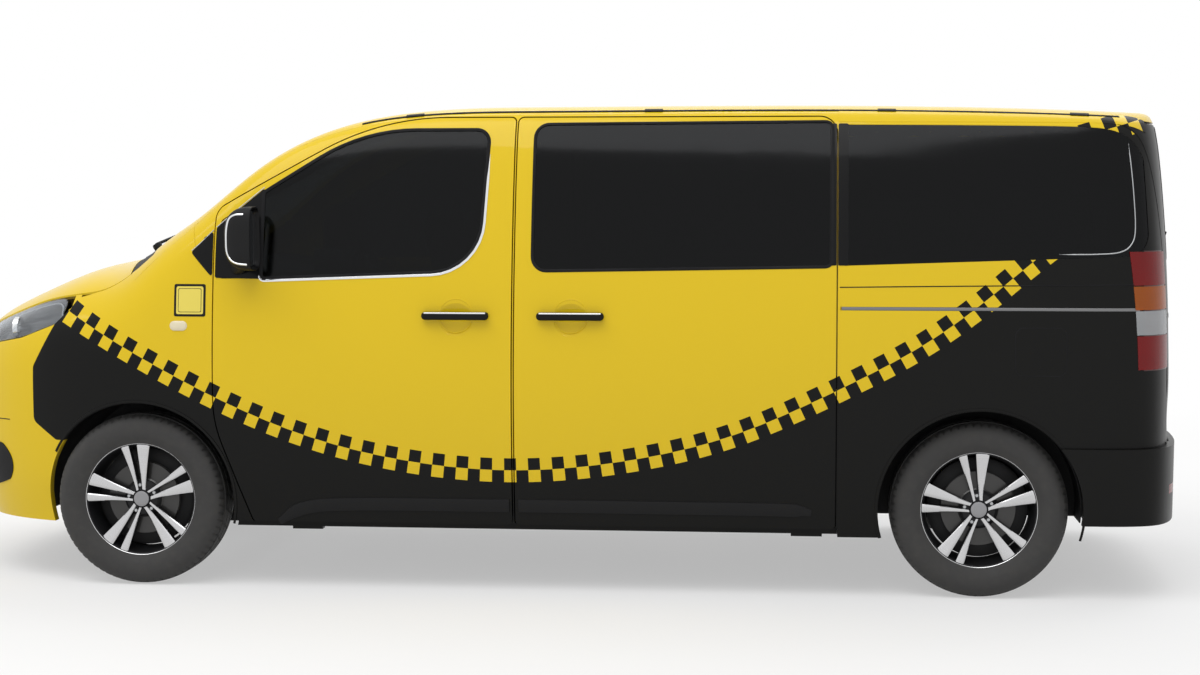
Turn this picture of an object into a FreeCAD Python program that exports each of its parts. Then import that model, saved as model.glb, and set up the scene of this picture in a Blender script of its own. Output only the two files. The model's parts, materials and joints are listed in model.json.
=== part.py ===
import FreeCAD, Part
import math
import os
import Sketcher
from FreeCAD import Placement, Rotation, Vector

# Driving dimensions, in millimetres and degrees
SIZES = {
    # Whole vehicle
    "wheelbase": 3275.0,
    "front_overhang": 881.0,
    "rear_overhang": 803.0,
    "body_width": 1920.0,
    "body_height": 1905.0,
    "sill_height": 232.0,
    "rounding_height": 600.0,
    "waist_height": 800.0,
    "tumblehome": 185.0,
    "tuck_under": 45.0,
    "roof_crown": 50.0,
    "nose_taper": 1381.0,
    "tail_taper": 1078.0,
    "nose_tuck": 60.0,
    "tail_lean": 60.0,
    "bumper_bulge": 38.0,
    # Gaps between panels
    "shut_gap": 5.0,
    "seat_gap": 0.3,
    "overrun": 400.0,
    # Panel thicknesses
    "door_skin": 20.0,
    "door_depth": 70.0,
    "hem_lap": 18.0,
    "frame_gap": 7.0,
    "frame_depth": 55.0,
    "seal_lap": 45.0,
    "wing_depth": 28.0,
    "quarter_depth": 75.0,
    "roof_depth": 45.0,
    "bonnet_depth": 28.0,
    "bonnet_skin": 8.0,
    "bumper_depth": 42.0,
    "tailgate_depth": 60.0,
    "glass_inset": 2.0,
    "glass_depth": 6.0,
    "glass_lap": 16.0,
    "lamp_depth": 70.0,
    # Nose and tail
    "bumper_bottom": 238.0,
    "tail_bumper_bottom": 290.0,
    "tail_bumper_top": 585.0,
    "tailgate_width": 1530.0,
    "tail_lamp_width": 105.0,
    "tail_lamp_bottom": 880.0,
    "tail_lamp_top": 1330.0,
    "grille_width": 860.0,
    "grille_bottom": 800.0,
    "grille_top": 930.0,
    "intake_width": 1060.0,
    "intake_bottom": 350.0,
    "intake_top": 560.0,
    "slat_height": 14.0,
    "slat_relief": 12.0,
    # Wheels and tyres
    "tyre_diameter": 679.0,
    "tyre_width": 225.0,
    "front_track": 1627.0,
    "rear_track": 1600.0,
    "rim_diameter": 466.0,
    "bead_diameter": 432.0,
    "well_diameter": 398.0,
    "barrel_wall": 8.0,
    "rim_width": 192.0,
    "mount_offset": 46.0,
    "hub_diameter": 150.0,
    "hub_depth": 30.0,
    "spoke_depth": 26.0,
    "lug_circle": 108.0,
    "lug_bore": 14.0,
    "cap_diameter": 62.0,
    "disc_diameter": 284.0,
    "disc_depth": 24.0,
    "spindle_diameter": 40.0,
    "arch_diameter": 770.0,
    "liner_wall": 4.0,
    "well_half_width": 500.0,
    # Front suspension and steering
    "ball_joint_y": 785.0,
    "ball_joint_z": 194.0,
    "strut_top_y": 620.0,
    "strut_top_z": 920.0,
    "strut_foot_y": 655.0,
    "strut_foot_z": 400.0,
    "strut_diameter": 54.0,
    "strut_mount_diameter": 90.0,
    "strut_mount_depth": 24.0,
    "upright_depth": 36.0,
    "ball_pin_diameter": 24.0,
    "arm_depth": 22.0,
    "arm_eye_diameter": 56.0,
    "rack_height": 300.0,
    "rack_diameter": 60.0,
    # Underbody
    "floor_top": 480.0,
    "floor_depth": 40.0,
    "bulkhead_x": 430.0,
    "bulkhead_top": 1120.0,
    "bulkhead_depth": 20.0,
    "rail_y": 450.0,
    "rail_width": 70.0,
    "rail_height": 90.0,
    "tower_wall": 16.0,
    "tower_half_length": 120.0,
    "engine_width": 780.0,
    "engine_height": 610.0,
    "exhaust_diameter": 56.0,
    "silencer_diameter": 190.0,
    "silencer_length": 540.0,
    "tank_length": 900.0,
    "tank_width": 420.0,
    "tank_height": 190.0,
    "axle_tube_diameter": 90.0,
    "trailing_arm_width": 60.0,
    "trailing_arm_length": 430.0,
    # Cabin
    "seat_pitch": 900.0,
    "first_seat_x": 1250.0,
    "seat_base_height": 400.0,
    "cushion_depth": 470.0,
    "cushion_thickness": 140.0,
    "back_height": 560.0,
    "back_thickness": 110.0,
    "headrest_height": 190.0,
    "single_seat_width": 510.0,
    "bench_seat_width": 430.0,
    "seat_side_gap": 12.0,
    "dash_height": 1150.0,
    "dash_bottom": 820.0,
    "dash_depth": 380.0,
    "steering_wheel_diameter": 385.0,
    "steering_grip_diameter": 30.0,
    "steering_wheel_height": 1130.0,
    "steering_column_tilt": 30.0,
    "driver_y": 400.0,
    # Mirrors
    "mirror_reach": 1102.0,
    "mirror_width": 165.0,
    "mirror_height": 255.0,
    "mirror_depth": 120.0,
    "mirror_x": 425.0,
    "mirror_bottom": 1240.0,
    "mirror_corner": 38.0,
    # Fastening points
    "jack_pad_length": 120.0,
    "jack_pad_width": 40.0,
    "jack_pad_depth": 12.0,
    # Door handles and the groove of the sliding door's rail
    "handle_length": 250.0,
    "handle_grip": 20.0,
    "handle_reach": 22.0,
    "handle_height": 1075.0,
    "front_handle_x": 1270.0,
    "sliding_handle_x": 1715.0,
    "cup_diameter": 128.0,
    "cup_depth": 11.0,
    "rail_groove_height": 1110.0,
    "rail_groove_width": 14.0,
    "rail_groove_depth": 9.0,
}


def column_cell(row):
    """Cell that holds the size on one row."""
    return "B%d" % row


doc = FreeCAD.newDocument("taxi_cab")
sheet = doc.addObject("Spreadsheet::Sheet", "Sizes")
for row, (alias, value) in enumerate(SIZES.items(), start=1):
    sheet.set("A%d" % row, alias)
    sheet.set(column_cell(row), repr(value))
    sheet.setAlias(column_cell(row), alias)
doc.recompute()


class Size:
    """A length that keeps the formula that gives it from the sheet."""

    def __init__(self, value, formula):
        self.value = float(value)
        self.formula = formula

    def _join(self, other, sign, result):
        text = other.formula if isinstance(other, Size) else repr(other)
        return Size(result, "(%s %s %s)" % (self.formula, sign, text))

    def __add__(self, other):
        return self._join(other, "+", self.value + float(other))

    def __sub__(self, other):
        return self._join(other, "-", self.value - float(other))

    def __mul__(self, other):
        return self._join(other, "*", self.value * float(other))

    def __truediv__(self, other):
        return self._join(other, "/", self.value / float(other))

    def __neg__(self):
        return Size(-self.value, "(0 - %s)" % self.formula)

    def __float__(self):
        return self.value


class Sizes:
    """Sizes of the sheet as attributes."""


D = Sizes()
for alias in SIZES:
    setattr(D, alias, Size(sheet.get(alias), "Sizes." + alias))
ZERO = Size(0.0, "0")
V = {alias: float(getattr(D, alias)) for alias in SIZES}

# Places that several pieces share
FRONT_AXLE = (D.front_overhang - D.rear_overhang - D.wheelbase) / 2.0
REAR_AXLE = FRONT_AXLE + D.wheelbase
AXLE_HEIGHT = D.tyre_diameter / 2.0
X_FRONT_AXLE = float(FRONT_AXLE)
X_REAR_AXLE = float(REAR_AXLE)
X_NOSE = X_FRONT_AXLE - V["front_overhang"]
X_TAIL = X_REAR_AXLE + V["rear_overhang"]
X_BODY_TAIL = X_TAIL - V["bumper_bulge"]
HALF_WIDTH = V["body_width"] / 2.0


def station(share):
    """Place along the body: -1 front end, 0 front axle, 1 rear axle, 2 rear end."""
    if share < 0.0:
        return X_FRONT_AXLE + share * V["front_overhang"]
    if share > 1.0:
        return X_REAR_AXLE + (share - 1.0) * V["rear_overhang"]
    return X_FRONT_AXLE + share * V["wheelbase"]


def height(share):
    """Height above the ground as a share of the body's height."""
    return share * V["body_height"]


# Body surface

# Centre line of bonnet, windscreen and roof: station, height
CENTRE_LINE_SHARES = (
    (-1.0, 0.5696), (-0.795, 0.5932), (-0.595, 0.6194), (-0.34, 0.6562), (-0.061, 0.6903),
    (0.0183, 0.7297), (0.0629, 0.7795), (0.1337, 0.8751), (0.2287, 0.9585), (0.3472, 0.9937),
    (0.4776, 0.999), (0.6107, 1.0), (0.8244, 1.0), (0.9771, 0.9963), (1.529, 0.9879),
    (2.0, 0.9774))

# How sharply the flanks turn over into the top: at the nose and along the cabin
NOSE_ROUNDING_SHARE = 5.5
CABIN_ROUNDING_SHARE = 22.0
# Powers of the plan curves at the nose and at the tail
NOSE_POWER_SHARE = 3.4
TAIL_POWER_SHARE = 14.0


def natural_spline(points):
    """Smooth curve y(x) through points, straight at its ends."""
    xs = [point[0] for point in points]
    ys = [point[1] for point in points]
    last = len(xs) - 1
    step = [xs[i + 1] - xs[i] for i in range(last)]
    rise = [(ys[i + 1] - ys[i]) / step[i] for i in range(last)]
    upper = [0.0] * (last + 1)
    load = [0.0] * (last + 1)
    for i in range(1, last):
        pivot = 2.0 * (step[i - 1] + step[i]) - step[i - 1] * upper[i - 1]
        upper[i] = step[i] / pivot
        load[i] = (3.0 * (rise[i] - rise[i - 1]) - step[i - 1] * load[i - 1]) / pivot
    bend = [0.0] * (last + 1)
    for i in range(last - 1, 0, -1):
        bend[i] = load[i] - upper[i] * bend[i + 1]

    def curve(x):
        x = min(max(x, xs[0]), xs[-1])
        i = 0
        while i < last - 1 and x > xs[i + 1]:
            i += 1
        t = x - xs[i]
        slope = rise[i] - step[i] * (bend[i + 1] + 2.0 * bend[i]) / 3.0
        twist = (bend[i + 1] - bend[i]) / (3.0 * step[i])
        return ys[i] + t * (slope + t * (bend[i] + t * twist))

    return curve


centre_height = natural_spline([(station(s), height(z)) for s, z in CENTRE_LINE_SHARES])


def blend(t):
    """Smooth step from 0 to 1."""
    t = min(max(t, 0.0), 1.0)
    return t * t * (3.0 - 2.0 * t)


def rounding(x):
    """Power of the section's upper corners at x."""
    start = station(-0.23)
    end = station(0.21)
    change = blend((x - start) / (end - start))
    return NOSE_ROUNDING_SHARE + (CABIN_ROUNDING_SHARE - NOSE_ROUNDING_SHARE) * change


def half_width(z):
    """Half width of the flanks at height z, widest at the waist."""
    waist = V["waist_height"]
    if z < waist:
        reach = (waist - z) / (waist - V["sill_height"])
        return HALF_WIDTH - V["tuck_under"] * reach ** 2
    return HALF_WIDTH - V["tumblehome"] * ((z - waist) / (V["body_height"] - waist)) ** 1.9


def nose_end(z):
    """Front end of the body at height z."""
    low = V["rounding_height"]
    return X_NOSE + V["nose_tuck"] * (max(0.0, low - z) / (low - V["sill_height"])) ** 2


def tail_end(z):
    """Rear end of the body at height z."""
    waist = V["waist_height"]
    rise = max(0.0, z - waist) / (V["body_height"] - waist)
    return X_BODY_TAIL - V["tail_lean"] * rise ** 2


def end_loss(x, z):
    """Part of the section taken by the plan curves of nose and tail, 0 to 1."""
    nose_start = X_NOSE + V["nose_taper"]
    tail_start = X_TAIL - V["tail_taper"]
    nose = max(0.0, (nose_start - x) / (nose_start - nose_end(z)))
    tail = max(0.0, (x - tail_start) / (tail_end(z) - tail_start))
    return nose ** NOSE_POWER_SHARE + tail ** TAIL_POWER_SHARE


def top_height(x, y):
    """Height of the top without its rounded corners."""
    return centre_height(x) - V["roof_crown"] * (y / HALF_WIDTH) ** 2


def corner_share(x, y, z):
    """Share of the width that the rounded section keeps at height z."""
    low = V["rounding_height"]
    rise = max(0.0, (z - low) / (top_height(x, y) - low))
    return max(0.0, 1.0 - rise ** rounding(x)) ** (1.0 / rounding(x))


def outside(x, y, z):
    """Positive outside the body surface and negative inside it."""
    return (abs(y) / half_width(z)) ** 3 + end_loss(x, z) - corner_share(x, y, z) ** 3


def flank(x, z):
    """Distance of the flank from the middle plane at x and z."""
    y = 0.9 * HALF_WIDTH
    for _ in range(6):
        share = corner_share(x, y, z) ** 3 - end_loss(x, z)
        y = half_width(z) * max(0.0, share) ** (1.0 / 3.0)
    return y


def lid_point(x, q):
    """Point of the top surface at x, where q is the share of the half width there."""
    low = V["rounding_height"]
    z = centre_height(x)
    y = 0.0
    for _ in range(12):
        loss = min(1.0, end_loss(x, z))
        share = (abs(q) ** 3 * (1.0 - loss) + loss) ** (1.0 / 3.0)
        rise = max(0.0, 1.0 - share ** rounding(x)) ** (1.0 / rounding(x))
        y = q * half_width(z) * (1.0 - loss) ** (1.0 / 3.0)
        z = low + rise * (top_height(x, y) - low)
    return Vector(x, y, z)


def fan_radius(centre_x, angle, z, bulge=0.0):
    """Distance from a vertical axis in the middle plane to the body surface."""
    near = 0.0
    far = V["wheelbase"]
    for _ in range(36):
        middle = (near + far) / 2.0
        x = centre_x + middle * math.cos(angle)
        y = middle * math.sin(angle)
        if outside(x, y, z) > 0.0:
            far = middle
        else:
            near = middle
    return near + bulge * max(0.0, math.cos(angle)) ** 1.5


# Seam between the flanks and the roof, as shares of the half width and height
SEAM_SHARE = 0.945
FLANK_EDGE_SHARE = 0.92


def seam_height(x, share=SEAM_SHARE):
    """Height of the line where the flank meets the roof."""
    low = V["rounding_height"]
    rise = (1.0 - share ** rounding(x)) ** (1.0 / rounding(x))
    return low + rise * (top_height(x, 0.8 * HALF_WIDTH) - low)


# Surfaces and prisms


def surface(rows):
    """Smooth face through a grid of points."""
    spline = Part.BSplineSurface()
    spline.interpolate(rows)
    return spline.toShape()


def spaced(start, end, count):
    """Evenly spaced values from start to end."""
    return [start + (end - start) * i / (count - 1.0) for i in range(count)]


def flank_face():
    """Left flank from behind the nose to the tail, from below the sill to the seam."""
    rows = []
    for x in spaced(station(-0.6), station(1.25), 34):
        edge = 0.8 + (FLANK_EDGE_SHARE - 0.8) * blend((x - station(-0.5)) / V["nose_taper"])
        low = V["sill_height"] - V["overrun"] / 8.0
        loss = end_loss(x, V["body_height"] * 0.6)
        top = lid_point(x, edge).z if loss > 0.01 else seam_height(x, edge)
        rows.append([])
        for rise in (0.0, 0.13, 0.26, 0.39, 0.5, 0.6, 0.7, 0.79, 0.87, 0.93, 0.97, 1.0):
            z = low + rise * (top - low)
            rows[-1].append(Vector(x, -flank(x, z), z))
    return surface(rows)


FLANK = flank_face()


def flank_slab(start, depth):
    """Solid between two depths below the left flank, measured across the body."""
    moved = FLANK.copy()
    moved.translate(Vector(0, start, 0))
    return moved.extrude(Vector(0, depth, 0))


def fan_slab(centre_x, angles, heights, depth, bulge=0.0, inset=0.0):
    """Solid of one thickness that wraps round the nose or the tail."""
    skins = []
    for back in (inset, inset + depth):
        rows = []
        for angle in angles:
            rows.append([])
            for z in heights(angle):
                r = fan_radius(centre_x, angle, z, bulge) - back
                rows[-1].append(Vector(centre_x + r * math.cos(angle), r * math.sin(angle), z))
        skins.append((rows, surface(rows)))
    return wall_between(skins[0][1], skins[1][1])


def wall_between(outer, inner):
    """Solid closed by ruled faces between two matching faces."""
    faces = [outer, inner]
    for one, two in zip(outer.Edges, inner.Edges):
        faces.append(Part.makeRuledSurface(one, two))
    solid = Part.makeSolid(Part.makeShell(faces))
    if solid.Volume < 0.0:
        solid.reverse()
    return solid


def lid_face(stations, shares):
    """Face of the top over some stations and shares of the half width."""
    return surface([[lid_point(x, q) for q in shares] for x in stations])


def lid_slab(face, start, depth):
    """Solid between two depths below the top, measured straight down."""
    moved = face.copy()
    moved.translate(Vector(0, 0, -start - depth))
    return moved.extrude(Vector(0, 0, depth))


def offset_corners(corners, grow):
    """Corners of a polygon whose sides all move outwards by grow."""
    count = len(corners)
    area = sum(corners[i][0] * corners[(i + 1) % count][1] - corners[(i + 1) % count][0] * corners[i][1]
               for i in range(count))
    turn = 1.0 if area > 0.0 else -1.0
    sides = []
    for i in range(count):
        ax, ay = corners[i][:2]
        bx, by = corners[(i + 1) % count][:2]
        length = math.hypot(bx - ax, by - ay)
        ux = (bx - ax) / length
        uy = (by - ay) / length
        sides.append((ax + uy * grow * turn, ay - ux * grow * turn, ux, uy))
    moved = []
    for i in range(count):
        ax, ay, ux, uy = sides[i - 1]
        bx, by, vx, vy = sides[i]
        cross = ux * vy - uy * vx
        t = ((bx - ax) * vy - (by - ay) * vx) / cross
        convex = cross * turn > 0.0
        radius = corners[i][2] + (grow if convex else -grow)
        moved.append((ax + ux * t, ay + uy * t, max(0.0, radius) if corners[i][2] else 0.0))
    return moved


def outline_wire(corners, place):
    """Closed wire of straight sides and tangent arcs; place makes a point from two numbers."""
    count = len(corners)
    ends = []
    for i in range(count):
        px, py, radius = corners[i]
        ax, ay = corners[i - 1][:2]
        bx, by = corners[(i + 1) % count][:2]
        back = math.hypot(ax - px, ay - py)
        ahead = math.hypot(bx - px, by - py)
        ux, uy = (ax - px) / back, (ay - py) / back
        vx, vy = (bx - px) / ahead, (by - py) / ahead
        half = math.acos(max(-1.0, min(1.0, ux * vx + uy * vy))) / 2.0
        cut = min(radius / math.tan(half), 0.49 * back, 0.49 * ahead)
        radius = cut * math.tan(half)
        mx, my = ux + vx, uy + vy
        size = math.hypot(mx, my)
        reach = radius / math.sin(half) - radius
        middle = (px + mx / size * reach, py + my / size * reach) if cut else (px, py)
        ends.append(((px + ux * cut, py + uy * cut), middle, (px + vx * cut, py + vy * cut), cut))
    edges = []
    for i in range(count):
        start, middle, end, cut = ends[i]
        if cut > 0.0:
            edges.append(Part.Arc(place(*start), place(*middle), place(*end)).toShape())
        edges.append(Part.LineSegment(place(*end), place(*ends[(i + 1) % count][0])).toShape())
    return Part.Wire(edges)


def side_prism(shares, grow=0.0, y_from=None, y_to=0.0):
    """Prism across the body, from the left edge inwards, with a side-view outline."""
    corners = [(station(s), height(z), height(r)) for s, z, r in shares]
    start = -HALF_WIDTH - V["overrun"] if y_from is None else y_from
    wire = outline_wire(offset_corners(corners, grow), lambda x, z: Vector(x, start, z))
    return Part.Face(wire).extrude(Vector(0, y_to - start, 0))


def plan_prism(corners, z_from, z_to, grow=0.0):
    """Upright prism with a plan outline."""
    wire = outline_wire(offset_corners(corners, grow), lambda x, y: Vector(x, y, z_from))
    return Part.Face(wire).extrude(Vector(0, 0, z_to - z_from))


def front_prism(corners, x_from, x_to, grow=0.0):
    """Prism along the body with an outline seen from the front."""
    wire = outline_wire(offset_corners(corners, grow), lambda y, z: Vector(x_from, y, z))
    return Part.Face(wire).extrude(Vector(x_to - x_from, 0, 0))


def block(x0, x1, y0, y1, z0, z1):
    """Box between two corners."""
    return Part.makeBox(x1 - x0, y1 - y0, z1 - z0, Vector(x0, y0, z0))


def bar(start, end, diameter):
    """Round bar between two points."""
    run = end - start
    return Part.makeCylinder(diameter / 2.0, run.Length, start, run)


def mirrored(shape):
    """The same shape on the right side."""
    return shape.mirror(Vector(0, 0, 0), Vector(0, 1, 0))


def pair(shape):
    """A left piece and its right-hand twin."""
    return Part.makeCompound([shape, mirrored(shape)])


def arch_cylinder(x, grow=0.0):
    """Round cutter across the body over one axle."""
    reach = HALF_WIDTH + V["overrun"]
    return Part.makeCylinder(V["arch_diameter"] / 2.0 + grow, 2.0 * reach,
                             Vector(x, -reach, float(AXLE_HEIGHT)), Vector(0, 1, 0))


SUB_PARTS = []


def keep(name, shape, base=None):
    """Put a shape into the document as a sub-part."""
    feature = doc.addObject("Part::Feature", name)
    feature.Shape = shape
    feature.Placement = base or Placement()
    feature.Label = name
    SUB_PARTS.append(feature)
    return feature


# Side outlines: station, height and corner radius

FRONT_DOOR_SHARES = (
    (0.1411, 0.1375, 0.01), (0.0959, 0.3438, 0.26), (0.0959, 0.778, 0.03),
    (0.2916, 0.9655, 0.52), (0.4531, 0.9655, 0.01), (0.4531, 0.1375, 0.01))
SLIDING_DOOR_SHARES = (
    (0.4571, 0.1375, 0.01), (0.4571, 0.9655, 0.01), (0.833, 0.9655, 0.035), (0.833, 0.1375, 0.01))
FRONT_WINDOW_SHARES = (
    (0.1023, 0.6367, 0.008), (0.1023, 0.7559, 0.01), (0.2718, 0.9391, 0.37),
    (0.4223, 0.9391, 0.024), (0.413, 0.6562, 0.105))
FRONT_GLASS_SHARES = (
    (0.1545, 0.6398, 0.004), (0.1545, 0.8123, 0.004), (0.2718, 0.9391, 0.37),
    (0.4223, 0.9391, 0.024), (0.413, 0.6562, 0.105))
SAIL_SHARES = (
    (0.1023, 0.6367, 0.01), (0.1023, 0.7559, 0.012), (0.1536, 0.8113, 0.004),
    (0.1536, 0.6398, 0.004))
SLIDING_GLASS_SHARES = (
    (0.4788, 0.6567, 0.026), (0.4788, 0.9500, 0.026), (0.8272, 0.9540, 0.012),
    (0.8272, 0.6672, 0.012))
QUARTER_GLASS_SHARES = (
    (0.8385, 0.6672, 0.008), (0.8385, 0.9540, 0.008), (1.75, 0.9480, 0.035), (1.78, 0.688, 0.045))
QUARTERLIGHT_SHARES = (
    (0.0735, 0.69, 0.008), (0.0905, 0.648, 0.006), (0.0905, 0.747, 0.008))
# Rear edge of the wing against the windscreen pillar and the front edge of the bumper's side
WING_REAR_SHARES = (
    (-0.6, 0.05, 0.0), (-0.6, 0.8, 0.0), (0.0629, 0.8, 0.0), (0.0629, 0.7585, 0.0),
    (0.0727, 0.6982, 0.01), (0.0944, 0.6378, 0.01), (0.16, 0.6, 0.0), (0.16, 0.05, 0.0))
BUMPER_SIDE_SHARES = (
    (-1.1, 0.05, 0.0), (-1.1, 0.56, 0.0), (-0.38, 0.56, 0.0), (-0.506, 0.451, 0.02),
    (-0.506, 0.3375, 0.02), (-0.392, 0.299, 0.01), (-0.34, 0.299, 0.0), (-0.34, 0.05, 0.0))
HEADLAMP_SHARES = (
    (-0.330, 0.609, 0.004), (-0.330, 0.575, 0.01), (-0.405, 0.5386, 0.02),
    (-0.581, 0.5087, 0.03), (-0.95, 0.476, 0.01), (-1.02, 0.56, 0.0), (-0.56, 0.62, 0.0))

# Plan outlines: station and share of the half width
BONNET_EDGE_SHARES = (
    (-0.948, 0.0), (-0.931, 0.26), (-0.868, 0.448), (-0.738, 0.604), (-0.515, 0.719),
    (-0.34, 0.797), (-0.163, 0.829), (-0.068, 0.829))
BONNET_REAR_SHARES = ((-0.068, 0.829), (-0.12, 0.5), (-0.185, 0.0))
WINDSCREEN_SHARES = (
    (-0.012, 0.765, 0.03), (-0.07, 0.45, 0.3), (-0.125, 0.0, 0.9), (-0.07, -0.45, 0.3),
    (-0.012, -0.765, 0.03), (0.305, -0.655, 0.06), (0.3225, 0.0, 1.5), (0.305, 0.655, 0.06))


# Cutters that several panels share

def seam_prism(gap):
    """Everything above the seam line, raised by gap."""
    xs = spaced(station(-0.03), station(2.1), 40)
    line = Part.BSplineCurve()
    reach = HALF_WIDTH + V["overrun"]
    line.interpolate([Vector(x, -reach, seam_height(x) + gap) for x in xs])
    top = 2.0 * V["body_height"]
    first = Vector(xs[0], -reach, seam_height(xs[0]) + gap)
    last = Vector(xs[-1], -reach, seam_height(xs[-1]) + gap)
    edges = [line.toShape(),
             Part.LineSegment(last, Vector(xs[-1], -reach, top)).toShape(),
             Part.LineSegment(Vector(xs[-1], -reach, top), Vector(xs[0], -reach, top)).toShape(),
             Part.LineSegment(Vector(xs[0], -reach, top), first).toShape()]
    return Part.Face(Part.Wire(edges)).extrude(Vector(0, 2.0 * reach, 0))


def grown_spline(points, grow):
    """Smooth curve through plan points, moved sideways by grow."""
    curve = Part.BSplineCurve()
    curve.interpolate([Vector(x, y, 0) for x, y in points])
    moved = []
    for x, y in points:
        direction = curve.tangent(curve.parameter(Vector(x, y, 0)))[0]
        moved.append((x - direction.y * grow, y + direction.x * grow))
    return moved


def bonnet_prism(grow):
    """Upright prism over the bonnet's plan, wider all round by grow."""
    side = [(station(s), share * HALF_WIDTH) for s, share in BONNET_EDGE_SHARES]
    rear = [(station(s), share * HALF_WIDTH) for s, share in BONNET_REAR_SHARES]
    front = grown_spline([(x, -y) for x, y in reversed(side)] + side[1:], grow)
    back = grown_spline(rear[:-1] + [(x, -y) for x, y in reversed(rear)], grow)
    front[0] = (back[-1][0], front[0][1])
    front[-1] = (back[0][0], front[-1][1])
    back[0], back[-1] = front[-1], front[0]
    low = V["rounding_height"]
    curves = []
    for line in (front, back):
        curve = Part.BSplineCurve()
        curve.interpolate([Vector(x, y, low) for x, y in line])
        curves.append(curve.toShape())
    return Part.Face(Part.Wire(curves)).extrude(Vector(0, 0, V["body_height"]))


def cowl_plan(grow):
    """Plan of the panel between bonnet and windscreen."""
    half = 0.829 * HALF_WIDTH
    corners = [(station(-0.3), -half, 0.0), (station(0.01), -half, 0.0),
               (station(0.01), half, 0.0), (station(-0.3), half, 0.0)]
    return plan_prism(corners, V["rounding_height"], V["body_height"] * 1.2, grow)


ABOVE_SEAM = seam_prism(V["seat_gap"] / 2.0)
ABOVE_FLANK = seam_prism(-V["seat_gap"] / 2.0)
FRONT_ARCH = arch_cylinder(X_FRONT_AXLE)
REAR_ARCH = arch_cylinder(X_REAR_AXLE)
BONNET_PLAN = bonnet_prism(0.0)
BONNET_GAP = bonnet_prism(1.3 * V["shut_gap"])
X_TAIL_FAN = station(0.91)
FRAME_INSET = V["door_depth"] + V["frame_gap"] + V["frame_depth"]
X_NOSE_FAN = station(-0.4)


def make_door(outline, window, glass_list):
    """Door with a hem round its skin, a window and a rebate for its glass."""
    skin = flank_slab(0.0, V["door_skin"]).common(side_prism(outline))
    inner_slab = flank_slab(V["door_skin"], V["door_depth"] - V["door_skin"])
    inner = inner_slab.common(side_prism(outline, -V["hem_lap"]))
    door = skin.fuse(inner)
    door = door.cut(side_prism(window, -V["glass_lap"]))
    seat = V["glass_inset"] + V["glass_depth"] + V["seat_gap"]
    rebate = flank_slab(-V["overrun"] / 8.0, V["overrun"] / 8.0 + seat)
    door = door.cut(rebate.common(side_prism(window, V["seat_gap"])))
    panes = []
    for glass in glass_list:
        pane = flank_slab(V["glass_inset"], V["glass_depth"])
        panes.append(pane.common(side_prism(glass)))
    return door, panes


def add_handle(door, behind_axle):
    """Door with a round hand cup in its skin and a pull bar that bridges it."""
    x, z = X_FRONT_AXLE + behind_axle, V["handle_height"]
    face = flank(x, z)
    depth = V["cup_depth"]
    radius = (V["cup_diameter"] ** 2 / 4.0 + depth ** 2) / (2.0 * depth)
    door = door.cut(Part.makeSphere(radius, Vector(x, depth - face - radius, z)))
    half = V["handle_length"] * 0.5 - V["handle_grip"] * 0.5
    out = -face - V["handle_reach"]
    parts = [bar(Vector(x - half, out, z), Vector(x + half, out, z), V["handle_grip"])]
    for end in (x - half, x + half):
        parts.append(Part.makeSphere(V["handle_grip"] * 0.5, Vector(end, out, z)))
        foot = -flank(end, z) + V["door_skin"] * 0.5
        parts.append(bar(Vector(end, out, z), Vector(end, foot, z), V["handle_grip"] * 0.9))
    return door.multiFuse(parts)


front_door, front_panes = make_door(FRONT_DOOR_SHARES, FRONT_WINDOW_SHARES,
                                    (FRONT_GLASS_SHARES, SAIL_SHARES))
front_door = add_handle(front_door, V["front_handle_x"])
sliding_door, sliding_panes = make_door(SLIDING_DOOR_SHARES, SLIDING_GLASS_SHARES,
                                        (SLIDING_GLASS_SHARES,))
sliding_door = add_handle(sliding_door, V["sliding_handle_x"])
keep("front_door_left", front_door)
keep("front_door_right", mirrored(front_door))
keep("sliding_doors", pair(sliding_door))
keep("front_glass_left", front_panes[0])
keep("front_glass_right", mirrored(front_panes[0]))


# Body sides

def quarter_shell(inset, depth):
    """Left rear quarter, wrapped from the sliding door round to the tailgate."""
    angles = [-math.radians(degree) for degree in spaced(33.0, 112.0, 22)]

    def heights(angle):
        x = X_TAIL_FAN + fan_radius(X_TAIL_FAN, angle, V["waist_height"]) * math.cos(angle)
        low = V["sill_height"] - V["overrun"] / 8.0
        top = seam_height(x, FLANK_EDGE_SHARE)
        return [low + rise * (top - low)
                for rise in (0.0, 0.13, 0.26, 0.39, 0.5, 0.6, 0.7, 0.79, 0.87, 0.93, 0.97, 1.0)]

    return fan_slab(X_TAIL_FAN, angles, heights, depth, 0.0, inset)


def tail_lamp_block(gap_around):
    """Upright block that bounds the left tail lamp, seen from behind."""
    inner = -V["tailgate_width"] / 2.0 - V["shut_gap"] - V["tail_lamp_width"] * 0.12
    outer = -HALF_WIDTH - V["overrun"]
    return block(station(1.75) - gap_around, X_TAIL, outer, inner + gap_around,
                 V["tail_lamp_bottom"] - gap_around, V["tail_lamp_top"] + gap_around)


def jack_pads():
    """Pads below the left sill, one near each wheel."""
    centre = half_width(V["sill_height"]) - FRAME_INSET + V["frame_depth"] * 0.5
    low = V["sill_height"] - V["jack_pad_depth"]
    pads = []
    for share in (0.2, 0.8):
        x = station(share)
        pads.append(block(x - V["jack_pad_length"] * 0.5, x + V["jack_pad_length"] * 0.5,
                          -centre - V["jack_pad_width"] * 0.5, -centre + V["jack_pad_width"] * 0.5,
                          low, V["sill_height"] + V["jack_pad_depth"]))
    return pads


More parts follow.
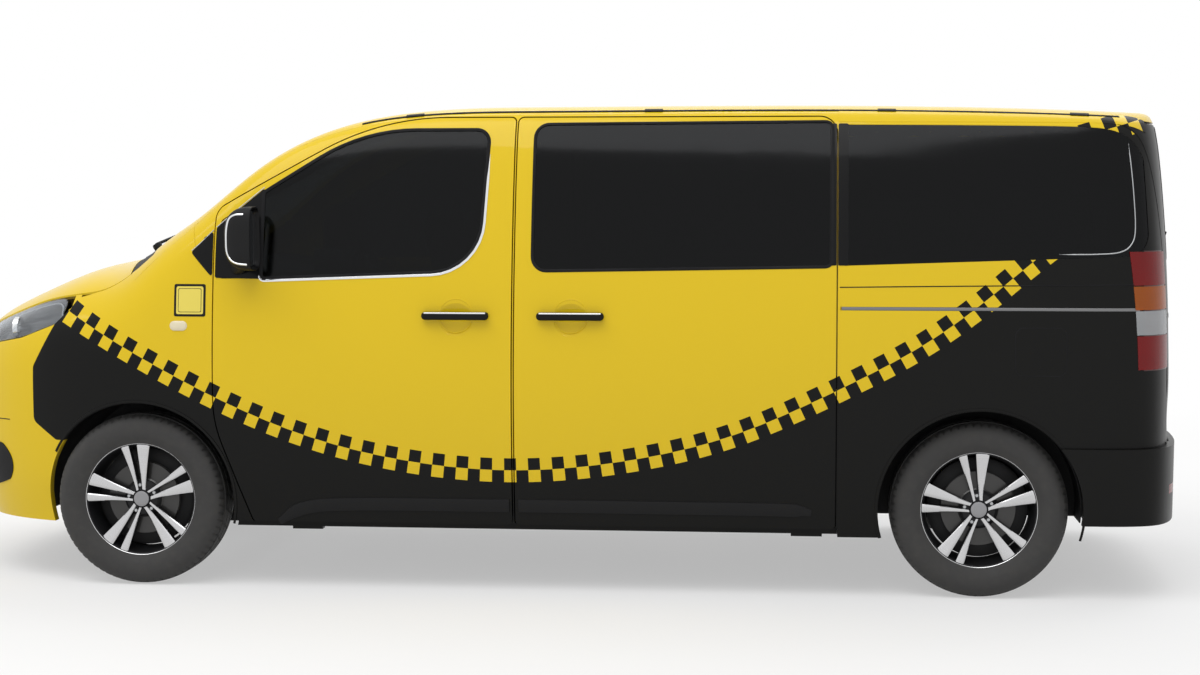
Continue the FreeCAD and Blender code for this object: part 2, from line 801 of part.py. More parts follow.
def quarter_window(grow):
    """Outline of the rear side window, kept off the tailgate's edge."""
    edge = V["tailgate_width"] / 2.0 + V["shut_gap"] + V["hem_lap"]
    reach = HALF_WIDTH + V["overrun"]
    room = block(X_FRONT_AXLE, X_TAIL, -reach, -edge + grow, 0.0, V["body_height"])
    return side_prism(QUARTER_GLASS_SHARES, grow).common(room)


def make_body_side():
    """Pillars, sill and cant rail behind the doors with the rear quarter panel."""
    gap = V["shut_gap"]
    split = station(0.836)
    reach = HALF_WIDTH + V["overrun"]
    low = V["sill_height"]
    recess = 4.0 * V["seat_gap"]
    skin = flank_slab(recess, V["door_depth"] + V["frame_gap"] - recess)
    skin = skin.cut(side_prism(FRONT_DOOR_SHARES, gap)).cut(side_prism(SLIDING_DOOR_SHARES, gap))
    skin = skin.common(block(station(0.03), split, -reach, 0.0, low, V["body_height"]))
    wing = side_prism(WING_REAR_SHARES)
    skin = skin.cut(wing)
    skin = skin.cut(block(station(0.03), split, -reach, 0.0, 0.0, height(0.1375) + gap))
    frame = flank_slab(V["door_depth"] + V["frame_gap"], V["frame_depth"])
    frame = frame.common(block(station(0.045), split, -reach, 0.0, low, V["body_height"]))
    frame = frame.cut(side_prism(FRONT_DOOR_SHARES, -V["seal_lap"]))
    frame = frame.cut(side_prism(SLIDING_DOOR_SHARES, -V["seal_lap"]))
    lip = flank_slab(V["door_depth"] + V["seat_gap"], V["frame_gap"])
    seals = []
    for outline in (FRONT_DOOR_SHARES, SLIDING_DOOR_SHARES):
        ring = side_prism(outline, -V["hem_lap"] - V["shut_gap"])
        seals.append(lip.common(ring.cut(side_prism(outline, -V["seal_lap"] + V["shut_gap"]))))
    seals[0] = seals[0].cut(block(X_NOSE, station(0.3), -reach, 0.0, height(0.55), V["body_height"]))
    quarter = quarter_shell(0.0, V["quarter_depth"])
    quarter = quarter.common(block(split, X_TAIL, -reach, -V["tailgate_width"] / 2.0 - gap,
                                   low, V["body_height"]))
    quarter = quarter.cut(quarter_window(-V["glass_lap"]))
    seat = V["glass_inset"] + V["glass_depth"] + V["seat_gap"]
    rebate = quarter_shell(-V["overrun"] / 8.0, V["overrun"] / 8.0 + seat)
    quarter = quarter.cut(rebate.common(quarter_window(V["seat_gap"])))
    quarter = quarter.cut(block(X_REAR_AXLE, X_TAIL, -reach, 0.0, 0.0,
                                V["tail_bumper_top"] + V["seat_gap"]))
    lamp = tail_lamp_block(gap_around=V["seat_gap"])
    lamp_seat = V["overrun"] / 8.0 + V["lamp_depth"] * 0.7 + V["seat_gap"]
    quarter = quarter.cut(quarter_shell(-V["overrun"] / 8.0, lamp_seat).common(lamp))
    groove = block(split + gap, station(1.83), -reach, 0.0,
                   V["rail_groove_height"] - V["rail_groove_width"] * 0.5,
                   V["rail_groove_height"] + V["rail_groove_width"] * 0.5)
    groove = groove.common(quarter_shell(-V["overrun"] / 8.0, V["overrun"] / 8.0 + V["rail_groove_depth"]))
    quarter = quarter.cut(groove)
    side = skin.fuse([frame, quarter] + seals + jack_pads())
    side = side.cut(ABOVE_FLANK).cut(REAR_ARCH)
    side = side.cut(arch_cylinder(X_FRONT_AXLE, V["liner_wall"] + V["seat_gap"]))
    light_seat = side_prism(QUARTERLIGHT_SHARES, V["seat_gap"])
    return side.cut(flank_slab(-V["overrun"] / 8.0, V["overrun"] / 8.0 + seat).common(light_seat))


body_side = make_body_side()
quarter_pane = quarter_shell(V["glass_inset"], V["glass_depth"])
quarter_pane = quarter_pane.common(quarter_window(0.0))
keep("body_side_left", body_side)
keep("body_side_right", mirrored(body_side))


# Wings, bumper and lamps

def nose_shell(inset, depth):
    """Wrapped shell of the nose from one wing to the other."""
    angles = [math.radians(degree) for degree in spaced(87.0, 273.0, 35)]

    def heights(angle):
        low = V["bumper_bottom"]
        x = X_NOSE_FAN + fan_radius(X_NOSE_FAN, angle, V["waist_height"]) * math.cos(angle)
        top = lid_point(max(x, station(-0.9)), 0.72).z
        return [low + rise * (top - low)
                for rise in (0.0, 0.15, 0.3, 0.42, 0.54, 0.64, 0.73, 0.81, 0.88, 0.94, 1.0)]

    return fan_slab(X_NOSE_FAN, angles, heights, depth, 0.0, inset)


def slat_bars(half_wide, bottom, top, x_to):
    """Level bars that cross an opening of the nose, with one wall behind them."""
    pitch = 2.5 * V["slat_height"]
    count = int((top - bottom) / pitch)
    step = (top - bottom) / count
    bars = []
    for i in range(count):
        z = bottom + (i + 0.5) * step - V["slat_height"] / 2.0
        bars.append(block(X_NOSE, x_to, -half_wide, half_wide, z, z + V["slat_height"]))
    return bars


NOSE = nose_shell(0.0, V["bumper_depth"])


def make_wing():
    """Left front wing with its arch, between bumper, bonnet, pillar and door."""
    gap = V["seat_gap"]
    wing = flank_slab(0.0, V["wing_depth"]).common(side_prism(WING_REAR_SHARES, -gap))
    wing = wing.cut(side_prism(FRONT_DOOR_SHARES, V["shut_gap"]))
    wing = wing.cut(side_prism(BUMPER_SIDE_SHARES, gap))
    wing = wing.cut(side_prism(HEADLAMP_SHARES, gap))
    wing = wing.cut(BONNET_GAP).cut(cowl_plan(gap)).cut(ABOVE_FLANK).cut(FRONT_ARCH)
    seat = V["glass_inset"] + V["glass_depth"] + gap
    wing = wing.cut(flank_slab(-V["overrun"] / 8.0, V["overrun"] / 8.0 + seat)
                    .common(side_prism(QUARTERLIGHT_SHARES, gap)))
    bottom = block(X_NOSE, 0.0, -2.0 * HALF_WIDTH, 0.0, -V["overrun"], height(0.1375))
    pieces = wing.cut(bottom).Solids
    return max(pieces, key=lambda piece: piece.Volume)


def make_bumper():
    """Front bumper skin with its intake, grille opening and lamp openings."""
    gap = V["seat_gap"]
    reach = HALF_WIDTH + V["overrun"]
    side = side_prism(BUMPER_SIDE_SHARES, 0.0, -reach, reach)
    lamps = side_prism(HEADLAMP_SHARES, gap, -reach, -V["grille_width"] / 2.0)
    skin = NOSE.common(side).cut(lamps).cut(mirrored(lamps))
    skin = skin.cut(BONNET_GAP).cut(FRONT_ARCH)
    far = X_NOSE + V["nose_taper"]
    for half, low, high in ((V["grille_width"] / 2.0 - V["glass_lap"], V["grille_bottom"], V["grille_top"]),
                            (V["intake_width"] / 2.0, V["intake_bottom"], V["intake_top"])):
        corner = V["slat_height"] * 2.0
        hole = ((-half, low, corner), (half, low, corner), (half, high, corner), (-half, high, corner))
        skin = skin.cut(front_prism(hole, X_NOSE - corner, far))
    return max(skin.Solids, key=lambda piece: piece.Volume)


def make_headlamp():
    """Left headlamp: the part of the nose inside the lamp outline."""
    reach = HALF_WIDTH + V["overrun"]
    lamp = nose_shell(0.0, V["lamp_depth"])
    lamp = lamp.common(side_prism(HEADLAMP_SHARES, 0.0, -reach, -V["grille_width"] / 2.0 - V["seat_gap"]))
    lamp = lamp.cut(BONNET_GAP).cut(FRONT_ARCH)
    return max(lamp.Solids, key=lambda piece: piece.Volume)


def make_grille():
    """Level bars of grille and intake on a dished back panel."""
    gap = V["seat_gap"]
    far = X_NOSE + V["nose_taper"]
    inner = nose_shell(V["slat_relief"], V["bumper_depth"] - 2.0 * V["slat_relief"])
    pieces = []
    for half, low, high in ((V["grille_width"] / 2.0 - V["glass_lap"], V["grille_bottom"], V["grille_top"]),
                            (V["intake_width"] / 2.0, V["intake_bottom"], V["intake_top"])):
        corner = V["slat_height"] * 2.0
        hole = ((-half, low, corner), (half, low, corner), (half, high, corner), (-half, high, corner))
        plug = front_prism(hole, X_NOSE - corner, far, -gap)
        back = nose_shell(V["bumper_depth"] - V["slat_relief"], V["slat_relief"] * 0.5).common(plug)
        bars = slat_bars(half, low, high, far)
        grid = bars[0].multiFuse(bars[1:]) if len(bars) > 1 else bars[0]
        pieces.append(back.fuse(inner.common(plug).common(grid)))
    return Part.makeCompound(pieces)


wing = make_wing()
keep("front_wings", pair(wing))
bumper = make_bumper()
keep("front_bumper", bumper)
lamp = make_headlamp()
keep("headlamps", pair(lamp))
grille = make_grille()
keep("front_grille", grille)


# Bonnet, windscreen and roof

def lid_shares(edge, count):
    """Shares of the half width from one edge of the top to the other."""
    return [edge * math.sin(math.pi / 2.0 * t) for t in spaced(-1.0, 1.0, count)]


nose_stations = [X_NOSE + V["overrun"] / 40.0 + (station(0.06) - X_NOSE) * t ** 2
                 for t in spaced(0.0, 1.0, 26)]
BONNET_FACE = lid_face(nose_stations, lid_shares(0.95, 25))
tail_reach = X_BODY_TAIL - V["tail_lean"]
cabin_stations = (spaced(station(-0.3), station(0.4), 26) + spaced(station(0.45), station(1.3), 14)
                  + [tail_reach - (tail_reach - station(1.35)) * t ** 2 for t in spaced(1.0, 0.08, 10)])
CABIN_FACE = lid_face(cabin_stations, lid_shares(0.965, 31))


def windscreen_corners():
    """Plan corners of the windscreen."""
    return [(station(s), share * HALF_WIDTH, r * HALF_WIDTH) for s, share, r in WINDSCREEN_SHARES]


def make_bonnet():
    """Bonnet lid: a skin, and an inner panel set back from the skin's edge."""
    skin = lid_slab(BONNET_FACE, 0.0, V["bonnet_skin"]).common(BONNET_PLAN)
    inner = lid_slab(BONNET_FACE, V["bonnet_skin"], V["bonnet_depth"] - V["bonnet_skin"])
    return skin.fuse(inner.common(bonnet_prism(-V["hem_lap"])))


def make_roof():
    """Roof with the windscreen pillars and the windscreen's rebate."""
    roof = lid_slab(CABIN_FACE, 0.0, V["roof_depth"])
    high = V["body_height"] * 1.2
    low = V["rounding_height"]
    roof = roof.common(ABOVE_SEAM)
    roof = roof.cut(plan_prism(windscreen_corners(), low, high, -V["glass_lap"] - V["seat_gap"]))
    seat = V["glass_inset"] + V["glass_depth"] + V["seat_gap"]
    cap = lid_slab(CABIN_FACE, -V["overrun"] / 8.0, V["overrun"] / 8.0 + seat)
    roof = roof.cut(cap.common(plan_prism(windscreen_corners(), low, high, V["seat_gap"])))
    roof = roof.cut(cowl_plan(V["seat_gap"]))
    return max(roof.Solids, key=lambda piece: piece.Volume)


def make_cowl():
    """Panel below the windscreen, with the wipers' trough."""
    cowl = lid_slab(CABIN_FACE, 0.0, V["roof_depth"]).common(cowl_plan(0.0))
    cowl = cowl.cut(BONNET_GAP)
    high = V["body_height"] * 1.2
    cowl = cowl.cut(plan_prism(windscreen_corners(), V["rounding_height"], high, V["seat_gap"]))
    return max(cowl.Solids, key=lambda piece: piece.Volume)


windscreen = lid_slab(CABIN_FACE, V["glass_inset"], V["glass_depth"])
windscreen = windscreen.common(plan_prism(windscreen_corners(), V["rounding_height"], V["body_height"] * 1.2))
bonnet = make_bonnet()
roof = make_roof()
cowl = make_cowl()
keep("bonnet", bonnet)
keep("roof_panel", roof)
keep("scuttle_panel", cowl)
keep("windscreen", windscreen)


# Tail

def tail_x(y, z):
    """Place of the rear face at y and z."""
    near = station(1.0)
    far = X_TAIL + V["overrun"]
    for _ in range(36):
        middle = (near + far) / 2.0
        if outside(middle, y, z) > 0.0:
            far = middle
        else:
            near = middle
    return near


def tail_slab(half, low, start, depth):
    """Solid between two depths below the rear face, measured along the body."""
    rows = []
    tilt = 1.6 * V["shut_gap"]
    for share in (-1.0, -0.93, -0.82, -0.66, -0.45, -0.2, 0.0, 0.2, 0.45, 0.66, 0.82, 0.93, 1.0):
        y = share * half
        top = seam_height(station(1.85)) - tilt
        rows.append([])
        for rise in (0.0, 0.15, 0.3, 0.45, 0.6, 0.72, 0.82, 0.9, 0.95, 0.98, 1.0):
            z = low + rise * (top - low)
            rows[-1].append(Vector(tail_x(y, z) - start - depth, y, z))
    return surface(rows).extrude(Vector(depth, 0, 0))


TAIL_GLASS_SHARES = ((-0.79, 0.675, 0.05), (0.79, 0.675, 0.05), (0.74, 0.945, 0.05), (-0.74, 0.945, 0.05))


def tail_glass_corners():
    """Outline of the rear window seen from behind."""
    half = V["tailgate_width"] / 2.0
    return [(y * half, height(z), r * HALF_WIDTH) for y, z, r in TAIL_GLASS_SHARES]


def make_tailgate():
    """Tailgate with its window and the recess for a blank plate."""
    half = V["tailgate_width"] / 2.0
    low = V["tail_bumper_top"] + 1.6 * V["shut_gap"]
    gate = tail_slab(half, low, 0.0, V["tailgate_depth"])
    x0, x1 = X_REAR_AXLE, X_TAIL + V["overrun"]
    gate = gate.cut(front_prism(tail_glass_corners(), x0, x1, -V["glass_lap"]))
    seat = V["glass_inset"] + V["glass_depth"] + V["seat_gap"]
    cap = tail_slab(half, low, -V["overrun"] / 8.0, V["overrun"] / 8.0 + seat)
    gate = gate.cut(cap.common(front_prism(tail_glass_corners(), x0, x1, V["seat_gap"])))
    pane = tail_slab(half, low, V["glass_inset"], V["glass_depth"])
    return gate, pane.common(front_prism(tail_glass_corners(), x0, x1))


def tail_bumper_shell(grow):
    """Wrapped shell of the rear bumper, thicker by grow on every side."""
    angles = [math.radians(degree) for degree in spaced(-72.0, 72.0, 31)]
    low, high = V["tail_bumper_bottom"] - grow, V["tail_bumper_top"] + grow
    return fan_slab(X_TAIL_FAN, angles, lambda angle: spaced(low, high, 6), V["bumper_depth"] + 2.0 * grow,
                    V["bumper_bulge"], -grow)


def make_tail_bumper():
    """Rear bumper, wrapped from one rear arch to the other."""
    return tail_bumper_shell(0.0).cut(REAR_ARCH)


tailgate, tail_pane = make_tailgate()
tail_bumper = make_tail_bumper()
keep("tailgate", tailgate)
keep("tailgate_glass", tail_pane)
keep("rear_bumper", tail_bumper)
tail_lamp = quarter_shell(0.0, V["lamp_depth"] * 0.7).common(tail_lamp_block(0.0))
keep("tail_lamps", pair(tail_lamp))

# Pieces made by sketches and features

def bind(feature, field, size):
    """Tie one property of a feature to the sheet."""
    feature.setExpression(field, size.formula)


def origin_plane(body, role):
    """One of a body's own origin planes or axes."""
    return [item for item in body.Origin.OriginFeatures if item.Role == role][0]


def new_body(name, x=ZERO, y=ZERO, z=ZERO):
    """Body whose origin stands at a place tied to the sheet."""
    body = doc.addObject("PartDesign::Body", name)
    for axis, size in (("x", x), ("y", y), ("z", z)):
        bind(body, ".Placement.Base." + axis, size)
    return body


def rounded_sketch(body, role, corners, name):
    """Sketch of a closed outline; each corner is x, y and its radius, tied to the sheet."""
    sketch = body.newObject("Sketcher::SketchObject", name)
    sketch.AttachmentSupport = [(origin_plane(body, role), "")]
    sketch.MapMode = "FlatFace"
    add_outline(sketch, corners)
    return sketch


def add_outline(sketch, corners):
    """Lines and tangent arcs of one closed outline, held by its corners."""
    count = len(corners)
    flat = [(float(x), float(y), float(r)) for x, y, r in corners]
    points = []
    for i in range(count):
        px, py, radius = flat[i]
        ax, ay = flat[i - 1][:2]
        bx, by = flat[(i + 1) % count][:2]
        back, ahead = math.hypot(ax - px, ay - py), math.hypot(bx - px, by - py)
        ux, uy, vx, vy = (ax - px) / back, (ay - py) / back, (bx - px) / ahead, (by - py) / ahead
        half = math.acos(max(-1.0, min(1.0, ux * vx + uy * vy))) / 2.0
        cut = radius / math.tan(half)
        reach = radius / math.sin(half)
        mx, my = ux + vx, uy + vy
        size = math.hypot(mx, my) or 1.0
        centre = (px + mx / size * reach, py + my / size * reach)
        points.append(((px + ux * cut, py + uy * cut), centre, (px + vx * cut, py + vy * cut), radius))
    lines = []
    for i in range(count):
        start, end = points[i][2], points[(i + 1) % count][0]
        lines.append(sketch.addGeometry(Part.LineSegment(Vector(*start, 0), Vector(*end, 0)), False))
    for i in range(count):
        before, after = lines[i - 1], lines[i]
        first, centre, last, radius = points[i]
        if radius > 0.0:
            corner = sketch.addGeometry(Part.Point(Vector(*flat[i][:2], 0)), True)
            place_point(sketch, corner, 1, corners[i])
            sketch.addConstraint(Sketcher.Constraint("PointOnObject", corner, 1, before))
            sketch.addConstraint(Sketcher.Constraint("PointOnObject", corner, 1, after))
            round_corner(sketch, before, after, points[i], corners[i][2])
        else:
            sketch.addConstraint(Sketcher.Constraint("Coincident", before, 2, after, 1))
            place_point(sketch, after, 1, corners[i])


def place_point(sketch, item, end, corner):
    """Hold one point at its distances from the sketch's origin."""
    for kind, size in (("DistanceX", corner[0]), ("DistanceY", corner[1])):
        index = sketch.addConstraint(Sketcher.Constraint(kind, item, end, float(size)))
        if isinstance(size, Size):
            sketch.setExpression("Constraints[%d]" % index, size.formula)


def round_corner(sketch, before, after, point, radius):
    """Arc between two lines, tangent to both."""
    first, centre, last, value = point
    start = math.atan2(first[1] - centre[1], first[0] - centre[0])
    end = math.atan2(last[1] - centre[1], last[0] - centre[0])
    turn = (end - start) % (2.0 * math.pi)
    circle = Part.Circle(Vector(*centre, 0), Vector(0, 0, 1), value)
    forward = turn < math.pi
    arc = Part.ArcOfCircle(circle, start, start + turn) if forward else Part.ArcOfCircle(
        circle, end, end + 2.0 * math.pi - turn)
    item = sketch.addGeometry(arc, False)
    first_end, last_end = (1, 2) if forward else (2, 1)
    sketch.addConstraint(Sketcher.Constraint("Tangent", before, 2, item, first_end))
    sketch.addConstraint(Sketcher.Constraint("Tangent", item, last_end, after, 1))
    index = sketch.addConstraint(Sketcher.Constraint("Radius", item, value))
    sketch.setExpression("Constraints[%d]" % index, radius.formula)


def revolve(body, corners, name):
    """Ring turned about the body's Y axis; corners are radius, place along it and rounding."""
    sketch = rounded_sketch(body, "XY_Plane", corners, name + "_profile")
    ring = body.newObject("PartDesign::Revolution", name)
    ring.Profile = sketch
    ring.ReferenceAxis = (sketch, ["V_Axis"])
    ring.Angle = 360.0
    return ring


def pad(body, role, corners, length, name, midplane=True):
    """Outline pushed out of one of the body's own planes."""
    sketch = rounded_sketch(body, role, corners, name + "_outline")
    feature = body.newObject("PartDesign::Pad", name)
    feature.Profile = sketch
    bind(feature, "Length", length)
    feature.Midplane = midplane
    return feature


def repeated_pocket(body, role, corners, count, name):
    """Pocket through a wheel, repeated round its axis."""
    sketch = rounded_sketch(body, role, corners, name + "_outline")
    feature = body.newObject("PartDesign::Pocket", name)
    feature.Profile = sketch
    feature.Type = "ThroughAll"
    feature.Midplane = True
    pattern = body.newObject("PartDesign::PolarPattern", name + "_pattern")
    pattern.Originals = [feature]
    pattern.Axis = (sketch, ["N_Axis"])
    pattern.Angle = 360.0
    pattern.Occurrences = count
    body.Tip = pattern
    return pattern


def lug_bores(body, x, z, name):
    """Five bores for the wheel's bolts, the first at x and z from the axle."""
    sketch = body.newObject("Sketcher::SketchObject", name + "_outline")
    sketch.AttachmentSupport = [(origin_plane(body, "XZ_Plane"), "")]
    sketch.MapMode = "FlatFace"
    radius = D.lug_bore / 2.0
    circle = sketch.addGeometry(Part.Circle(Vector(float(x), float(z), 0), Vector(0, 0, 1), float(radius)))
    place_point(sketch, circle, 3, (x, z))
    index = sketch.addConstraint(Sketcher.Constraint("Radius", circle, float(radius)))
    sketch.setExpression("Constraints[%d]" % index, radius.formula)
    pocket = body.newObject("PartDesign::Pocket", name)
    pocket.Profile = sketch
    pocket.Type = "ThroughAll"
    pocket.Midplane = True
    pattern = body.newObject("PartDesign::PolarPattern", name + "_pattern")
    pattern.Originals = [pocket]
    pattern.Axis = (sketch, ["N_Axis"])
    pattern.Angle = 360.0
    pattern.Occurrences = 5
    body.Tip = pattern


def keep_body(body, name):
    """Finish a body as a sub-part."""
    body.Label = name
    SUB_PARTS.append(body)


# Wheels, with the outside of each wheel towards +v along its own axis

def wheel_sides():
    """Name, axle, half track, and side of each wheel: -1 left, 1 right."""
    return (("front_left", FRONT_AXLE, D.front_track / 2.0, -1.0),
            ("front_right", FRONT_AXLE, D.front_track / 2.0, 1.0),
            ("rear_left", REAR_AXLE, D.rear_track / 2.0, -1.0),
            ("rear_right", REAR_AXLE, D.rear_track / 2.0, 1.0))


def tyre_section(side):
    """Corners of the tyre: radius, place across the wheel and rounding."""
    outer = D.tyre_diameter / 2.0
    half = D.tyre_width / 2.0
    bead = D.bead_diameter / 2.0 + D.seat_gap
    wall = outer - bead
    lip = D.rim_diameter / 2.0
    at_lip = D.rim_width / 2.0 - D.barrel_wall - D.seat_gap
    bulge = bead + wall * 0.42
    slope = float((half - at_lip) / (bulge - lip))
    at_bead = at_lip - (lip - bead) * slope
    right = [(bead, at_bead), (bulge, half), (outer - wall * 0.2, half * 0.96), (outer, half * 0.7)]
    left = [(r, -v) for r, v in reversed(right)]
    return [(r, v * side, ZERO) for r, v in right + left]


def make_wheel(name, axle, half_track, side):
    """Tyre, and the rim with its hub and brake disc."""
    tyre = new_body("tyre_" + name, axle, half_track * side, AXLE_HEIGHT)
    revolve(tyre, tyre_section(side), "tyre_ring_" + name)
    keep_body(tyre, "tyre_" + name)
    rim = new_body("wheel_" + name, axle, half_track * side, AXLE_HEIGHT)
    lip = D.rim_diameter / 2.0
    bead = D.bead_diameter / 2.0
    well = D.well_diameter / 2.0
    wall = D.barrel_wall
    half = D.rim_width / 2.0
    inner = half - wall
    face = half - wall * 0.5
    hub = D.hub_diameter / 2.0
    mount = D.mount_offset
    spoke_back = inner - D.spoke_depth
    disc = D.disc_diameter / 2.0
    disc_out = mount - D.disc_depth * 0.6
    disc_in = disc_out - D.disc_depth
    bore = D.spindle_diameter / 2.0 + D.seat_gap
    section = [
        (ZERO, mount + D.hub_depth), (D.cap_diameter / 2.0, mount + D.hub_depth),
        (hub, mount + D.hub_depth * 0.85), (well, face - wall * 0.5), (lip - wall, face),
        (lip - wall * 0.5, half), (lip, half), (lip, inner), (bead, inner), (bead, half * 0.5),
        (well, half * 0.3), (well, -half * 0.25), (bead, -half * 0.45), (bead, -inner),
        (lip, -inner), (lip, -half), (bead - wall, -half), (bead - wall, -half * 0.45),
        (well - wall, -half * 0.25), (well - wall, spoke_back), (hub, mount),
        (hub, disc_out), (disc, disc_out), (disc, disc_in), (bore + wall * 2.0, disc_in),
        (bore, disc_in), (bore, mount), (ZERO, mount)]
    corners = [(r, v * side, ZERO) for r, v in section]
    revolve(rim, corners, "rim_ring_" + name)
    for label, opening in (("wide", WIDE_WINDOW_SHARES), ("narrow", NARROW_WINDOW_SHARES)):
        outline = []
        for turn, r, corner in opening:
            angle = math.radians(PAIR_TURN_SHARE + turn)
            outline.append((lip * (-side * r * math.cos(angle)), lip * (r * math.sin(angle)), lip * corner))
        if side > 0.0:
            outline.reverse()
        repeated_pocket(rim, "XZ_Plane", outline, 5, "window_%s_%s" % (label, name))
    angle = math.radians(PAIR_TURN_SHARE)
    spot = D.lug_circle / 2.0
    lug_bores(rim, spot * (-side * math.cos(angle)), spot * math.sin(angle), "lug_bores_" + name)
    keep_body(rim, "wheel_" + name)


# Degrees from the rear of the car to the first pair of spokes, counter-clockwise seen from outside
PAIR_TURN_SHARE = 98.0
# Openings between spokes: degrees from the pair's middle, share of the rim's radius, and corner
# radius as a share of it; each pair has a wide spoke and a thin one
WIDE_WINDOW_SHARES = ((14.5, 0.80, 0.03), (52.5, 0.80, 0.03), (49.5, 0.36, 0.02), (20.5, 0.36, 0.02))
NARROW_WINDOW_SHARES = ((-4.0, 0.80, 0.012), (4.0, 0.80, 0.012), (5.5, 0.40, 0.012), (-5.5, 0.40, 0.012))


# Front suspension, with the wheels turning on the pin line through ball joint and strut top

BALL = Vector(X_FRONT_AXLE, -V["ball_joint_y"], V["ball_joint_z"])
STRUT_TOP = Vector(X_FRONT_AXLE, -V["strut_top_y"], V["strut_top_z"])
STRUT_FOOT = Vector(X_FRONT_AXLE, -V["strut_foot_y"], V["strut_foot_z"])
PIN_LINE = (STRUT_TOP - BALL).normalize()
Z_AXLE = float(AXLE_HEIGHT)


def make_knuckle():
    """Left knuckle: spindle, bearing housing, upright, strut and its turning mount."""
    centre_y = -V["front_track"] / 2.0
    housing_y = centre_y + V["upright_depth"]
    spindle_end = centre_y - V["mount_offset"] + V["shut_gap"]
    hub = Vector(X_FRONT_AXLE, housing_y, Z_AXLE)
    spindle = bar(hub, Vector(X_FRONT_AXLE, spindle_end, Z_AXLE), V["spindle_diameter"])
    housing = bar(hub, Vector(X_FRONT_AXLE, centre_y, Z_AXLE), 2.6 * V["spindle_diameter"])
    boss = BALL + PIN_LINE * (V["arm_depth"] * 0.5 + V["shut_gap"] * 3.0)
    foot = bar(boss, boss + PIN_LINE * V["upright_depth"], V["arm_eye_diameter"])
    pin = bar(BALL - PIN_LINE * (V["arm_depth"] * 0.5), boss + PIN_LINE * V["shut_gap"],
              V["ball_pin_diameter"])
    lower = bar(boss + PIN_LINE * (V["upright_depth"] * 0.5), hub, V["upright_depth"])
    upper = bar(hub, STRUT_FOOT, V["upright_depth"] * 1.2)
    strut = bar(STRUT_FOOT - Vector(0, 0, V["strut_diameter"] * 0.5), STRUT_TOP, V["strut_diameter"])
    mount = bar(STRUT_TOP - PIN_LINE * (V["strut_mount_depth"] * 0.5),
                STRUT_TOP + PIN_LINE * (V["strut_mount_depth"] * 0.5), V["strut_mount_diameter"])
    spring_low = STRUT_FOOT + (STRUT_TOP - STRUT_FOOT) * 0.55
    spring = bar(spring_low, STRUT_FOOT + (STRUT_TOP - STRUT_FOOT) * 0.93, 2.0 * V["strut_diameter"])
    return spindle.multiFuse([housing, foot, pin, lower, upper, strut, mount, spring]).removeSplitter()


def make_subframe():
    """Front subframe with its lower arms and the steering rack."""
    low = V["ball_joint_z"] - V["arm_depth"] * 0.5
    top = SUBFRAME_TOP
    x0, x1 = station(-0.48), station(0.08)
    half = V["rail_y"] - V["rail_width"] * 0.5
    rail = V["rail_width"]
    frame = block(x0, x1, -half, half, low, top)
    frame = frame.cut(block(x0 + rail, x1 - rail, -half + rail, half - rail, low - rail, top + rail))
    arm_low = V["ball_joint_z"] - V["arm_depth"] * 0.5
    eye = bar(BALL - PIN_LINE * (V["arm_depth"] * 0.5), BALL + PIN_LINE * (V["arm_depth"] * 0.5),
              V["arm_eye_diameter"])
    neck = V["arm_eye_diameter"] * 0.4
    root = V["arm_eye_diameter"] * 1.9
    corners = [(X_FRONT_AXLE - neck, -V["ball_joint_y"], 0.0), (X_FRONT_AXLE + neck, -V["ball_joint_y"], 0.0),
               (X_FRONT_AXLE + neck, -V["strut_foot_y"], neck), (X_FRONT_AXLE + root, -half, 0.0),
               (X_FRONT_AXLE - root, -half, 0.0), (X_FRONT_AXLE - neck, -V["strut_foot_y"], neck)]
    arm = plan_prism(corners, arm_low, arm_low + V["arm_depth"]).fuse(eye)
    arm = arm.cut(bar(BALL - PIN_LINE * V["arm_depth"], BALL + PIN_LINE * V["arm_depth"],
                      V["ball_pin_diameter"] + 2.0 * V["seat_gap"]))
    rack_x = station(0.05)
    rack_y = V["well_half_width"] - V["rack_diameter"] * 0.5
    rack = bar(Vector(rack_x, -rack_y, V["rack_height"]), Vector(rack_x, rack_y, V["rack_height"]),
               V["rack_diameter"])
    posts = []
    for x in (x0 + rail, x1 - rail):
        for side in (-1.0, 1.0):
            y = side * V["rail_y"]
            posts.append(block(x - rail * 0.5, x + rail * 0.5, y - rail * 0.5, y + rail * 0.5, low,
                               FRONT_RAIL_LOW - V["seat_gap"]))
    return frame.multiFuse([arm, mirrored(arm), rack] + posts)


SUBFRAME_TOP = V["ball_joint_z"] + 2.5 * V["arm_depth"]
FRONT_RAIL_LOW = V["floor_top"] - V["floor_depth"]


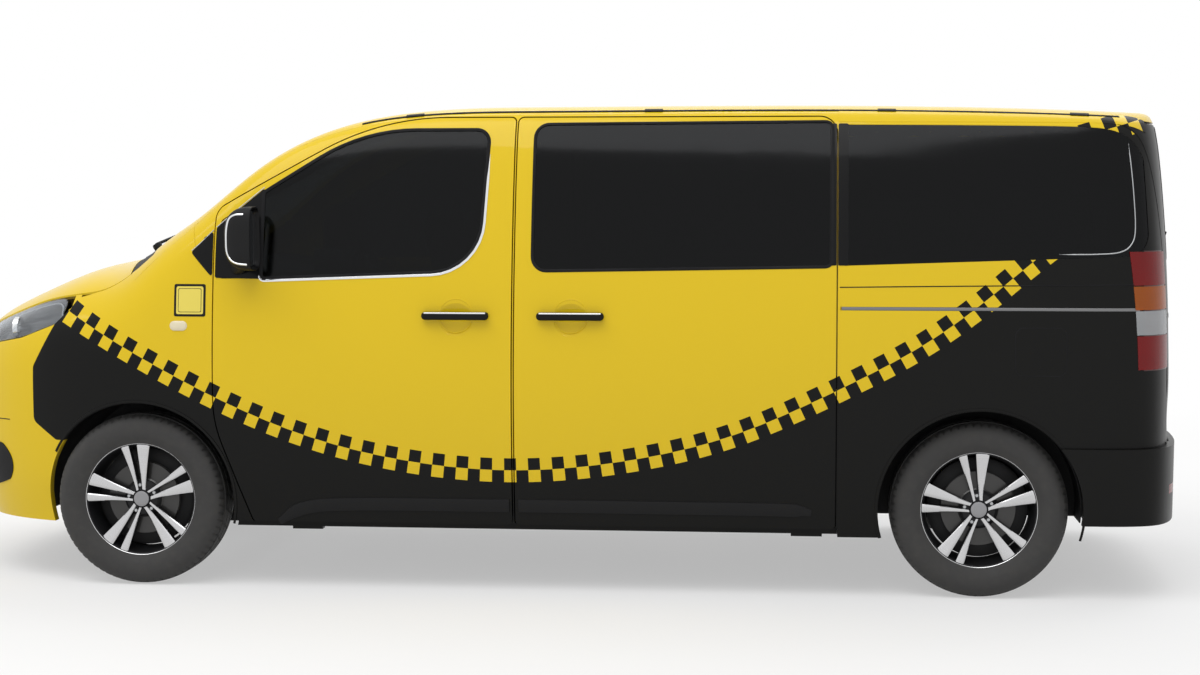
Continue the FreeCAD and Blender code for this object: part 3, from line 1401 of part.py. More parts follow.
def make_floor():
    """Floor, rails, bulkhead, inner wings, front panel and tail panel as one welding."""
    gap = V["seat_gap"]
    top, depth = V["floor_top"], V["floor_depth"]
    x0 = X_FRONT_AXLE + V["bulkhead_x"]
    x1 = tail_x(0.0, top) - V["tailgate_depth"] - gap
    half = half_width(top - depth) - FRAME_INSET - gap
    floor = block(x0, x1, -half, half, top - depth, top)
    well = V["arch_diameter"] * 0.5 + V["liner_wall"] + gap
    inner_y = V["rear_track"] * 0.5 - V["tyre_width"] * 0.5 - V["shut_gap"] * 4.0
    for side in (-1.0, 1.0):
        y = sorted((side * inner_y, side * HALF_WIDTH))
        floor = floor.cut(block(X_REAR_AXLE - well, X_REAR_AXLE + well, y[0], y[1], 0.0, top + depth))
    wall = V["bulkhead_depth"]
    parts = [block(x0, x0 + wall, -half, half, top - depth, V["bulkhead_top"])]
    rail_y, rail, tall = V["rail_y"], V["rail_width"] * 0.5, V["rail_height"]
    nose = X_NOSE + V["bumper_depth"] + gap
    tower = V["tower_wall"]
    tower_top = V["strut_top_z"] + V["strut_mount_depth"] * 0.6
    inner = V["well_half_width"] - tower
    for side in (-1.0, 1.0):
        y = sorted((side * (rail_y - rail), side * (rail_y + rail)))
        parts.append(block(station(-0.86), x0 + wall, y[0], y[1], FRONT_RAIL_LOW, FRONT_RAIL_LOW + tall))
        parts.append(block(x0, x1, y[0], y[1], top - depth - tall, top - depth))
        y = sorted((side * inner, side * V["well_half_width"]))
        parts.append(block(station(-0.5), x0 + wall, y[0], y[1], FRONT_RAIL_LOW, tower_top))
        y = sorted((side * inner, side * (V["strut_top_y"] + V["strut_mount_diameter"])))
        reach = V["tower_half_length"]
        parts.append(block(X_FRONT_AXLE - reach, X_FRONT_AXLE + reach, y[0], y[1],
                           tower_top - 2.0 * tower, tower_top))
    beam = nose_shell(V["bumper_depth"] + gap, V["bumper_depth"] * 1.5)
    beam = beam.common(block(X_NOSE, station(-0.4), -1.3 * rail_y, 1.3 * rail_y,
                             FRONT_RAIL_LOW, FRONT_RAIL_LOW + tall))
    parts.append(beam)
    panel = station(-0.8)
    parts.append(block(panel, panel + tower, -rail_y - rail, rail_y + rail, FRONT_RAIL_LOW,
                       lid_point(panel, 0.0).z - V["bonnet_depth"] * 3.0))
    for side in (-1.0, 1.0):
        parts.append(Part.makeCylinder(tower, V["overrun"],
                                       Vector(panel + tower * 0.5, side * rail_y * 0.6, V["waist_height"])))
    parts.append(block(x1 - wall, x1, -inner_y, inner_y, top - depth, V["tail_bumper_top"] + 2.0 * wall))
    cross = V["rail_width"]
    for share in (0.3, 0.5, 0.7):
        x = station(share)
        parts.append(block(x, x + cross, -half, half, top - depth - cross, top - depth))
    floor = floor.multiFuse(parts)
    lid = lid_slab(BONNET_FACE, -V["overrun"], V["overrun"] + V["bonnet_depth"] + gap)
    floor = floor.cut(lid)
    gate = tail_slab(V["tailgate_width"] * 0.5, V["tail_bumper_top"] + 1.6 * V["shut_gap"], -V["overrun"],
                     V["overrun"] + V["tailgate_depth"] + gap)
    floor = floor.cut(gate).cut(tail_bumper_shell(gap))
    for side in (1.0, -1.0):
        top_mount = Vector(STRUT_TOP.x, STRUT_TOP.y * side, STRUT_TOP.z)
        line = Vector(PIN_LINE.x, PIN_LINE.y * side, PIN_LINE.z)
        hole = V["strut_mount_diameter"] + 2.0 * gap
        reach = line * (V["overrun"] * 0.1)
        floor = floor.cut(bar(top_mount - reach, top_mount + reach, hole))
    return floor


def make_liners():
    """Wheel-arch liners: half rings over each wheel, open at the front struts."""
    outer = V["arch_diameter"] * 0.5 + V["liner_wall"]
    gap = V["seat_gap"]
    low = V["tail_bumper_bottom"]
    rings = []
    rear_y = V["rear_track"] * 0.5 - V["tyre_width"] * 0.5 - V["shut_gap"] * 4.0 + gap
    for x, inner_y, depth in ((X_FRONT_AXLE, V["well_half_width"] + gap, V["wing_depth"]),
                              (X_REAR_AXLE, rear_y, V["quarter_depth"])):
        outer_y = half_width(Z_AXLE) - depth - V["shut_gap"]
        foot = Vector(x, -outer_y, Z_AXLE)
        ring = Part.makeCylinder(outer, outer_y - inner_y, foot, Vector(0, 1, 0))
        ring = ring.cut(Part.makeCylinder(outer - V["liner_wall"], outer_y, foot, Vector(0, 1, 0)))
        ring = ring.cut(block(x - outer, x + outer, -HALF_WIDTH, 0.0, -V["overrun"], low))
        if x == X_FRONT_AXLE:
            reach = V["strut_mount_diameter"]
            room = block(x - reach, x + reach, -V["strut_foot_y"] - reach, 0.0, Z_AXLE, V["body_height"])
            ring = ring.cut(room)
        rings.append(ring)
    wall = Part.makeCylinder(outer, V["liner_wall"], Vector(X_REAR_AXLE, -rear_y - V["liner_wall"], Z_AXLE),
                             Vector(0, 1, 0))
    wall = wall.cut(block(X_REAR_AXLE - outer, X_REAR_AXLE + outer, -HALF_WIDTH, 0.0, -V["overrun"], low))
    hub_hole = 2.4 * V["spindle_diameter"] + 4.0 * V["shut_gap"]
    wall = wall.cut(bar(Vector(X_REAR_AXLE, -HALF_WIDTH, Z_AXLE), Vector(X_REAR_AXLE, 0, Z_AXLE), hub_hole))
    rings[1] = rings[1].fuse(wall)
    reach = V["overrun"] / 8.0
    rings[0] = rings[0].cut(flank_slab(-reach, reach + V["wing_depth"] + gap))
    rings[0] = rings[0].cut(nose_shell(-reach, reach + V["bumper_depth"] + gap))
    rings[0] = max(rings[0].Solids, key=lambda solid: solid.Volume)
    return Part.makeCompound([pair(ring) for ring in rings])


def make_rear_axle():
    """Twist beam with trailing arms, spindles, springs and dampers."""
    arm_y = V["rear_track"] * 0.5 - V["tyre_width"] * 0.5 - V["trailing_arm_width"] * 1.4
    pivot_x = X_REAR_AXLE - V["trailing_arm_length"]
    pivot = Vector(pivot_x, -arm_y, Z_AXLE)
    hub = Vector(X_REAR_AXLE, -arm_y, Z_AXLE)
    centre_y = -V["rear_track"] / 2.0
    arm = bar(pivot, hub, V["trailing_arm_width"])
    side = Vector(0, V["trailing_arm_width"], 0)
    sleeve = bar(pivot - side, pivot + side, V["axle_tube_diameter"])
    housing = bar(hub, Vector(X_REAR_AXLE, centre_y, Z_AXLE), 2.4 * V["spindle_diameter"])
    tip = centre_y - V["mount_offset"] + V["shut_gap"]
    spindle = bar(hub, Vector(X_REAR_AXLE, tip, Z_AXLE), V["spindle_diameter"])
    floor_low = V["floor_top"] - V["floor_depth"] - V["seat_gap"]
    spring_x = X_REAR_AXLE - V["axle_tube_diameter"]
    spring = bar(Vector(spring_x, -arm_y + V["trailing_arm_width"], Z_AXLE - V["trailing_arm_width"] * 0.5),
                 Vector(spring_x, -arm_y + V["trailing_arm_width"], floor_low), V["axle_tube_diameter"])
    damper = bar(Vector(X_REAR_AXLE + V["axle_tube_diameter"] * 0.5, -arm_y, Z_AXLE),
                 Vector(X_REAR_AXLE + V["axle_tube_diameter"] * 0.9, -arm_y, floor_low),
                 V["strut_diameter"])
    reach = Vector(X_REAR_AXLE + V["axle_tube_diameter"], -arm_y, Z_AXLE)
    link = bar(hub, reach, V["trailing_arm_width"])
    beam_x = X_REAR_AXLE - V["trailing_arm_length"] * 0.5
    beam_z = Z_AXLE - V["axle_tube_diameter"] * 0.5
    beam = bar(Vector(beam_x, -arm_y, beam_z), Vector(beam_x, arm_y, beam_z), V["axle_tube_diameter"])
    left = arm.multiFuse([sleeve, housing, spindle, spring, damper, link])
    left = left.cut(block(pivot_x, X_TAIL, -HALF_WIDTH, HALF_WIDTH, floor_low, V["body_height"]))
    return left.multiFuse([mirrored(left), beam])


def make_exhaust():
    """Exhaust from the engine's back to the tail, over the twist beam, with its silencer."""
    y = V["rail_y"] * 0.45
    radius = V["exhaust_diameter"] * 0.5
    low = V["floor_top"] - V["floor_depth"] - V["rail_width"] - radius - V["seat_gap"]
    high = V["floor_top"] - V["floor_depth"] - radius - V["seat_gap"]
    out = V["tail_bumper_bottom"]
    engine_back = station(-0.07) + V["seat_gap"]
    route = [(engine_back, high), (station(0.1), high), (station(0.17), low), (station(0.8), low),
             (station(0.87), high), (station(1.3), high), (station(1.6), out), (station(1.93), out)]
    points = [Vector(x, y, z) for x, z in route]
    parts = [bar(one, two, V["exhaust_diameter"]) for one, two in zip(points, points[1:])]
    parts += [Part.makeSphere(radius, point) for point in points[1:-1]]
    start = Vector(station(0.53), y, low)
    parts.append(bar(start, start + Vector(V["silencer_length"], 0, 0), V["silencer_diameter"]))
    return parts[0].multiFuse(parts[1:])


def seat_section(recline):
    """Side view of a seat: pedestal, cushion, back and headrest."""
    cushion = V["seat_base_height"]
    depth, thick = V["cushion_depth"], V["cushion_thickness"]
    lean = recline * V["back_height"]
    back, tall = V["back_thickness"], V["back_height"]
    head = V["headrest_height"]
    return ((-0.85 * depth, 0.0), (-0.85 * depth, cushion - thick), (-depth, cushion - thick * 0.9),
            (-depth, cushion - thick * 0.1), (-depth * 0.9, cushion), (0.0, cushion - thick * 0.25),
            (lean, cushion + tall), (lean * 0.9, cushion + tall + head * 0.25),
            (lean * 0.95, cushion + tall + head), (lean + back * 0.7, cushion + tall + head),
            (lean + back * 0.8, cushion + tall + head * 0.2), (lean + back, cushion + tall),
            (back, cushion - thick), (back * 0.2, cushion - thick), (0.0, 0.0))


def make_seat(width, hip_x, y):
    """One seat as a single upholstered form on its pedestal."""
    low = V["floor_top"] + V["seat_gap"]
    corner = V["back_thickness"] * 0.25
    points = [(X_FRONT_AXLE + hip_x + x, low + z, corner if z > 0.0 else 0.0) for x, z in seat_section(0.22)]
    wire = outline_wire(points, lambda x, z: Vector(x, y - width / 2.0, z))
    return Part.Face(wire).extrude(Vector(0, width, 0))


def seat_row(hip_x, width, places):
    """Seats of one row."""
    return Part.makeCompound([make_seat(width, hip_x, y) for y in places])


def make_dash():
    """Dashboard from the windscreen's foot back over the knees."""
    x0 = X_FRONT_AXLE
    bulk = V["bulkhead_x"] + V["bulkhead_depth"] + V["seat_gap"]
    top, low, deep = V["dash_height"], V["dash_bottom"], V["dash_depth"]
    step = V["bulkhead_depth"]
    outline = [(x0 + bulk, low), (x0 + bulk, V["bulkhead_top"] + step), (x0 + bulk * 0.3, top + step),
               (x0 + bulk * 0.3, top + 6.0 * step), (x0 + bulk + deep * 0.55, top + 3.0 * step),
               (x0 + bulk + deep * 0.92, top), (x0 + bulk + deep, top - 5.0 * step),
               (x0 + bulk + deep * 0.8, low)]
    half = flank(x0 + bulk * 0.3, top + 6.0 * step) - FRAME_INSET - V["shut_gap"]
    points = [(x, z, step) for x, z in outline]
    wire = outline_wire(points, lambda x, z: Vector(x, -half, z))
    return Part.Face(wire).extrude(Vector(0, 2.0 * half, 0))


def make_steering_wheel():
    """Rim, spokes, boss and column, square to the tilted column."""
    radius = V["steering_wheel_diameter"] * 0.5
    grip = V["steering_grip_diameter"] * 0.5
    x = X_FRONT_AXLE + V["bulkhead_x"] + V["dash_depth"] + radius * 0.5
    rim = Part.makeTorus(radius - grip, grip)
    boss = Part.makeCylinder(radius * 0.38, grip * 3.0, Vector(0, 0, -grip * 2.4))
    parts = [boss, Part.makeCylinder(grip * 1.6, radius * 1.6, Vector(0, 0, -radius * 1.6 - grip))]
    for turn in (0.0, 180.0, 270.0):
        spoke = block(0.0, radius - grip, -grip * 0.9, grip * 0.9, -grip, grip * 0.4)
        spoke.rotate(Vector(0, 0, 0), Vector(0, 0, 1), turn + 90.0)
        parts.append(spoke)
    wheel = rim.multiFuse(parts)
    wheel.rotate(Vector(0, 0, 0), Vector(0, 1, 0), 90.0 - V["steering_column_tilt"])
    wheel.translate(Vector(x, -V["driver_y"], V["steering_wheel_height"]))
    return wheel


def make_mirror():
    """Left mirror: sail panel in the door's window, arm and housing."""
    reach, wide, tall, deep = V["mirror_reach"], V["mirror_width"], V["mirror_height"], V["mirror_depth"]
    x = X_FRONT_AXLE + V["mirror_x"]
    low = V["mirror_bottom"]
    corner = V["mirror_corner"]
    sections = []
    for step, share in ((0.5, 0.94), (0.3, 1.0), (-0.15, 0.94), (-0.42, 0.72), (-0.5, 0.5)):
        half_y, half_z = wide * 0.5 * share, tall * 0.5 * share
        y = -reach + wide * 0.5
        z = low + tall * 0.5
        points = [(y - half_y, z - half_z, corner * share), (y + half_y, z - half_z, corner * share),
                  (y + half_y, z + half_z, corner * share), (y - half_y, z + half_z, corner * share)]
        place = x + step * deep
        sections.append(outline_wire(points, lambda y, z, place=place: Vector(place, y, z)))
    housing = Part.makeLoft(sections, True, False)
    inner = flank(x, low + corner) - V["door_skin"] * 0.2
    arm = Part.makeBox(deep * 0.45, reach - wide * 0.6 - inner, corner * 1.2,
                       Vector(x - deep * 0.2, -reach + wide * 0.6, low + corner * 0.2))
    arm = arm.common(block(x - deep, x + deep, -reach, -inner + V["door_skin"], 0.0, V["body_height"]))
    return housing, arm


keep("front_subframe", make_subframe())
knuckle = make_knuckle()
keep("steering_knuckle_left", knuckle)
keep("steering_knuckle_right", mirrored(knuckle))
floor = make_floor()
keep("floor_pan", floor)
keep("wheel_arch_liners", make_liners())
keep("rear_axle", make_rear_axle())
engine = block(station(-0.66), station(-0.07), -V["engine_width"] * 0.5, V["engine_width"] * 0.5,
               SUBFRAME_TOP + V["seat_gap"], SUBFRAME_TOP + V["engine_height"])
keep("engine_block", engine)
bench = (-V["bench_seat_width"] - V["seat_side_gap"], 0.0, V["bench_seat_width"] + V["seat_side_gap"])
keep("front_seats", seat_row(V["first_seat_x"], V["single_seat_width"], (-V["driver_y"], V["driver_y"])))
keep("second_row_seats", seat_row(V["first_seat_x"] + V["seat_pitch"], V["bench_seat_width"], bench))
keep("third_row_seats", seat_row(V["first_seat_x"] + 2.0 * V["seat_pitch"], V["bench_seat_width"], bench))
dash = make_dash()
wheel = make_steering_wheel()
keep("dashboard", dash)
keep("steering_wheel", wheel.cut(dash))
housing, arm = make_mirror()
mirror = front_panes[1].fuse(arm).fuse(housing)
keep("mirror_left", mirror)
keep("mirror_right", mirrored(mirror))
keep("exhaust", make_exhaust())
tank_side = -V["rail_y"] + V["rail_width"] * 0.6
tank_top = V["floor_top"] - V["floor_depth"] - V["rail_width"] - V["seat_gap"]
tank = block(station(0.42), station(0.42) + V["tank_length"], tank_side, tank_side + V["tank_width"],
             tank_top - V["tank_height"], tank_top)
keep("fuel_tank", tank)
quarterlight = flank_slab(V["glass_inset"], V["glass_depth"]).common(side_prism(QUARTERLIGHT_SHARES))
keep("fixed_side_glass", Part.makeCompound([pair(quarter_pane), pair(sliding_panes[0]), pair(quarterlight)]))
for wheel in wheel_sides():
    make_wheel(*wheel)

doc.recompute()
for item in doc.Objects:
    if "Invalid" in item.State or "Error" in item.State:
        raise RuntimeError("object %s failed: %s" % (item.Label, item.State))
for part in SUB_PARTS:
    if part.Shape.isNull() or not part.Shape.isValid() or not part.Shape.Solids:
        raise RuntimeError("sub-part %s has no valid solid" % part.Label)
os.makedirs("parts", exist_ok=True)
for part in SUB_PARTS:
    part.Shape.exportStep("parts/%s.step" % part.Label)
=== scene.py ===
"""Visual model of a passenger van taxi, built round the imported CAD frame."""

import json
import logging
import math
from dataclasses import dataclass, field
from enum import Enum
from typing import Callable, Sequence

import bmesh
import bpy
import numpy as np
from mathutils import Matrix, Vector

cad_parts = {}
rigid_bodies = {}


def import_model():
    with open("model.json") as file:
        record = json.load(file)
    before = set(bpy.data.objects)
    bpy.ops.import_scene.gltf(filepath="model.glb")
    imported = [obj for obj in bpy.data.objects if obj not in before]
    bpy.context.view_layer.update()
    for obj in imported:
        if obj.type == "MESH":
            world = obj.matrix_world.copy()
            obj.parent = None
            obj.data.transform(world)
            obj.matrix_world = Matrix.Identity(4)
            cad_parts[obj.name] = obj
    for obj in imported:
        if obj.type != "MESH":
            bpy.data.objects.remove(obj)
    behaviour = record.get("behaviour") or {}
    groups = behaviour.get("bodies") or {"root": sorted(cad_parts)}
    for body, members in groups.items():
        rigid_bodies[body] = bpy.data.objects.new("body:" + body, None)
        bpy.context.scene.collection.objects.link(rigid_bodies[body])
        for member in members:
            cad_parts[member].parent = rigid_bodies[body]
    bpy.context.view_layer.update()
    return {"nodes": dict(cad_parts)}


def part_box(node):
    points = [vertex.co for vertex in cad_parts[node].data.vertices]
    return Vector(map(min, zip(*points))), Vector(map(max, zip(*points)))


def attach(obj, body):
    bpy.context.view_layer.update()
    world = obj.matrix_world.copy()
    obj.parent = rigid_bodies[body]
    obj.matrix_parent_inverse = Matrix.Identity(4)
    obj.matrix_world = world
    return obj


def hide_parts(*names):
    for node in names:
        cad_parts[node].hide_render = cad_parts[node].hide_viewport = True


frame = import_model()
LOG = logging.getLogger("taxi")
Array = np.ndarray
Profile = tuple[tuple[float, float], ...]
Point = Sequence[float]
Corners = Sequence[Sequence[float]]
Socket = bpy.types.NodeSocket
Piece = bpy.types.Object
Colour = tuple[float, float, float]

# Places of the vehicle, in metres
FRONT_AXLE_X = -1.5985
REAR_AXLE_X = 1.6765
AXLE_Z = 0.3395
FRONT_HALF_TRACK = 0.8135
REAR_HALF_TRACK = 0.8


class Side(Enum):
    """Side of the vehicle, as the sign of Y."""

    LEFT = -1.0
    RIGHT = 1.0

    @property
    def word(self) -> str:
        """Name of the side as it stands in node and body names."""
        return "left" if self is Side.LEFT else "right"

    def flip(self, points: Array) -> Array:
        """Points of the right side moved to this one, or back."""
        return points * np.array([1.0, self.value, 1.0])


BOTH_SIDES = (Side.LEFT, Side.RIGHT)


class Body(Enum):
    """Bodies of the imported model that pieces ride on."""

    MAIN = "body"
    TAILGATE = "tailgate_body"

    @staticmethod
    def door(side: Side) -> str:
        """Body of one front door."""
        return f"front_door_{side.word}_body"

    @staticmethod
    def knuckle(side: Side) -> str:
        """Body of one steering knuckle."""
        return f"knuckle_{side.word}"

    @staticmethod
    def wheel(end: str, side: Side) -> str:
        """Body of one wheel."""
        return f"{end}_wheel_body_{side.word}"


# Body surface, by the same formula as the solids

@dataclass(frozen=True)
class BodyForm:
    """Outer surface of the body as an implicit formula of x, y and z.

    The section at x is a rounded box: its half width shrinks with height, its top follows
    the centre line, and plan curves of a high power close the nose and the tail.
    """

    wheelbase: float = 3.275
    front_overhang: float = 0.881
    rear_overhang: float = 0.803
    half: float = 0.96
    body_height: float = 1.905
    sill: float = 0.232
    low: float = 0.6
    waist: float = 0.8
    tumblehome: float = 0.185
    tuck_under: float = 0.045
    roof_crown: float = 0.05
    nose_taper: float = 1.381
    tail_taper: float = 1.078
    nose_tuck: float = 0.06
    tail_lean: float = 0.06
    bumper_bulge: float = 0.038
    nose_rounding: float = 5.5
    cabin_rounding: float = 22.0
    nose_power: float = 3.4
    tail_power: float = 14.0
    centre_stations: tuple[float, ...] = (
        -1.0, -0.795, -0.595, -0.34, -0.061, 0.0183, 0.0629, 0.1337, 0.2287, 0.3472, 0.4776,
        0.6107, 0.8244, 0.9771, 1.529, 2.0)
    centre_heights: tuple[float, ...] = (
        0.5696, 0.5932, 0.6194, 0.6562, 0.6903, 0.7297, 0.7795, 0.8751, 0.9585, 0.9937, 0.999,
        1.0, 1.0, 0.9963, 0.9879, 0.9774)

    @property
    def nose(self) -> float:
        """Front end of the vehicle."""
        return FRONT_AXLE_X - self.front_overhang

    @property
    def tail(self) -> float:
        """Rear end of the vehicle."""
        return REAR_AXLE_X + self.rear_overhang

    def station(self, share: float | Array) -> Array:
        """Place along the body for a share of its length.

        Args:
            share: -1 at the front end, 0 and 1 at the axles, 2 at the rear end.

        Returns:
            Place along x.
        """
        share = np.asarray(share, float)
        front = FRONT_AXLE_X + share * self.front_overhang
        rear = REAR_AXLE_X + (share - 1.0) * self.rear_overhang
        middle = FRONT_AXLE_X + share * self.wheelbase
        return np.where(share < 0.0, front, np.where(share > 1.0, rear, middle))

    def centre_height(self, x: Array) -> Array:
        """Height of the centre line at x, a natural cubic spline through its stations."""
        xs = self.station(np.array(self.centre_stations))
        return natural_spline(xs, np.array(self.centre_heights) * self.body_height, np.clip(x, xs[0], xs[-1]))

    def rounding(self, x: Array) -> Array:
        """Power of the section's upper corners, which grows smoothly behind the nose.

        Args:
            x: place along the body.

        Returns:
            Power of the superellipse.
        """
        start, end = self.station(-0.23), self.station(0.21)
        t = np.clip((x - start) / (end - start), 0.0, 1.0)
        return self.nose_rounding + (self.cabin_rounding - self.nose_rounding) * t * t * (3 - 2 * t)

    def half_width(self, z: Array) -> Array:
        """Half width of the flanks, widest at the waist.

        Args:
            z: height.

        Returns:
            Distance from the middle plane.
        """
        below = np.maximum(0.0, self.waist - z) / (self.waist - self.sill)
        above = np.maximum(0.0, z - self.waist) / (self.body_height - self.waist)
        return self.half - self.tuck_under * below ** 2 - self.tumblehome * above ** 1.9

    def end_loss(self, x: Array, z: Array) -> Array:
        """Part of the section taken by the plan curves of nose and tail.

        Args:
            x: place along the body.
            z: height.

        Returns:
            Zero along the middle of the body, one where it ends.
        """
        nose_start = self.nose + self.nose_taper
        tail_start = self.tail - self.tail_taper
        tuck = (np.maximum(0.0, self.low - z) / (self.low - self.sill)) ** 2
        nose_end = self.nose + self.nose_tuck * tuck
        rise = np.maximum(0.0, z - self.waist) / (self.body_height - self.waist)
        tail_end = self.tail - self.bumper_bulge - self.tail_lean * rise ** 2
        nose = np.maximum(0.0, (nose_start - x) / (nose_start - nose_end))
        tail = np.maximum(0.0, (x - tail_start) / (tail_end - tail_start))
        return nose ** self.nose_power + tail ** self.tail_power

    def corner_share(self, x: Array, y: Array, z: Array) -> Array:
        """Share of the width that the rounded section keeps.

        Args:
            x: place along the body.
            y: place across it.
            z: height.

        Returns:
            One below the corner, falling to zero at the top.
        """
        top = self.centre_height(x) - self.roof_crown * (y / self.half) ** 2
        rise = np.maximum(0.0, (z - self.low) / (top - self.low))
        power = self.rounding(x)
        return np.maximum(0.0, 1.0 - np.minimum(rise, 2.0) ** power) ** (1.0 / power)

    def outside(self, x: Array, y: Array, z: Array) -> Array:
        """Positive outside the surface and negative inside it."""
        share = (np.abs(y) / self.half_width(z)) ** 3
        return share + self.end_loss(x, z) - self.corner_share(x, y, z) ** 3

    def flank(self, x: Array, z: Array) -> Array:
        """Distance of the flank from the middle plane, by repeated substitution.

        Args:
            x: place along the body.
            z: height.

        Returns:
            Distance for each place.
        """
        x, z = np.broadcast_arrays(np.asarray(x, float), np.asarray(z, float))
        y = np.full(x.shape, 0.9 * self.half)
        for _ in range(6):
            share = self.corner_share(x, y, z) ** 3 - self.end_loss(x, z)
            y = self.half_width(z) * np.maximum(0.0, share) ** (1.0 / 3.0)
        return y

    def top(self, x: Array, q: Array) -> Array:
        """Points of the top surface, by repeated substitution.

        Args:
            x: place along the body.
            q: share of the half width there.

        Returns:
            Points in an array whose last axis is x, y, z.
        """
        x, q = np.broadcast_arrays(np.asarray(x, float), np.asarray(q, float))
        z = self.centre_height(x)
        y = np.zeros(x.shape)
        power = self.rounding(x)
        for _ in range(12):
            loss = np.minimum(1.0, self.end_loss(x, z))
            share = (np.abs(q) ** 3 * (1.0 - loss) + loss) ** (1.0 / 3.0)
            rise = np.maximum(0.0, 1.0 - share ** power) ** (1.0 / power)
            y = q * self.half_width(z) * (1.0 - loss) ** (1.0 / 3.0)
            top = self.centre_height(x) - self.roof_crown * (y / self.half) ** 2
            z = self.low + rise * (top - self.low)
        return xyz(x, y, z)

    def cast(self, origin: Array, ray: Array, reach: float) -> Array:
        """Points where rays leave the surface, by halving.

        Args:
            origin: points inside the surface.
            ray: unit directions.
            reach: distance at which every ray is outside.

        Returns:
            Points of the surface.
        """
        origin, ray = np.broadcast_arrays(origin, ray)
        near, far = np.zeros(origin[..., :1].shape), np.full(origin[..., :1].shape, reach)
        for _ in range(40):
            middle = (near + far) / 2.0
            out = self.outside(*np.moveaxis(origin + ray * middle, -1, 0))[..., None] > 0.0
            near, far = np.where(out, near, middle), np.where(out, middle, far)
        return origin + ray * near

    def on_end(self, y: Array, z: Array, towards: float) -> Array:
        """Points of the front face (towards -1) or the rear face (towards 1) at y and z."""
        return self.cast(xyz(self.station(0.0 if towards < 0 else 1.0), y, z), xyz(towards, 0.0, 0.0), 1.3)

    def normal(self, points: Array) -> Array:
        """Outward unit normals, from small differences.

        Args:
            points: points of the surface.

        Returns:
            Unit vectors.
        """
        step = 1e-4
        parts = []
        for axis in range(3):
            shift = np.zeros(3)
            shift[axis] = step
            one, two = points + shift, points - shift
            parts.append(self.outside(*np.moveaxis(one, -1, 0)) - self.outside(*np.moveaxis(two, -1, 0)))
        return unit(np.stack(parts, axis=-1))

    def on_flank(self, x: Array, z: Array, side: Side) -> Array:
        """Points of one flank at x and z."""
        return xyz(x, side.value * self.flank(x, z), z)


def natural_spline(xs: Array, ys: Array, at: Array) -> Array:
    """Natural cubic spline through points, solved as one linear system.

    Args:
        xs: rising places of the points.
        ys: values at the points.
        at: places where the spline is wanted.

    Returns:
        Values of the spline.
    """
    count = len(xs)
    step = np.diff(xs)
    rise = np.diff(ys) / step
    system = np.eye(count)
    load = np.zeros(count)
    inner = np.arange(1, count - 1)
    system[inner, inner - 1] = step[:-1]
    system[inner, inner] = 2.0 * (step[:-1] + step[1:])
    system[inner, inner + 1] = step[1:]
    load[inner] = 3.0 * (rise[1:] - rise[:-1])
    bend = np.linalg.solve(system, load)
    i = np.clip(np.searchsorted(xs, at, side="right") - 1, 0, count - 2)
    t = at - xs[i]
    slope = rise[i] - step[i] * (bend[i + 1] + 2.0 * bend[i]) / 3.0
    twist = (bend[i + 1] - bend[i]) / (3.0 * step[i])
    return ys[i] + t * (slope + t * (bend[i] + t * twist))


def xyz(x: Array | float, y: Array | float, z: Array | float) -> Array:
    """Points from three coordinates that are spread over each other."""
    return np.stack(np.broadcast_arrays(x, y, z), axis=-1)


def circle(count: int) -> Array:
    """Angles evenly spaced over one turn, without its end."""
    return np.linspace(0.0, 2.0 * np.pi, count, endpoint=False)


def unit(vectors: Array) -> Array:
    """Vectors scaled to length one."""
    return vectors / np.maximum(np.linalg.norm(vectors, axis=-1, keepdims=True), 1e-12)


def evenly(line: Array, count: int, endpoint: bool = True) -> Array:
    """Points evenly spaced along a line of many short pieces.

    Args:
        line: points of the line.
        count: how many points come back.
        endpoint: whether the line's end is one of them.

    Returns:
        Array of points.
    """
    run = np.concatenate([[0.0], np.cumsum(np.linalg.norm(np.diff(line, axis=0), axis=1))])
    at = np.linspace(0.0, run[-1], count, endpoint=endpoint)
    return np.stack([np.interp(at, run, values) for values in line.T], axis=-1)


def smooth_path(points: Corners, count: int) -> Array:
    """Evenly spaced points on a Catmull-Rom curve through control points.

    Args:
        points: control points of two or three numbers.
        count: how many points come back.

    Returns:
        Array of points.
    """
    fixed = np.asarray(points, float)
    fixed = np.vstack([2 * fixed[0] - fixed[1], fixed, 2 * fixed[-1] - fixed[-2]])
    spans = len(fixed) - 3
    u = np.linspace(0.0, spans, spans * 24 + 1)
    i = np.minimum(u.astype(int), spans - 1)
    t = (u - i)[:, None]
    a, b, c, d = fixed[i], fixed[i + 1], fixed[i + 2], fixed[i + 3]
    line = 0.5 * (2 * b + (c - a) * t + (2 * a - 5 * b + 4 * c - d) * t ** 2
                  + (3 * b - a - 3 * c + d) * t ** 3)
    return evenly(line, count)


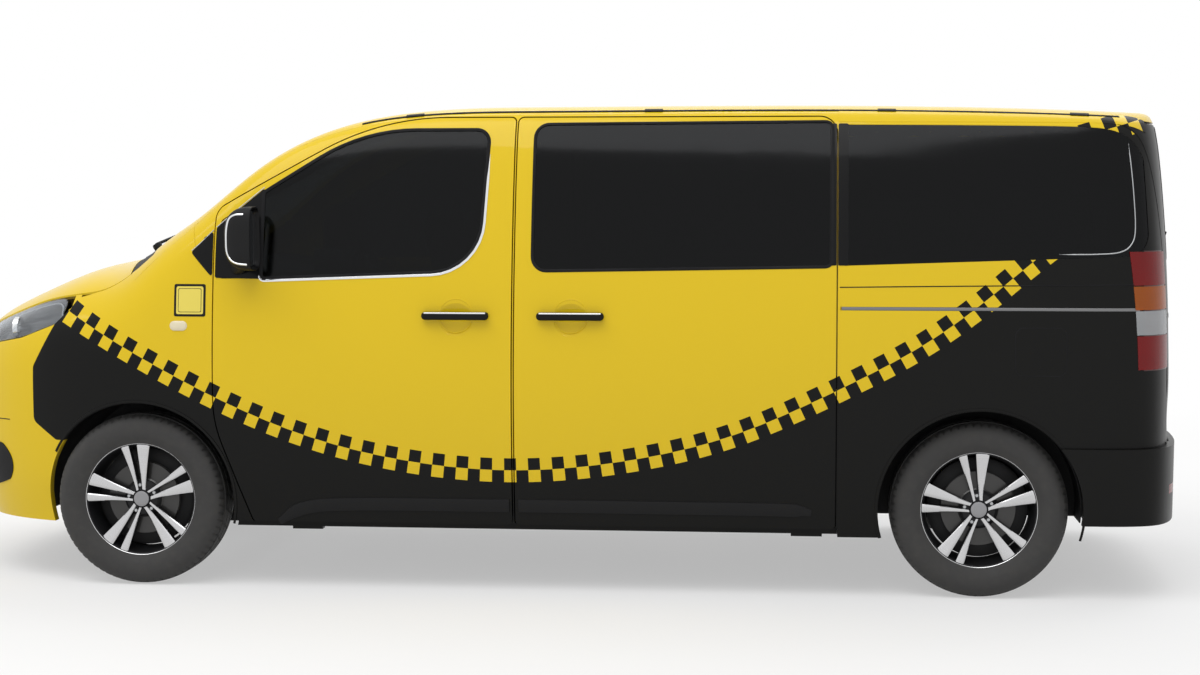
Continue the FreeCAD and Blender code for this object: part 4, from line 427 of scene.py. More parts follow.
def rounded_outline(corners: Corners, count: int) -> Array:
    """Closed outline through corners with round fillets, evenly spaced.

    Args:
        corners: two coordinates and a fillet radius each.
        count: how many points come back.

    Returns:
        Array of points of two coordinates.
    """
    fixed = np.asarray([corner[:2] for corner in corners], float)
    radii = np.asarray([corner[2] for corner in corners], float)
    before, after = np.roll(fixed, 1, axis=0), np.roll(fixed, -1, axis=0)
    back, forth = unit(before - fixed), unit(after - fixed)
    cosine = np.clip(np.sum(back * forth, axis=1), -0.999, 0.999)
    cut = radii / np.tan(np.arccos(cosine) / 2.0)
    t = np.linspace(0.0, 1.0, 9)[None, :, None]
    start = (fixed + back * cut[:, None])[:, None, :]
    end = (fixed + forth * cut[:, None])[:, None, :]
    middle = fixed[:, None, :]
    weight = np.sqrt((1.0 - cosine) / 2.0)[:, None, None]
    top = (1 - t) ** 2 * start + 2 * weight * t * (1 - t) * middle + t ** 2 * end
    line = (top / ((1 - t) ** 2 + 2 * weight * t * (1 - t) + t ** 2)).reshape(-1, 2)
    return evenly(np.vstack([line, line[:1]]), count, False)


# Meshes from grids

@dataclass
class Shell:
    """Mesh under construction: grids of points that end up in one object."""

    name: str
    points: list[Array] = field(default_factory=list)
    quads: list[Array] = field(default_factory=list)
    slots: list[Array] = field(default_factory=list)
    total: int = 0

    def grid(self, points: Array, wrap_u: bool = False, wrap_v: bool = False, slot: int = 0) -> "Shell":
        """Adds a grid of quads.

        Args:
            points: array of shape (u, v, 3).
            wrap_u: whether the last row joins the first.
            wrap_v: whether the last column joins the first.
            slot: material index of its faces.

        Returns:
            The shell itself.
        """
        rows, columns = points.shape[:2]
        i = np.arange(rows if wrap_u else rows - 1)[:, None]
        j = np.arange(columns if wrap_v else columns - 1)[None, :]
        after_i, after_j = (i + 1) % rows, (j + 1) % columns
        corners = [i * columns + j, i * columns + after_j, after_i * columns + after_j,
                   after_i * columns + j]
        quads = np.stack([np.broadcast_to(c, (i.size, j.size)) for c in corners], axis=-1)
        quads = quads.reshape(-1, 4) + self.total
        self.points.append(points.reshape(-1, 3))
        self.quads.append(quads)
        self.slots.append(np.full(len(quads), slot))
        self.total += rows * columns
        return self

    def cap(self, ring: Array, slot: int = 0) -> "Shell":
        """Closes a ring of points with a fan of quads towards its middle.

        Args:
            ring: array of shape (v, 3).
            slot: material index of its faces.

        Returns:
            The shell itself.
        """
        middle = ring.mean(axis=0)
        return self.grid(np.stack([ring, middle + (ring - middle) * 1e-3]), wrap_v=True, slot=slot)

    def tube(self, rings: Array, slot: int = 0) -> "Shell":
        """Adds closed rings joined along a path, with both ends closed."""
        return self.grid(rings, wrap_v=True, slot=slot).cap(rings[0], slot).cap(rings[-1], slot)

    def between(self, front: Array, back: Array, slot: int = 0, other: int = 0) -> "Shell":
        """Adds two grids and the walls between their edges.

        Args:
            front: array of shape (u, v, 3).
            back: array of the same shape.
            slot: material index of the front.
            other: material index of back and walls.

        Returns:
            The shell itself.
        """
        self.grid(front, slot=slot).grid(back, slot=other)
        for cut in (np.s_[0, :], np.s_[-1, :], np.s_[:, 0], np.s_[:, -1]):
            self.grid(np.stack([front[cut], back[cut]]), slot=other)
        return self

    def slab(self, points: Array, depth: Array | Point) -> "Shell":
        """Adds a grid, the same grid moved by depth, and the walls between them."""
        return self.between(points, points + np.asarray(depth))

    def rod(self, path: Array, normals: Array | Point, section: Point, slot: int = 0,
            taper: Array | None = None) -> "Shell":
        """Adds a closed section carried along an open path; the section is given as for ring_section."""
        return self.tube(carried(path, normals, ring_section(*section), taper=taper), slot)

    def loop(self, path: Array, normals: Array | Point, section: Point,
             slot: int = 0) -> "Shell":
        """Adds a closed section carried along a closed path; the section is given as for ring_section."""
        return self.grid(carried(path, normals, ring_section(*section), True), True, True, slot)

    def turned(self, profile: Corners, count: int, centre: Point, out: float,
               slot: int = 0) -> "Shell":
        """Adds a closed profile of radius and reach outwards, turned about an axle along Y."""
        return self.grid(lathe(np.array(profile) * np.array([1.0, out]), count, centre), True, True, slot)

    def knob(self, profile: Corners, count: int, centre: Array, axis: Array | Point,
             slot: int = 0) -> "Shell":
        """Adds a profile of radius and height, turned about any axis."""
        return self.grid(lathe_up(np.array(profile), count, centre, axis), True, slot=slot)

    def build(self, *finishes: "Finish", body: str = Body.MAIN.value, slot: str = "black_plastic",
              smooth_angle: float = 35.0) -> Piece:
        """Makes the object, closes its seams and lets it ride on a body.

        Args:
            finishes: finishes in the order of the material indices.
            body: body that the piece rides on.
            slot: record slot of the piece's finish; not used.
            smooth_angle: edges sharper than this stay sharp, in degrees.

        Returns:
            The finished object.
        """
        vertices = np.concatenate(self.points)
        faces = np.concatenate(self.quads)
        mesh = bpy.data.meshes.new(self.name)
        mesh.vertices.add(len(vertices))
        mesh.vertices.foreach_set("co", vertices.astype(np.float32).ravel())
        mesh.loops.add(faces.size)
        mesh.loops.foreach_set("vertex_index", faces.astype(np.int32).ravel())
        mesh.polygons.add(len(faces))
        mesh.polygons.foreach_set("loop_start", np.arange(0, faces.size, 4, dtype=np.int32))
        mesh.polygons.foreach_set("material_index", np.concatenate(self.slots).astype(np.int32))
        mesh.update(calc_edges=True)
        mesh.validate()
        form = bmesh.new()
        form.from_mesh(mesh)
        bmesh.ops.remove_doubles(form, verts=form.verts, dist=1e-6)
        bmesh.ops.dissolve_degenerate(form, edges=form.edges, dist=1e-7)
        bmesh.ops.recalc_face_normals(form, faces=form.faces)
        form.to_mesh(mesh)
        form.free()
        mesh.shade_smooth()
        mesh.set_sharp_from_angle(angle=math.radians(smooth_angle))
        piece = bpy.data.objects.new(self.name, mesh)
        bpy.context.scene.collection.objects.link(piece)
        for finish in finishes:
            mesh.materials.append(finish.material())
        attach(piece, body)
        LOG.info("%s: %d faces", self.name, len(mesh.polygons))
        return piece


def ring_section(width: float, depth: float, count: int = 12, power: float = 2.0) -> Array:
    """Closed section as a superellipse, |x/a|^p + |y/b|^p = 1.

    Args:
        width: full width, across the surface.
        depth: full depth, off the surface.
        count: points of the ring.
        power: 2 for an ellipse, more for a box with round corners.

    Returns:
        Array of shape (count, 2).
    """
    c, s = np.cos(circle(count)), np.sin(circle(count))
    return np.stack([np.sign(c) * np.abs(c) ** (2.0 / power) * width / 2.0,
                     np.sign(s) * np.abs(s) ** (2.0 / power) * depth / 2.0], axis=-1)


def carried(path: Array, normals: Array | Point, section: Array, closed: bool = False,
            taper: Array | None = None) -> Array:
    """Rings of a section carried along a path that lies on a surface.

    Each ring stands across the path: its first coordinate runs along normal x tangent and its
    second along the normal.

    Args:
        path: array of shape (n, 3).
        normals: unit normals of the surface at the path, or one for all.
        section: array of shape (m, 2).
        closed: whether the path closes on itself.
        taper: optional scale of the section at each path point.

    Returns:
        Array of shape (n, m, 3).
    """
    step = np.roll(path, -1, axis=0) - np.roll(path, 1, axis=0) if closed else np.gradient(path, axis=0)
    tangent = unit(step)
    across = unit(np.cross(normals, tangent))
    up = unit(np.cross(tangent, across))
    scale = np.ones(len(path)) if taper is None else taper
    return (path[:, None, :] + across[:, None, :] * (section[None, :, :1] * scale[:, None, None])
            + up[:, None, :] * (section[None, :, 1:] * scale[:, None, None]))


def lathe(profile: Array, count: int, centre: Point) -> Array:
    """Grid of a profile turned about an axle that runs along Y.

    Args:
        profile: array of radius and place along Y, shape (n, 2).
        count: steps round the circle.
        centre: point of the axle.

    Returns:
        Array of shape (count, n, 3).
    """
    angle, (radius, along) = circle(count)[:, None], profile.T[:, None]
    return xyz(centre[0] + radius * np.cos(angle), centre[1] + along, centre[2] + radius * np.sin(angle))


def lathe_up(profile: Array, count: int, centre: Array, axis: Array | Point) -> Array:
    """Grid of a profile turned about any axis.

    Args:
        profile: array of radius and height, shape (n, 2).
        count: steps round the circle.
        centre: point of the axis.
        axis: its direction.

    Returns:
        Array of shape (count, n, 3).
    """
    axis = unit(np.asarray(axis, float))
    one = unit(np.cross(axis, [0.0, 1.0, 0.0] if abs(axis[1]) < 0.8 else [1.0, 0.0, 0.0]))
    two = np.cross(axis, one)
    angle = circle(count)[:, None, None]
    radius, height = profile[None, :, :1], profile[None, :, 1:]
    return centre + axis * height + (one * np.cos(angle) + two * np.sin(angle)) * radius


# Finishes as node materials

@dataclass
class Graph:
    """Thin wrapper round a material's node tree that makes and joins nodes."""

    tree: bpy.types.NodeTree

    def node(self, kind: str, values: dict[object, object] | Sequence[object] = (),
             **settings: object) -> bpy.types.Node:
        """New node with some of its inputs and properties set.

        Args:
            kind: type of the node.
            values: sockets or constants of its first inputs, or of named or numbered ones.
            settings: its properties.

        Returns:
            The node.
        """
        made = self.tree.nodes.new(kind)
        for name, value in settings.items():
            setattr(made, name, value)
        for name, value in (values.items() if isinstance(values, dict) else enumerate(values)):
            self.feed(made.inputs[name], value)
        return made

    def feed(self, socket: Socket, value: object) -> None:
        """Joins a socket to another one, or sets its constant.

        Args:
            socket: the input.
            value: an output, or the constant.
        """
        if isinstance(value, Socket):
            self.tree.links.new(value, socket)
        else:
            socket.default_value = value

    def math(self, operation: str, *values: object) -> Socket:
        """Result of a math node."""
        return self.node("ShaderNodeMath", values, operation=operation).outputs[0]

    def mix(self, factor: object, one: object, two: object) -> Socket:
        """Colour between two colours."""
        return self.node("ShaderNodeMix", {0: factor, 6: one, 7: two}, data_type="RGBA").outputs[2]

    def blend(self, share: object, one: bpy.types.Node, two: bpy.types.Node) -> Socket:
        """Shader between the shaders of two nodes."""
        return self.node("ShaderNodeMixShader", (share, one.outputs[0], two.outputs[0])).outputs[0]

    def place(self) -> Socket:
        """Place of the point in object coordinates."""
        return self.node("ShaderNodeTexCoord").outputs["Object"]

    def axes(self) -> bpy.types.NodeOutputs:
        """X, Y and Z of the point in object coordinates."""
        return self.node("ShaderNodeSeparateXYZ", (self.place(),)).outputs

    def length(self, one: object, two: object) -> Socket:
        """Root of the sum of two squares."""
        return self.math("SQRT", self.math("ADD", self.math("MULTIPLY", one, one), self.math("MULTIPLY", two, two)))

    def radius(self, axle: tuple[float, float]) -> Socket:
        """Distance of the point from an axle along Y."""
        x, _, z = self.axes()
        return self.length(self.math("SUBTRACT", x, axle[0]), self.math("SUBTRACT", z, axle[1]))

    def noise(self, scale: float, detail: float = 3.0, vector: object = None) -> Socket:
        """Value of a noise texture, at a vector or in object coordinates."""
        inputs = {"Scale": scale, "Detail": detail, "Vector": self.place() if vector is None else vector}
        return self.node("ShaderNodeTexNoise", inputs).outputs["Fac"]

    def remap(self, value: object, low: float, high: float, to_low: float, to_high: float,
              kind: str = "LINEAR") -> Socket:
        """Value moved from one range to another and held to its ends."""
        return self.node("ShaderNodeMapRange", (value, low, high, to_low, to_high), interpolation_type=kind).outputs[0]

    def bump(self, height: object, strength: float, distance: float) -> Socket:
        """Normal that follows a height."""
        inputs = {"Strength": strength, "Distance": distance, "Height": height}
        return self.node("ShaderNodeBump", inputs).outputs["Normal"]

    def surface(self, **inputs: object) -> bpy.types.Node:
        """Principled shader with some inputs set; words are joined by underscores."""
        return self.node("ShaderNodeBsdfPrincipled", {name.replace("_", " "): v for name, v in inputs.items()})

    def shown(self) -> Socket:
        """One for rays that show a background: camera, mirrored and see-through ones.

        Returns:
            Output that is 0 or 1.
        """
        rays = self.node("ShaderNodeLightPath").outputs
        mirrored = self.math("MAXIMUM", rays["Is Glossy Ray"], rays["Is Transmission Ray"])
        return self.math("MAXIMUM", rays["Is Camera Ray"], mirrored)

    def finish(self, shader: Socket) -> None:
        """Joins a shader to the material's output."""
        self.tree.links.new(shader, self.node("ShaderNodeOutputMaterial").inputs["Surface"])


def rgba(colour: Colour, shade: float = 1.0) -> tuple[float, ...]:
    """Colour times a shade, with full opacity."""
    return (*(c * shade for c in colour), 1.0)


@dataclass(frozen=True)
class Finish:
    """Base of all finishes; the name is that of the material."""

    name: str

    def graph(self, g: Graph) -> Socket:
        """Shader of the finish.

        Args:
            g: graph of its material.

        Returns:
            Output of the shader.
        """
        raise NotImplementedError

    def material(self) -> bpy.types.Material:
        """Material of the finish, made once.

        Returns:
            The material.
        """
        own = f"{self.name}_finish"
        found = bpy.data.materials.get(own)
        if found is None:
            found = bpy.data.materials.new(own)
            found.use_nodes = True
            found.node_tree.nodes.clear()
            g = Graph(found.node_tree)
            g.finish(self.graph(g))
        return found


@dataclass(frozen=True)
class Plain(Finish):
    """Solid finish with fine variation of its roughness and a grain."""

    colour: Colour = (0.02, 0.02, 0.02)
    roughness: float = 0.5
    metallic: float = 0.0
    coat: float = 0.0
    grain: float = 0.0
    grain_scale: float = 900.0
    variation: float = 0.08
    sheen: float = 0.0
    specular: float = 0.5

    def graph(self, g: Graph) -> Socket:
        """Principled shader whose roughness and colour follow two noises.

        Args:
            g: graph of the material.

        Returns:
            Output of the shader.
        """
        cloud = g.noise(7.0, 4.0)
        rough = g.remap(cloud, 0.3, 0.7, self.roughness * (1 - self.variation),
                        min(1.0, self.roughness * (1 + self.variation)))
        darker = rgba(self.colour, 1.0 - 0.5 * self.variation)
        made = g.surface(Base_Color=g.mix(cloud, rgba(self.colour), darker), Roughness=rough,
                         Metallic=self.metallic, Coat_Weight=self.coat, Coat_Roughness=0.04,
                         Sheen_Weight=self.sheen, Specular_IOR_Level=self.specular)
        if self.grain > 0.0:
            height = g.noise(self.grain_scale, 2.0)
            g.feed(made.inputs["Normal"], g.bump(height, 0.35, self.grain))
        return made.outputs[0]


@dataclass(frozen=True)
class Brushed(Finish):
    """Machined metal with fine turning marks round an axle along Y."""

    colour: Colour = (0.62, 0.62, 0.63)
    roughness: float = 0.24
    axle: tuple[float, float] = (0.0, 0.0)
    pitch: float = 2600.0

    def graph(self, g: Graph) -> Socket:
        """Rings of noise by distance from the axle, in colour and in relief.

        Args:
            g: graph of the material.

        Returns:
            Output of the shader.
        """
        ring = g.node("ShaderNodeCombineXYZ", (g.math("MULTIPLY", g.radius(self.axle), self.pitch),))
        marks = g.noise(1.0, 2.0, ring.outputs[0])
        rough = g.remap(marks, 0.3, 0.7, self.roughness * 0.8, self.roughness * 1.35)
        made = g.surface(Base_Color=g.mix(marks, rgba(self.colour), rgba(self.colour, 0.86)), Roughness=rough,
                         Metallic=1.0, Coat_Weight=0.5, Coat_Roughness=0.08,
                         Normal=g.bump(marks, 0.12, 0.0004))
        return made.outputs[0]


@dataclass(frozen=True)
class Glass(Finish):
    """Thin tinted glass: a dark see-through film under a clear reflection."""

    tint: Colour = (0.16, 0.17, 0.18)
    gloss: float = 0.02
    facing: float = 0.06

    def graph(self, g: Graph) -> Socket:
        """Tinted transparent shader mixed with a mirror by the angle of view.

        Args:
            g: graph of the material.

        Returns:
            Output of the shader.
        """
        tone = g.mix(g.noise(3.0, 2.0), rgba(self.tint), rgba(self.tint, 0.92))
        clear = g.node("ShaderNodeBsdfTransparent", (tone,))
        mirror = g.node("ShaderNodeBsdfGlossy", {"Roughness": self.gloss, "Color": (0.95, 0.97, 1.0, 1.0)})
        weight = g.node("ShaderNodeLayerWeight", {"Blend": 0.5})
        steep = g.math("POWER", weight.outputs["Facing"], 4.6)
        return g.blend(g.remap(steep, 0.0, 1.0, self.facing, 0.95), clear, mirror)


@dataclass(frozen=True)
class Lens(Finish):
    """Coloured lamp cover with upright flutes, half clear and half solid."""

    colour: Colour = (0.45, 0.01, 0.01)
    depth: float = 0.6
    flutes: float = 420.0

    def graph(self, g: Graph) -> Socket:
        """Solid glossy colour mixed with a see-through film, with fine flutes in relief.

        Args:
            g: graph of the material.

        Returns:
            Output of the shader.
        """
        flute = g.math("SINE", g.math("MULTIPLY", g.axes()[2], self.flutes))
        solid = g.surface(Base_Color=g.mix(g.noise(9.0, 2.0), rgba(self.colour), rgba(self.colour, 0.8)),
                          Roughness=0.16, Specular_IOR_Level=0.3, Coat_Weight=0.3, Coat_Roughness=0.03,
                          Normal=g.bump(flute, 0.25, 0.0006))
        pale = rgba(tuple(min(1.0, c * 1.6 + 0.02) for c in self.colour))
        film = g.node("ShaderNodeBsdfTransparent", (pale,))
        return g.blend(self.depth, film, solid)


@dataclass(frozen=True)
class Woven(Finish):
    """Cloth with two crossed threads in relief."""

    colour: Colour = (0.03, 0.032, 0.036)
    light: Colour = (0.07, 0.074, 0.082)
    pitch: float = 2200.0

    def graph(self, g: Graph) -> Socket:
        """Product of two sine waves across each other, broken up by noise.

        Args:
            g: graph of the material.

        Returns:
            Output of the shader.
        """
        x, y, z = g.axes()
        warp = g.math("SINE", g.math("MULTIPLY", g.math("ADD", x, z), self.pitch))
        weft = g.math("SINE", g.math("MULTIPLY", y, self.pitch))
        weave = g.remap(g.math("MULTIPLY", warp, weft), -1.0, 1.0, 0.0, 1.0)
        share = g.math("MULTIPLY", weave, g.remap(g.noise(34.0, 4.0), 0.3, 0.7, 0.4, 1.0))
        made = g.surface(Base_Color=g.mix(share, rgba(self.colour), rgba(self.light)), Roughness=0.88,
                         Sheen_Weight=0.35, Normal=g.bump(weave, 0.4, 0.0006))
        return made.outputs[0]


@dataclass(frozen=True)
class Tread(Finish):
    """Tyre rubber, dull and slightly dusty, with fine rings on the walls."""

    colour: Colour = (0.024, 0.0235, 0.0235)
    dust: Colour = (0.056, 0.054, 0.051)
    axle: tuple[float, float] = (0.0, 0.0)

    def graph(self, g: Graph) -> Socket:
        """Rubber whose dust follows noise and whose relief follows the radius.

        Args:
            g: graph of the material.

        Returns:
            Output of the shader.
        """
        rings = g.math("SINE", g.math("MULTIPLY", g.radius(self.axle), 2300.0))
        cloud = g.noise(26.0, 5.0)
        dust = g.remap(cloud, 0.42, 0.78, 0.15, 0.75)
        made = g.surface(Base_Color=g.mix(dust, rgba(self.colour), rgba(self.dust)),
                         Roughness=g.remap(cloud, 0.3, 0.7, 0.62, 0.82),
                         Normal=g.bump(rings, 0.18, 0.0005))
        return made.outputs[0]


@dataclass(frozen=True)
class StudioFloor(Finish):
    """Pale floor that fades into a plain white background away from the vehicle."""

    near: float = 3.2
    far: float = 7.5

    def graph(self, g: Graph) -> Socket:
        """Matt paint mixed with plain white by the distance from the middle, for shown rays alone.

        Args:
            g: graph of the material.

        Returns:
            Output of the shader.
        """
        x, y, _ = g.axes()
        reach = g.length(g.math("MULTIPLY", x, 0.72), y)
        share = g.remap(reach, self.near, self.far, 0.45, 1.0, "SMOOTHSTEP")
        tone = g.mix(g.noise(1.5, 2.0), rgba((0.8, 0.8, 0.8)), rgba((0.785, 0.785, 0.785)))
        paint = g.surface(Base_Color=tone, Roughness=0.9)
        return g.blend(g.math("MULTIPLY", share, g.shown()), paint, g.node("ShaderNodeEmission"))


@dataclass(frozen=True)
class Livery(Finish):
    """Two-colour body paint with two rows of squares along a curved line.

    The line is a height over x. Each point takes one Newton step to the nearest point of the
    line, which gives its signed distance d and its arc length s; the rows are the checks
    floor(d / size) + floor(s / size). Within top_half of the middle, on the roof, the paint is plain.
    """

    upper: Colour = (0.72, 0.5, 0.008)
    lower: Colour = (0.006, 0.006, 0.0056)
    square: float = 0.047
    line: tuple[tuple[float, float], ...] = (
        (-2.5, 1.345), (-2.2, 1.225), (-1.897, 1.078), (-1.606, 0.921), (-1.296, 0.76),
        (-0.888, 0.595), (-0.578, 0.52), (-0.112, 0.478), (0.353, 0.524), (0.741, 0.624),
        (1.168, 0.816), (1.479, 0.988), (1.75, 1.192), (1.886, 1.305), (2.0, 1.405),
        (2.2, 1.76), (2.35, 2.08), (2.5, 2.42))
    roof_line: tuple[float, float, float] = (2.14, 1.785, 0.3)
    roof_line_from: float = 1.7
    only_upper: bool = False
    only_lower: bool = False
    top_half: float = 0.0
    samples: int = 58

    def table(self) -> tuple[Array, Array, Array, Array]:
        """Places, heights, slopes and arc lengths along the line.

        Returns:
            Four arrays of the same length.
        """
        fixed = np.array(self.line)
        x = np.linspace(fixed[0, 0], fixed[-1, 0], 2001)
        z = natural_spline(fixed[:, 0], fixed[:, 1], x)
        slope = np.gradient(z, x)
        run = np.concatenate([[0.0], np.cumsum(np.hypot(np.diff(x), np.diff(z)))])
        at = np.linspace(0, 2000, self.samples).astype(int)
        return x[at], z[at], slope[at], run[at]

    def curve(self, g: Graph, x: Array, values: Array, at: Socket) -> Socket:
        """Value read from a table by a curve node, moved to and from the range 0 to 1.

        Args:
            g: graph of the material.
            x: rising places of the table.
            values: values there.
            at: place where the value is wanted.

        Returns:
            The value.
        """
        low, high = float(values.min()), float(values.max())
        made = g.node("ShaderNodeFloatCurve")
        points = made.mapping.curves[0].points
        spots = np.stack([(x - x[0]) / (x[-1] - x[0]), (values - low) / (high - low)], axis=-1).tolist()
        points[0].location, points[-1].location = spots[0], spots[-1]
        for spot in spots[1:-1]:
            points.new(*spot)
        made.mapping.update()
        g.feed(made.inputs["Value"], g.remap(at, float(x[0]), float(x[-1]), 0.0, 1.0))
        return g.remap(made.outputs[0], 0.0, 1.0, low, high)

    def colour(self, g: Graph) -> Socket:
        """Colour of the paint.

        Args:
            g: graph of the material.

        Returns:
            Output of the colour.
        """
        if self.only_upper or self.only_lower:
            one = self.upper if self.only_upper else self.lower
            return g.mix(g.noise(3.0), rgba(one), rgba(one, 0.985))
        x, z, slope, run = self.table()
        here, beside, height = g.axes()
        tilt = self.curve(g, x, slope, here)
        off = g.math("SUBTRACT", height, self.curve(g, x, z, here))
        square = g.math("MULTIPLY_ADD", tilt, tilt, 1.0)
        near = g.math("ADD", here, g.math("DIVIDE", g.math("MULTIPLY", off, tilt), square))
        lean = self.curve(g, x, slope, near)
        length = g.math("SQRT", g.math("MULTIPLY_ADD", lean, lean, 1.0))
        rise = g.math("SUBTRACT", height, self.curve(g, x, z, near))
        ahead = g.math("SUBTRACT", here, near)
        distance = g.math("DIVIDE", g.math("SUBTRACT", rise, g.math("MULTIPLY", ahead, lean)), length)
        extra = g.math("DIVIDE", g.math("ADD", ahead, g.math("MULTIPLY", rise, lean)), length)
        along = g.math("ADD", self.curve(g, x, run, near), extra)
        # Near the roof a straight line through a point, with a slope, takes over
        x0, z0, slope0 = self.roof_line
        size = math.hypot(1.0, slope0)
        high = g.math("GREATER_THAN", height, self.roof_line_from)
        right, up = g.math("SUBTRACT", here, x0), g.math("SUBTRACT", height, z0)
        second = g.math("DIVIDE", g.math("SUBTRACT", up, g.math("MULTIPLY", right, slope0)), size)
        run_along = g.math("DIVIDE", g.math("MULTIPLY_ADD", up, slope0, right), size)
        distance = g.math("MULTIPLY_ADD", high, g.math("SUBTRACT", second, distance), distance)
        along = g.math("MULTIPLY_ADD", high, g.math("SUBTRACT", run_along, along), along)
        cells = g.math("ADD", g.math("FLOOR", g.math("DIVIDE", distance, self.square)),
                       g.math("FLOOR", g.math("DIVIDE", along, self.square)))
        check = g.math("GREATER_THAN", g.math("FLOORED_MODULO", cells, 2.0), 0.5)
        inside = g.math("LESS_THAN", g.math("ABSOLUTE", distance), self.square)
        above = g.math("GREATER_THAN", distance, 0.0)
        upper = g.math("ADD", g.math("MULTIPLY", inside, check),
                       g.math("MULTIPLY", g.math("SUBTRACT", 1.0, inside), above))
        if self.top_half > 0.0:
            upper = g.math("MAXIMUM", upper, g.math("LESS_THAN", g.math("ABSOLUTE", beside), self.top_half))
        return g.mix(upper, rgba(self.lower), rgba(self.upper))

    def graph(self, g: Graph) -> Socket:
        """Clear-coated paint with faint unevenness of the lacquer, duller where it is dark.

        Args:
            g: graph of the material.

        Returns:
            Output of the shader.
        """
        colour = self.colour(g)
        pale = g.node("ShaderNodeSeparateColor", (colour,)).outputs[0]
        made = g.surface(Base_Color=colour, Roughness=g.remap(g.noise(2.0), 0.3, 0.7, 0.34, 0.4),
                         Specular_IOR_Level=0.08, Coat_Roughness=0.035,
                         Coat_Weight=g.remap(pale, 0.0, 0.6, 0.1, 0.42),
                         Coat_Normal=g.bump(g.noise(420.0, 2.0), 0.05, 0.0003))
        return made.outputs[0]


class Shades:
    """Finishes that several assemblies share."""

    LIVERY = Livery("body_livery")
    ROOF = Livery("roof_livery", top_half=0.72)
    YELLOW = Livery("body_yellow", only_upper=True)
    BLACK_PAINT = Livery("body_black", only_lower=True)
    PALE_YELLOW = Plain("sticker_face", (0.78, 0.64, 0.1), 0.42)
    BLACK_PLASTIC = Plain("black_plastic", (0.011, 0.011, 0.0115), 0.55, grain=0.0004, specular=0.15)
    GLOSS_BLACK = Plain("gloss_black", (0.004, 0.004, 0.0045), 0.3, coat=0.12, specular=0.1)
    SEAL = Plain("seal_rubber", (0.008, 0.008, 0.009), 0.72, variation=0.15, specular=0.18)
    CHROME = Plain("bright_trim", (0.78, 0.79, 0.8), 0.1, metallic=1.0)
    SATIN = Plain("satin_metal", (0.45, 0.46, 0.47), 0.34, metallic=1.0)
    RAIL_METAL = Plain("rail_metal", (0.2, 0.2, 0.205), 0.36, metallic=0.9)
    DARK_METAL = Plain("dark_metal", (0.05, 0.05, 0.052), 0.42, metallic=0.8)
    DARK_GLASS = Glass("privacy_glass", (0.08, 0.084, 0.088), 0.12, 0.014)
    FRONT_GLASS = Glass("door_glass", (0.13, 0.138, 0.142), 0.12, 0.014)
    SCREEN_GLASS = Glass("screen_glass", (0.6, 0.64, 0.64), facing=0.03)
    LENS = Glass("lamp_lens", (0.93, 0.94, 0.95), facing=0.03)
    RED_LENS = Lens("red_lens", (0.3, 0.003, 0.004))
    AMBER_LENS = Lens("amber_lens", (0.52, 0.12, 0.006))
    WHITE_LENS = Lens("white_lens", (0.58, 0.6, 0.62), depth=0.55)
    SIDE_LAMP = Plain("side_lamp", (0.74, 0.66, 0.46), 0.22, coat=0.4)
    REFLECTOR = Plain("lamp_reflector", (0.86, 0.87, 0.88), 0.14, metallic=1.0)
    CLOTH = Woven("seat_cloth")
    SIDE_CLOTH = Woven("seat_side_cloth", (0.013, 0.013, 0.015), (0.028, 0.028, 0.032))
    TRIM = Plain("cabin_trim", (0.028, 0.028, 0.031), 0.66, grain=0.0012, grain_scale=500.0)
    PALE_TRIM = Plain("pale_trim", (0.23, 0.23, 0.24), 0.7, grain=0.0008, grain_scale=600.0)
    CAST = Plain("engine_casting", (0.24, 0.24, 0.25), 0.55, metallic=0.7, grain=0.002, grain_scale=260.0)
    IRON = Plain("chassis_iron", (0.02, 0.02, 0.021), 0.62, grain=0.001, grain_scale=300.0, specular=0.25)
    UNDERSEAL = Plain("underbody_paint", (0.03, 0.031, 0.033), 0.78, grain=0.003, grain_scale=180.0)
    STEEL = Plain("exhaust_steel", (0.36, 0.34, 0.31), 0.42, metallic=1.0, variation=0.3)
    MIRROR = Plain("mirror_face", (0.88, 0.9, 0.92), 0.02, metallic=1.0, variation=0.02)
    DISPLAY = Plain("display_face", (0.01, 0.013, 0.018), 0.08, coat=0.6)
    WHITE = Plain("plate_white", (0.72, 0.72, 0.7), 0.4, coat=0.4)


FORM = BodyForm()


# Things carried by the body surface

def surface_path(corners: Corners, side: Side, count: int,
                 closed: bool = False) -> tuple[Array, Array]:
    """Path on one flank from control points in side view.

    Args:
        corners: x and z of each point, with a fillet radius if closed.
        side: which flank.
        count: points of the path.
        closed: whether the points are an outline with round corners.

    Returns:
        Points and unit normals of the surface.
    """
    flat = rounded_outline(corners, count) if closed else smooth_path(corners, count)
    points = FORM.on_flank(flat[:, 0], flat[:, 1], side)
    return points, FORM.normal(points)


def moulding(name: str, corners: Corners, side: Side, width: float, depth: float,
             finish: Finish, body: str = Body.MAIN.value, count: int = 120, closed: bool = False,
             lift: float = 0.0, power: float = 3.0,
             taper: Callable[[Array], Array] | None = None) -> Piece:
    """Strip of an even section along a path on one flank.

    Args:
        name: name of the piece.
        corners: control points in side view.
        side: which flank.
        width: width of the strip.
        depth: full depth of its section, half of it proud of the surface.
        finish: finish of the strip.
        body: body it rides on.
        count: points of the path.
        closed: whether the points are an outline with round corners.
        lift: how far the middle of the section stands off the surface.
        power: power of the section's superellipse.
        taper: scale of the section over the share of an open path.

    Returns:
        The finished object.
    """
    points, normals = surface_path(corners, side, count, closed)
    line, section = points + normals * lift, (width, depth, 12, power)
    scale = None if taper is None else taper(np.linspace(0.0, 1.0, count))
    shell = Shell(name)
    made = shell.loop(line, normals, section) if closed else shell.rod(line, normals, section, 0, scale)
    return made.build(finish, body=body)


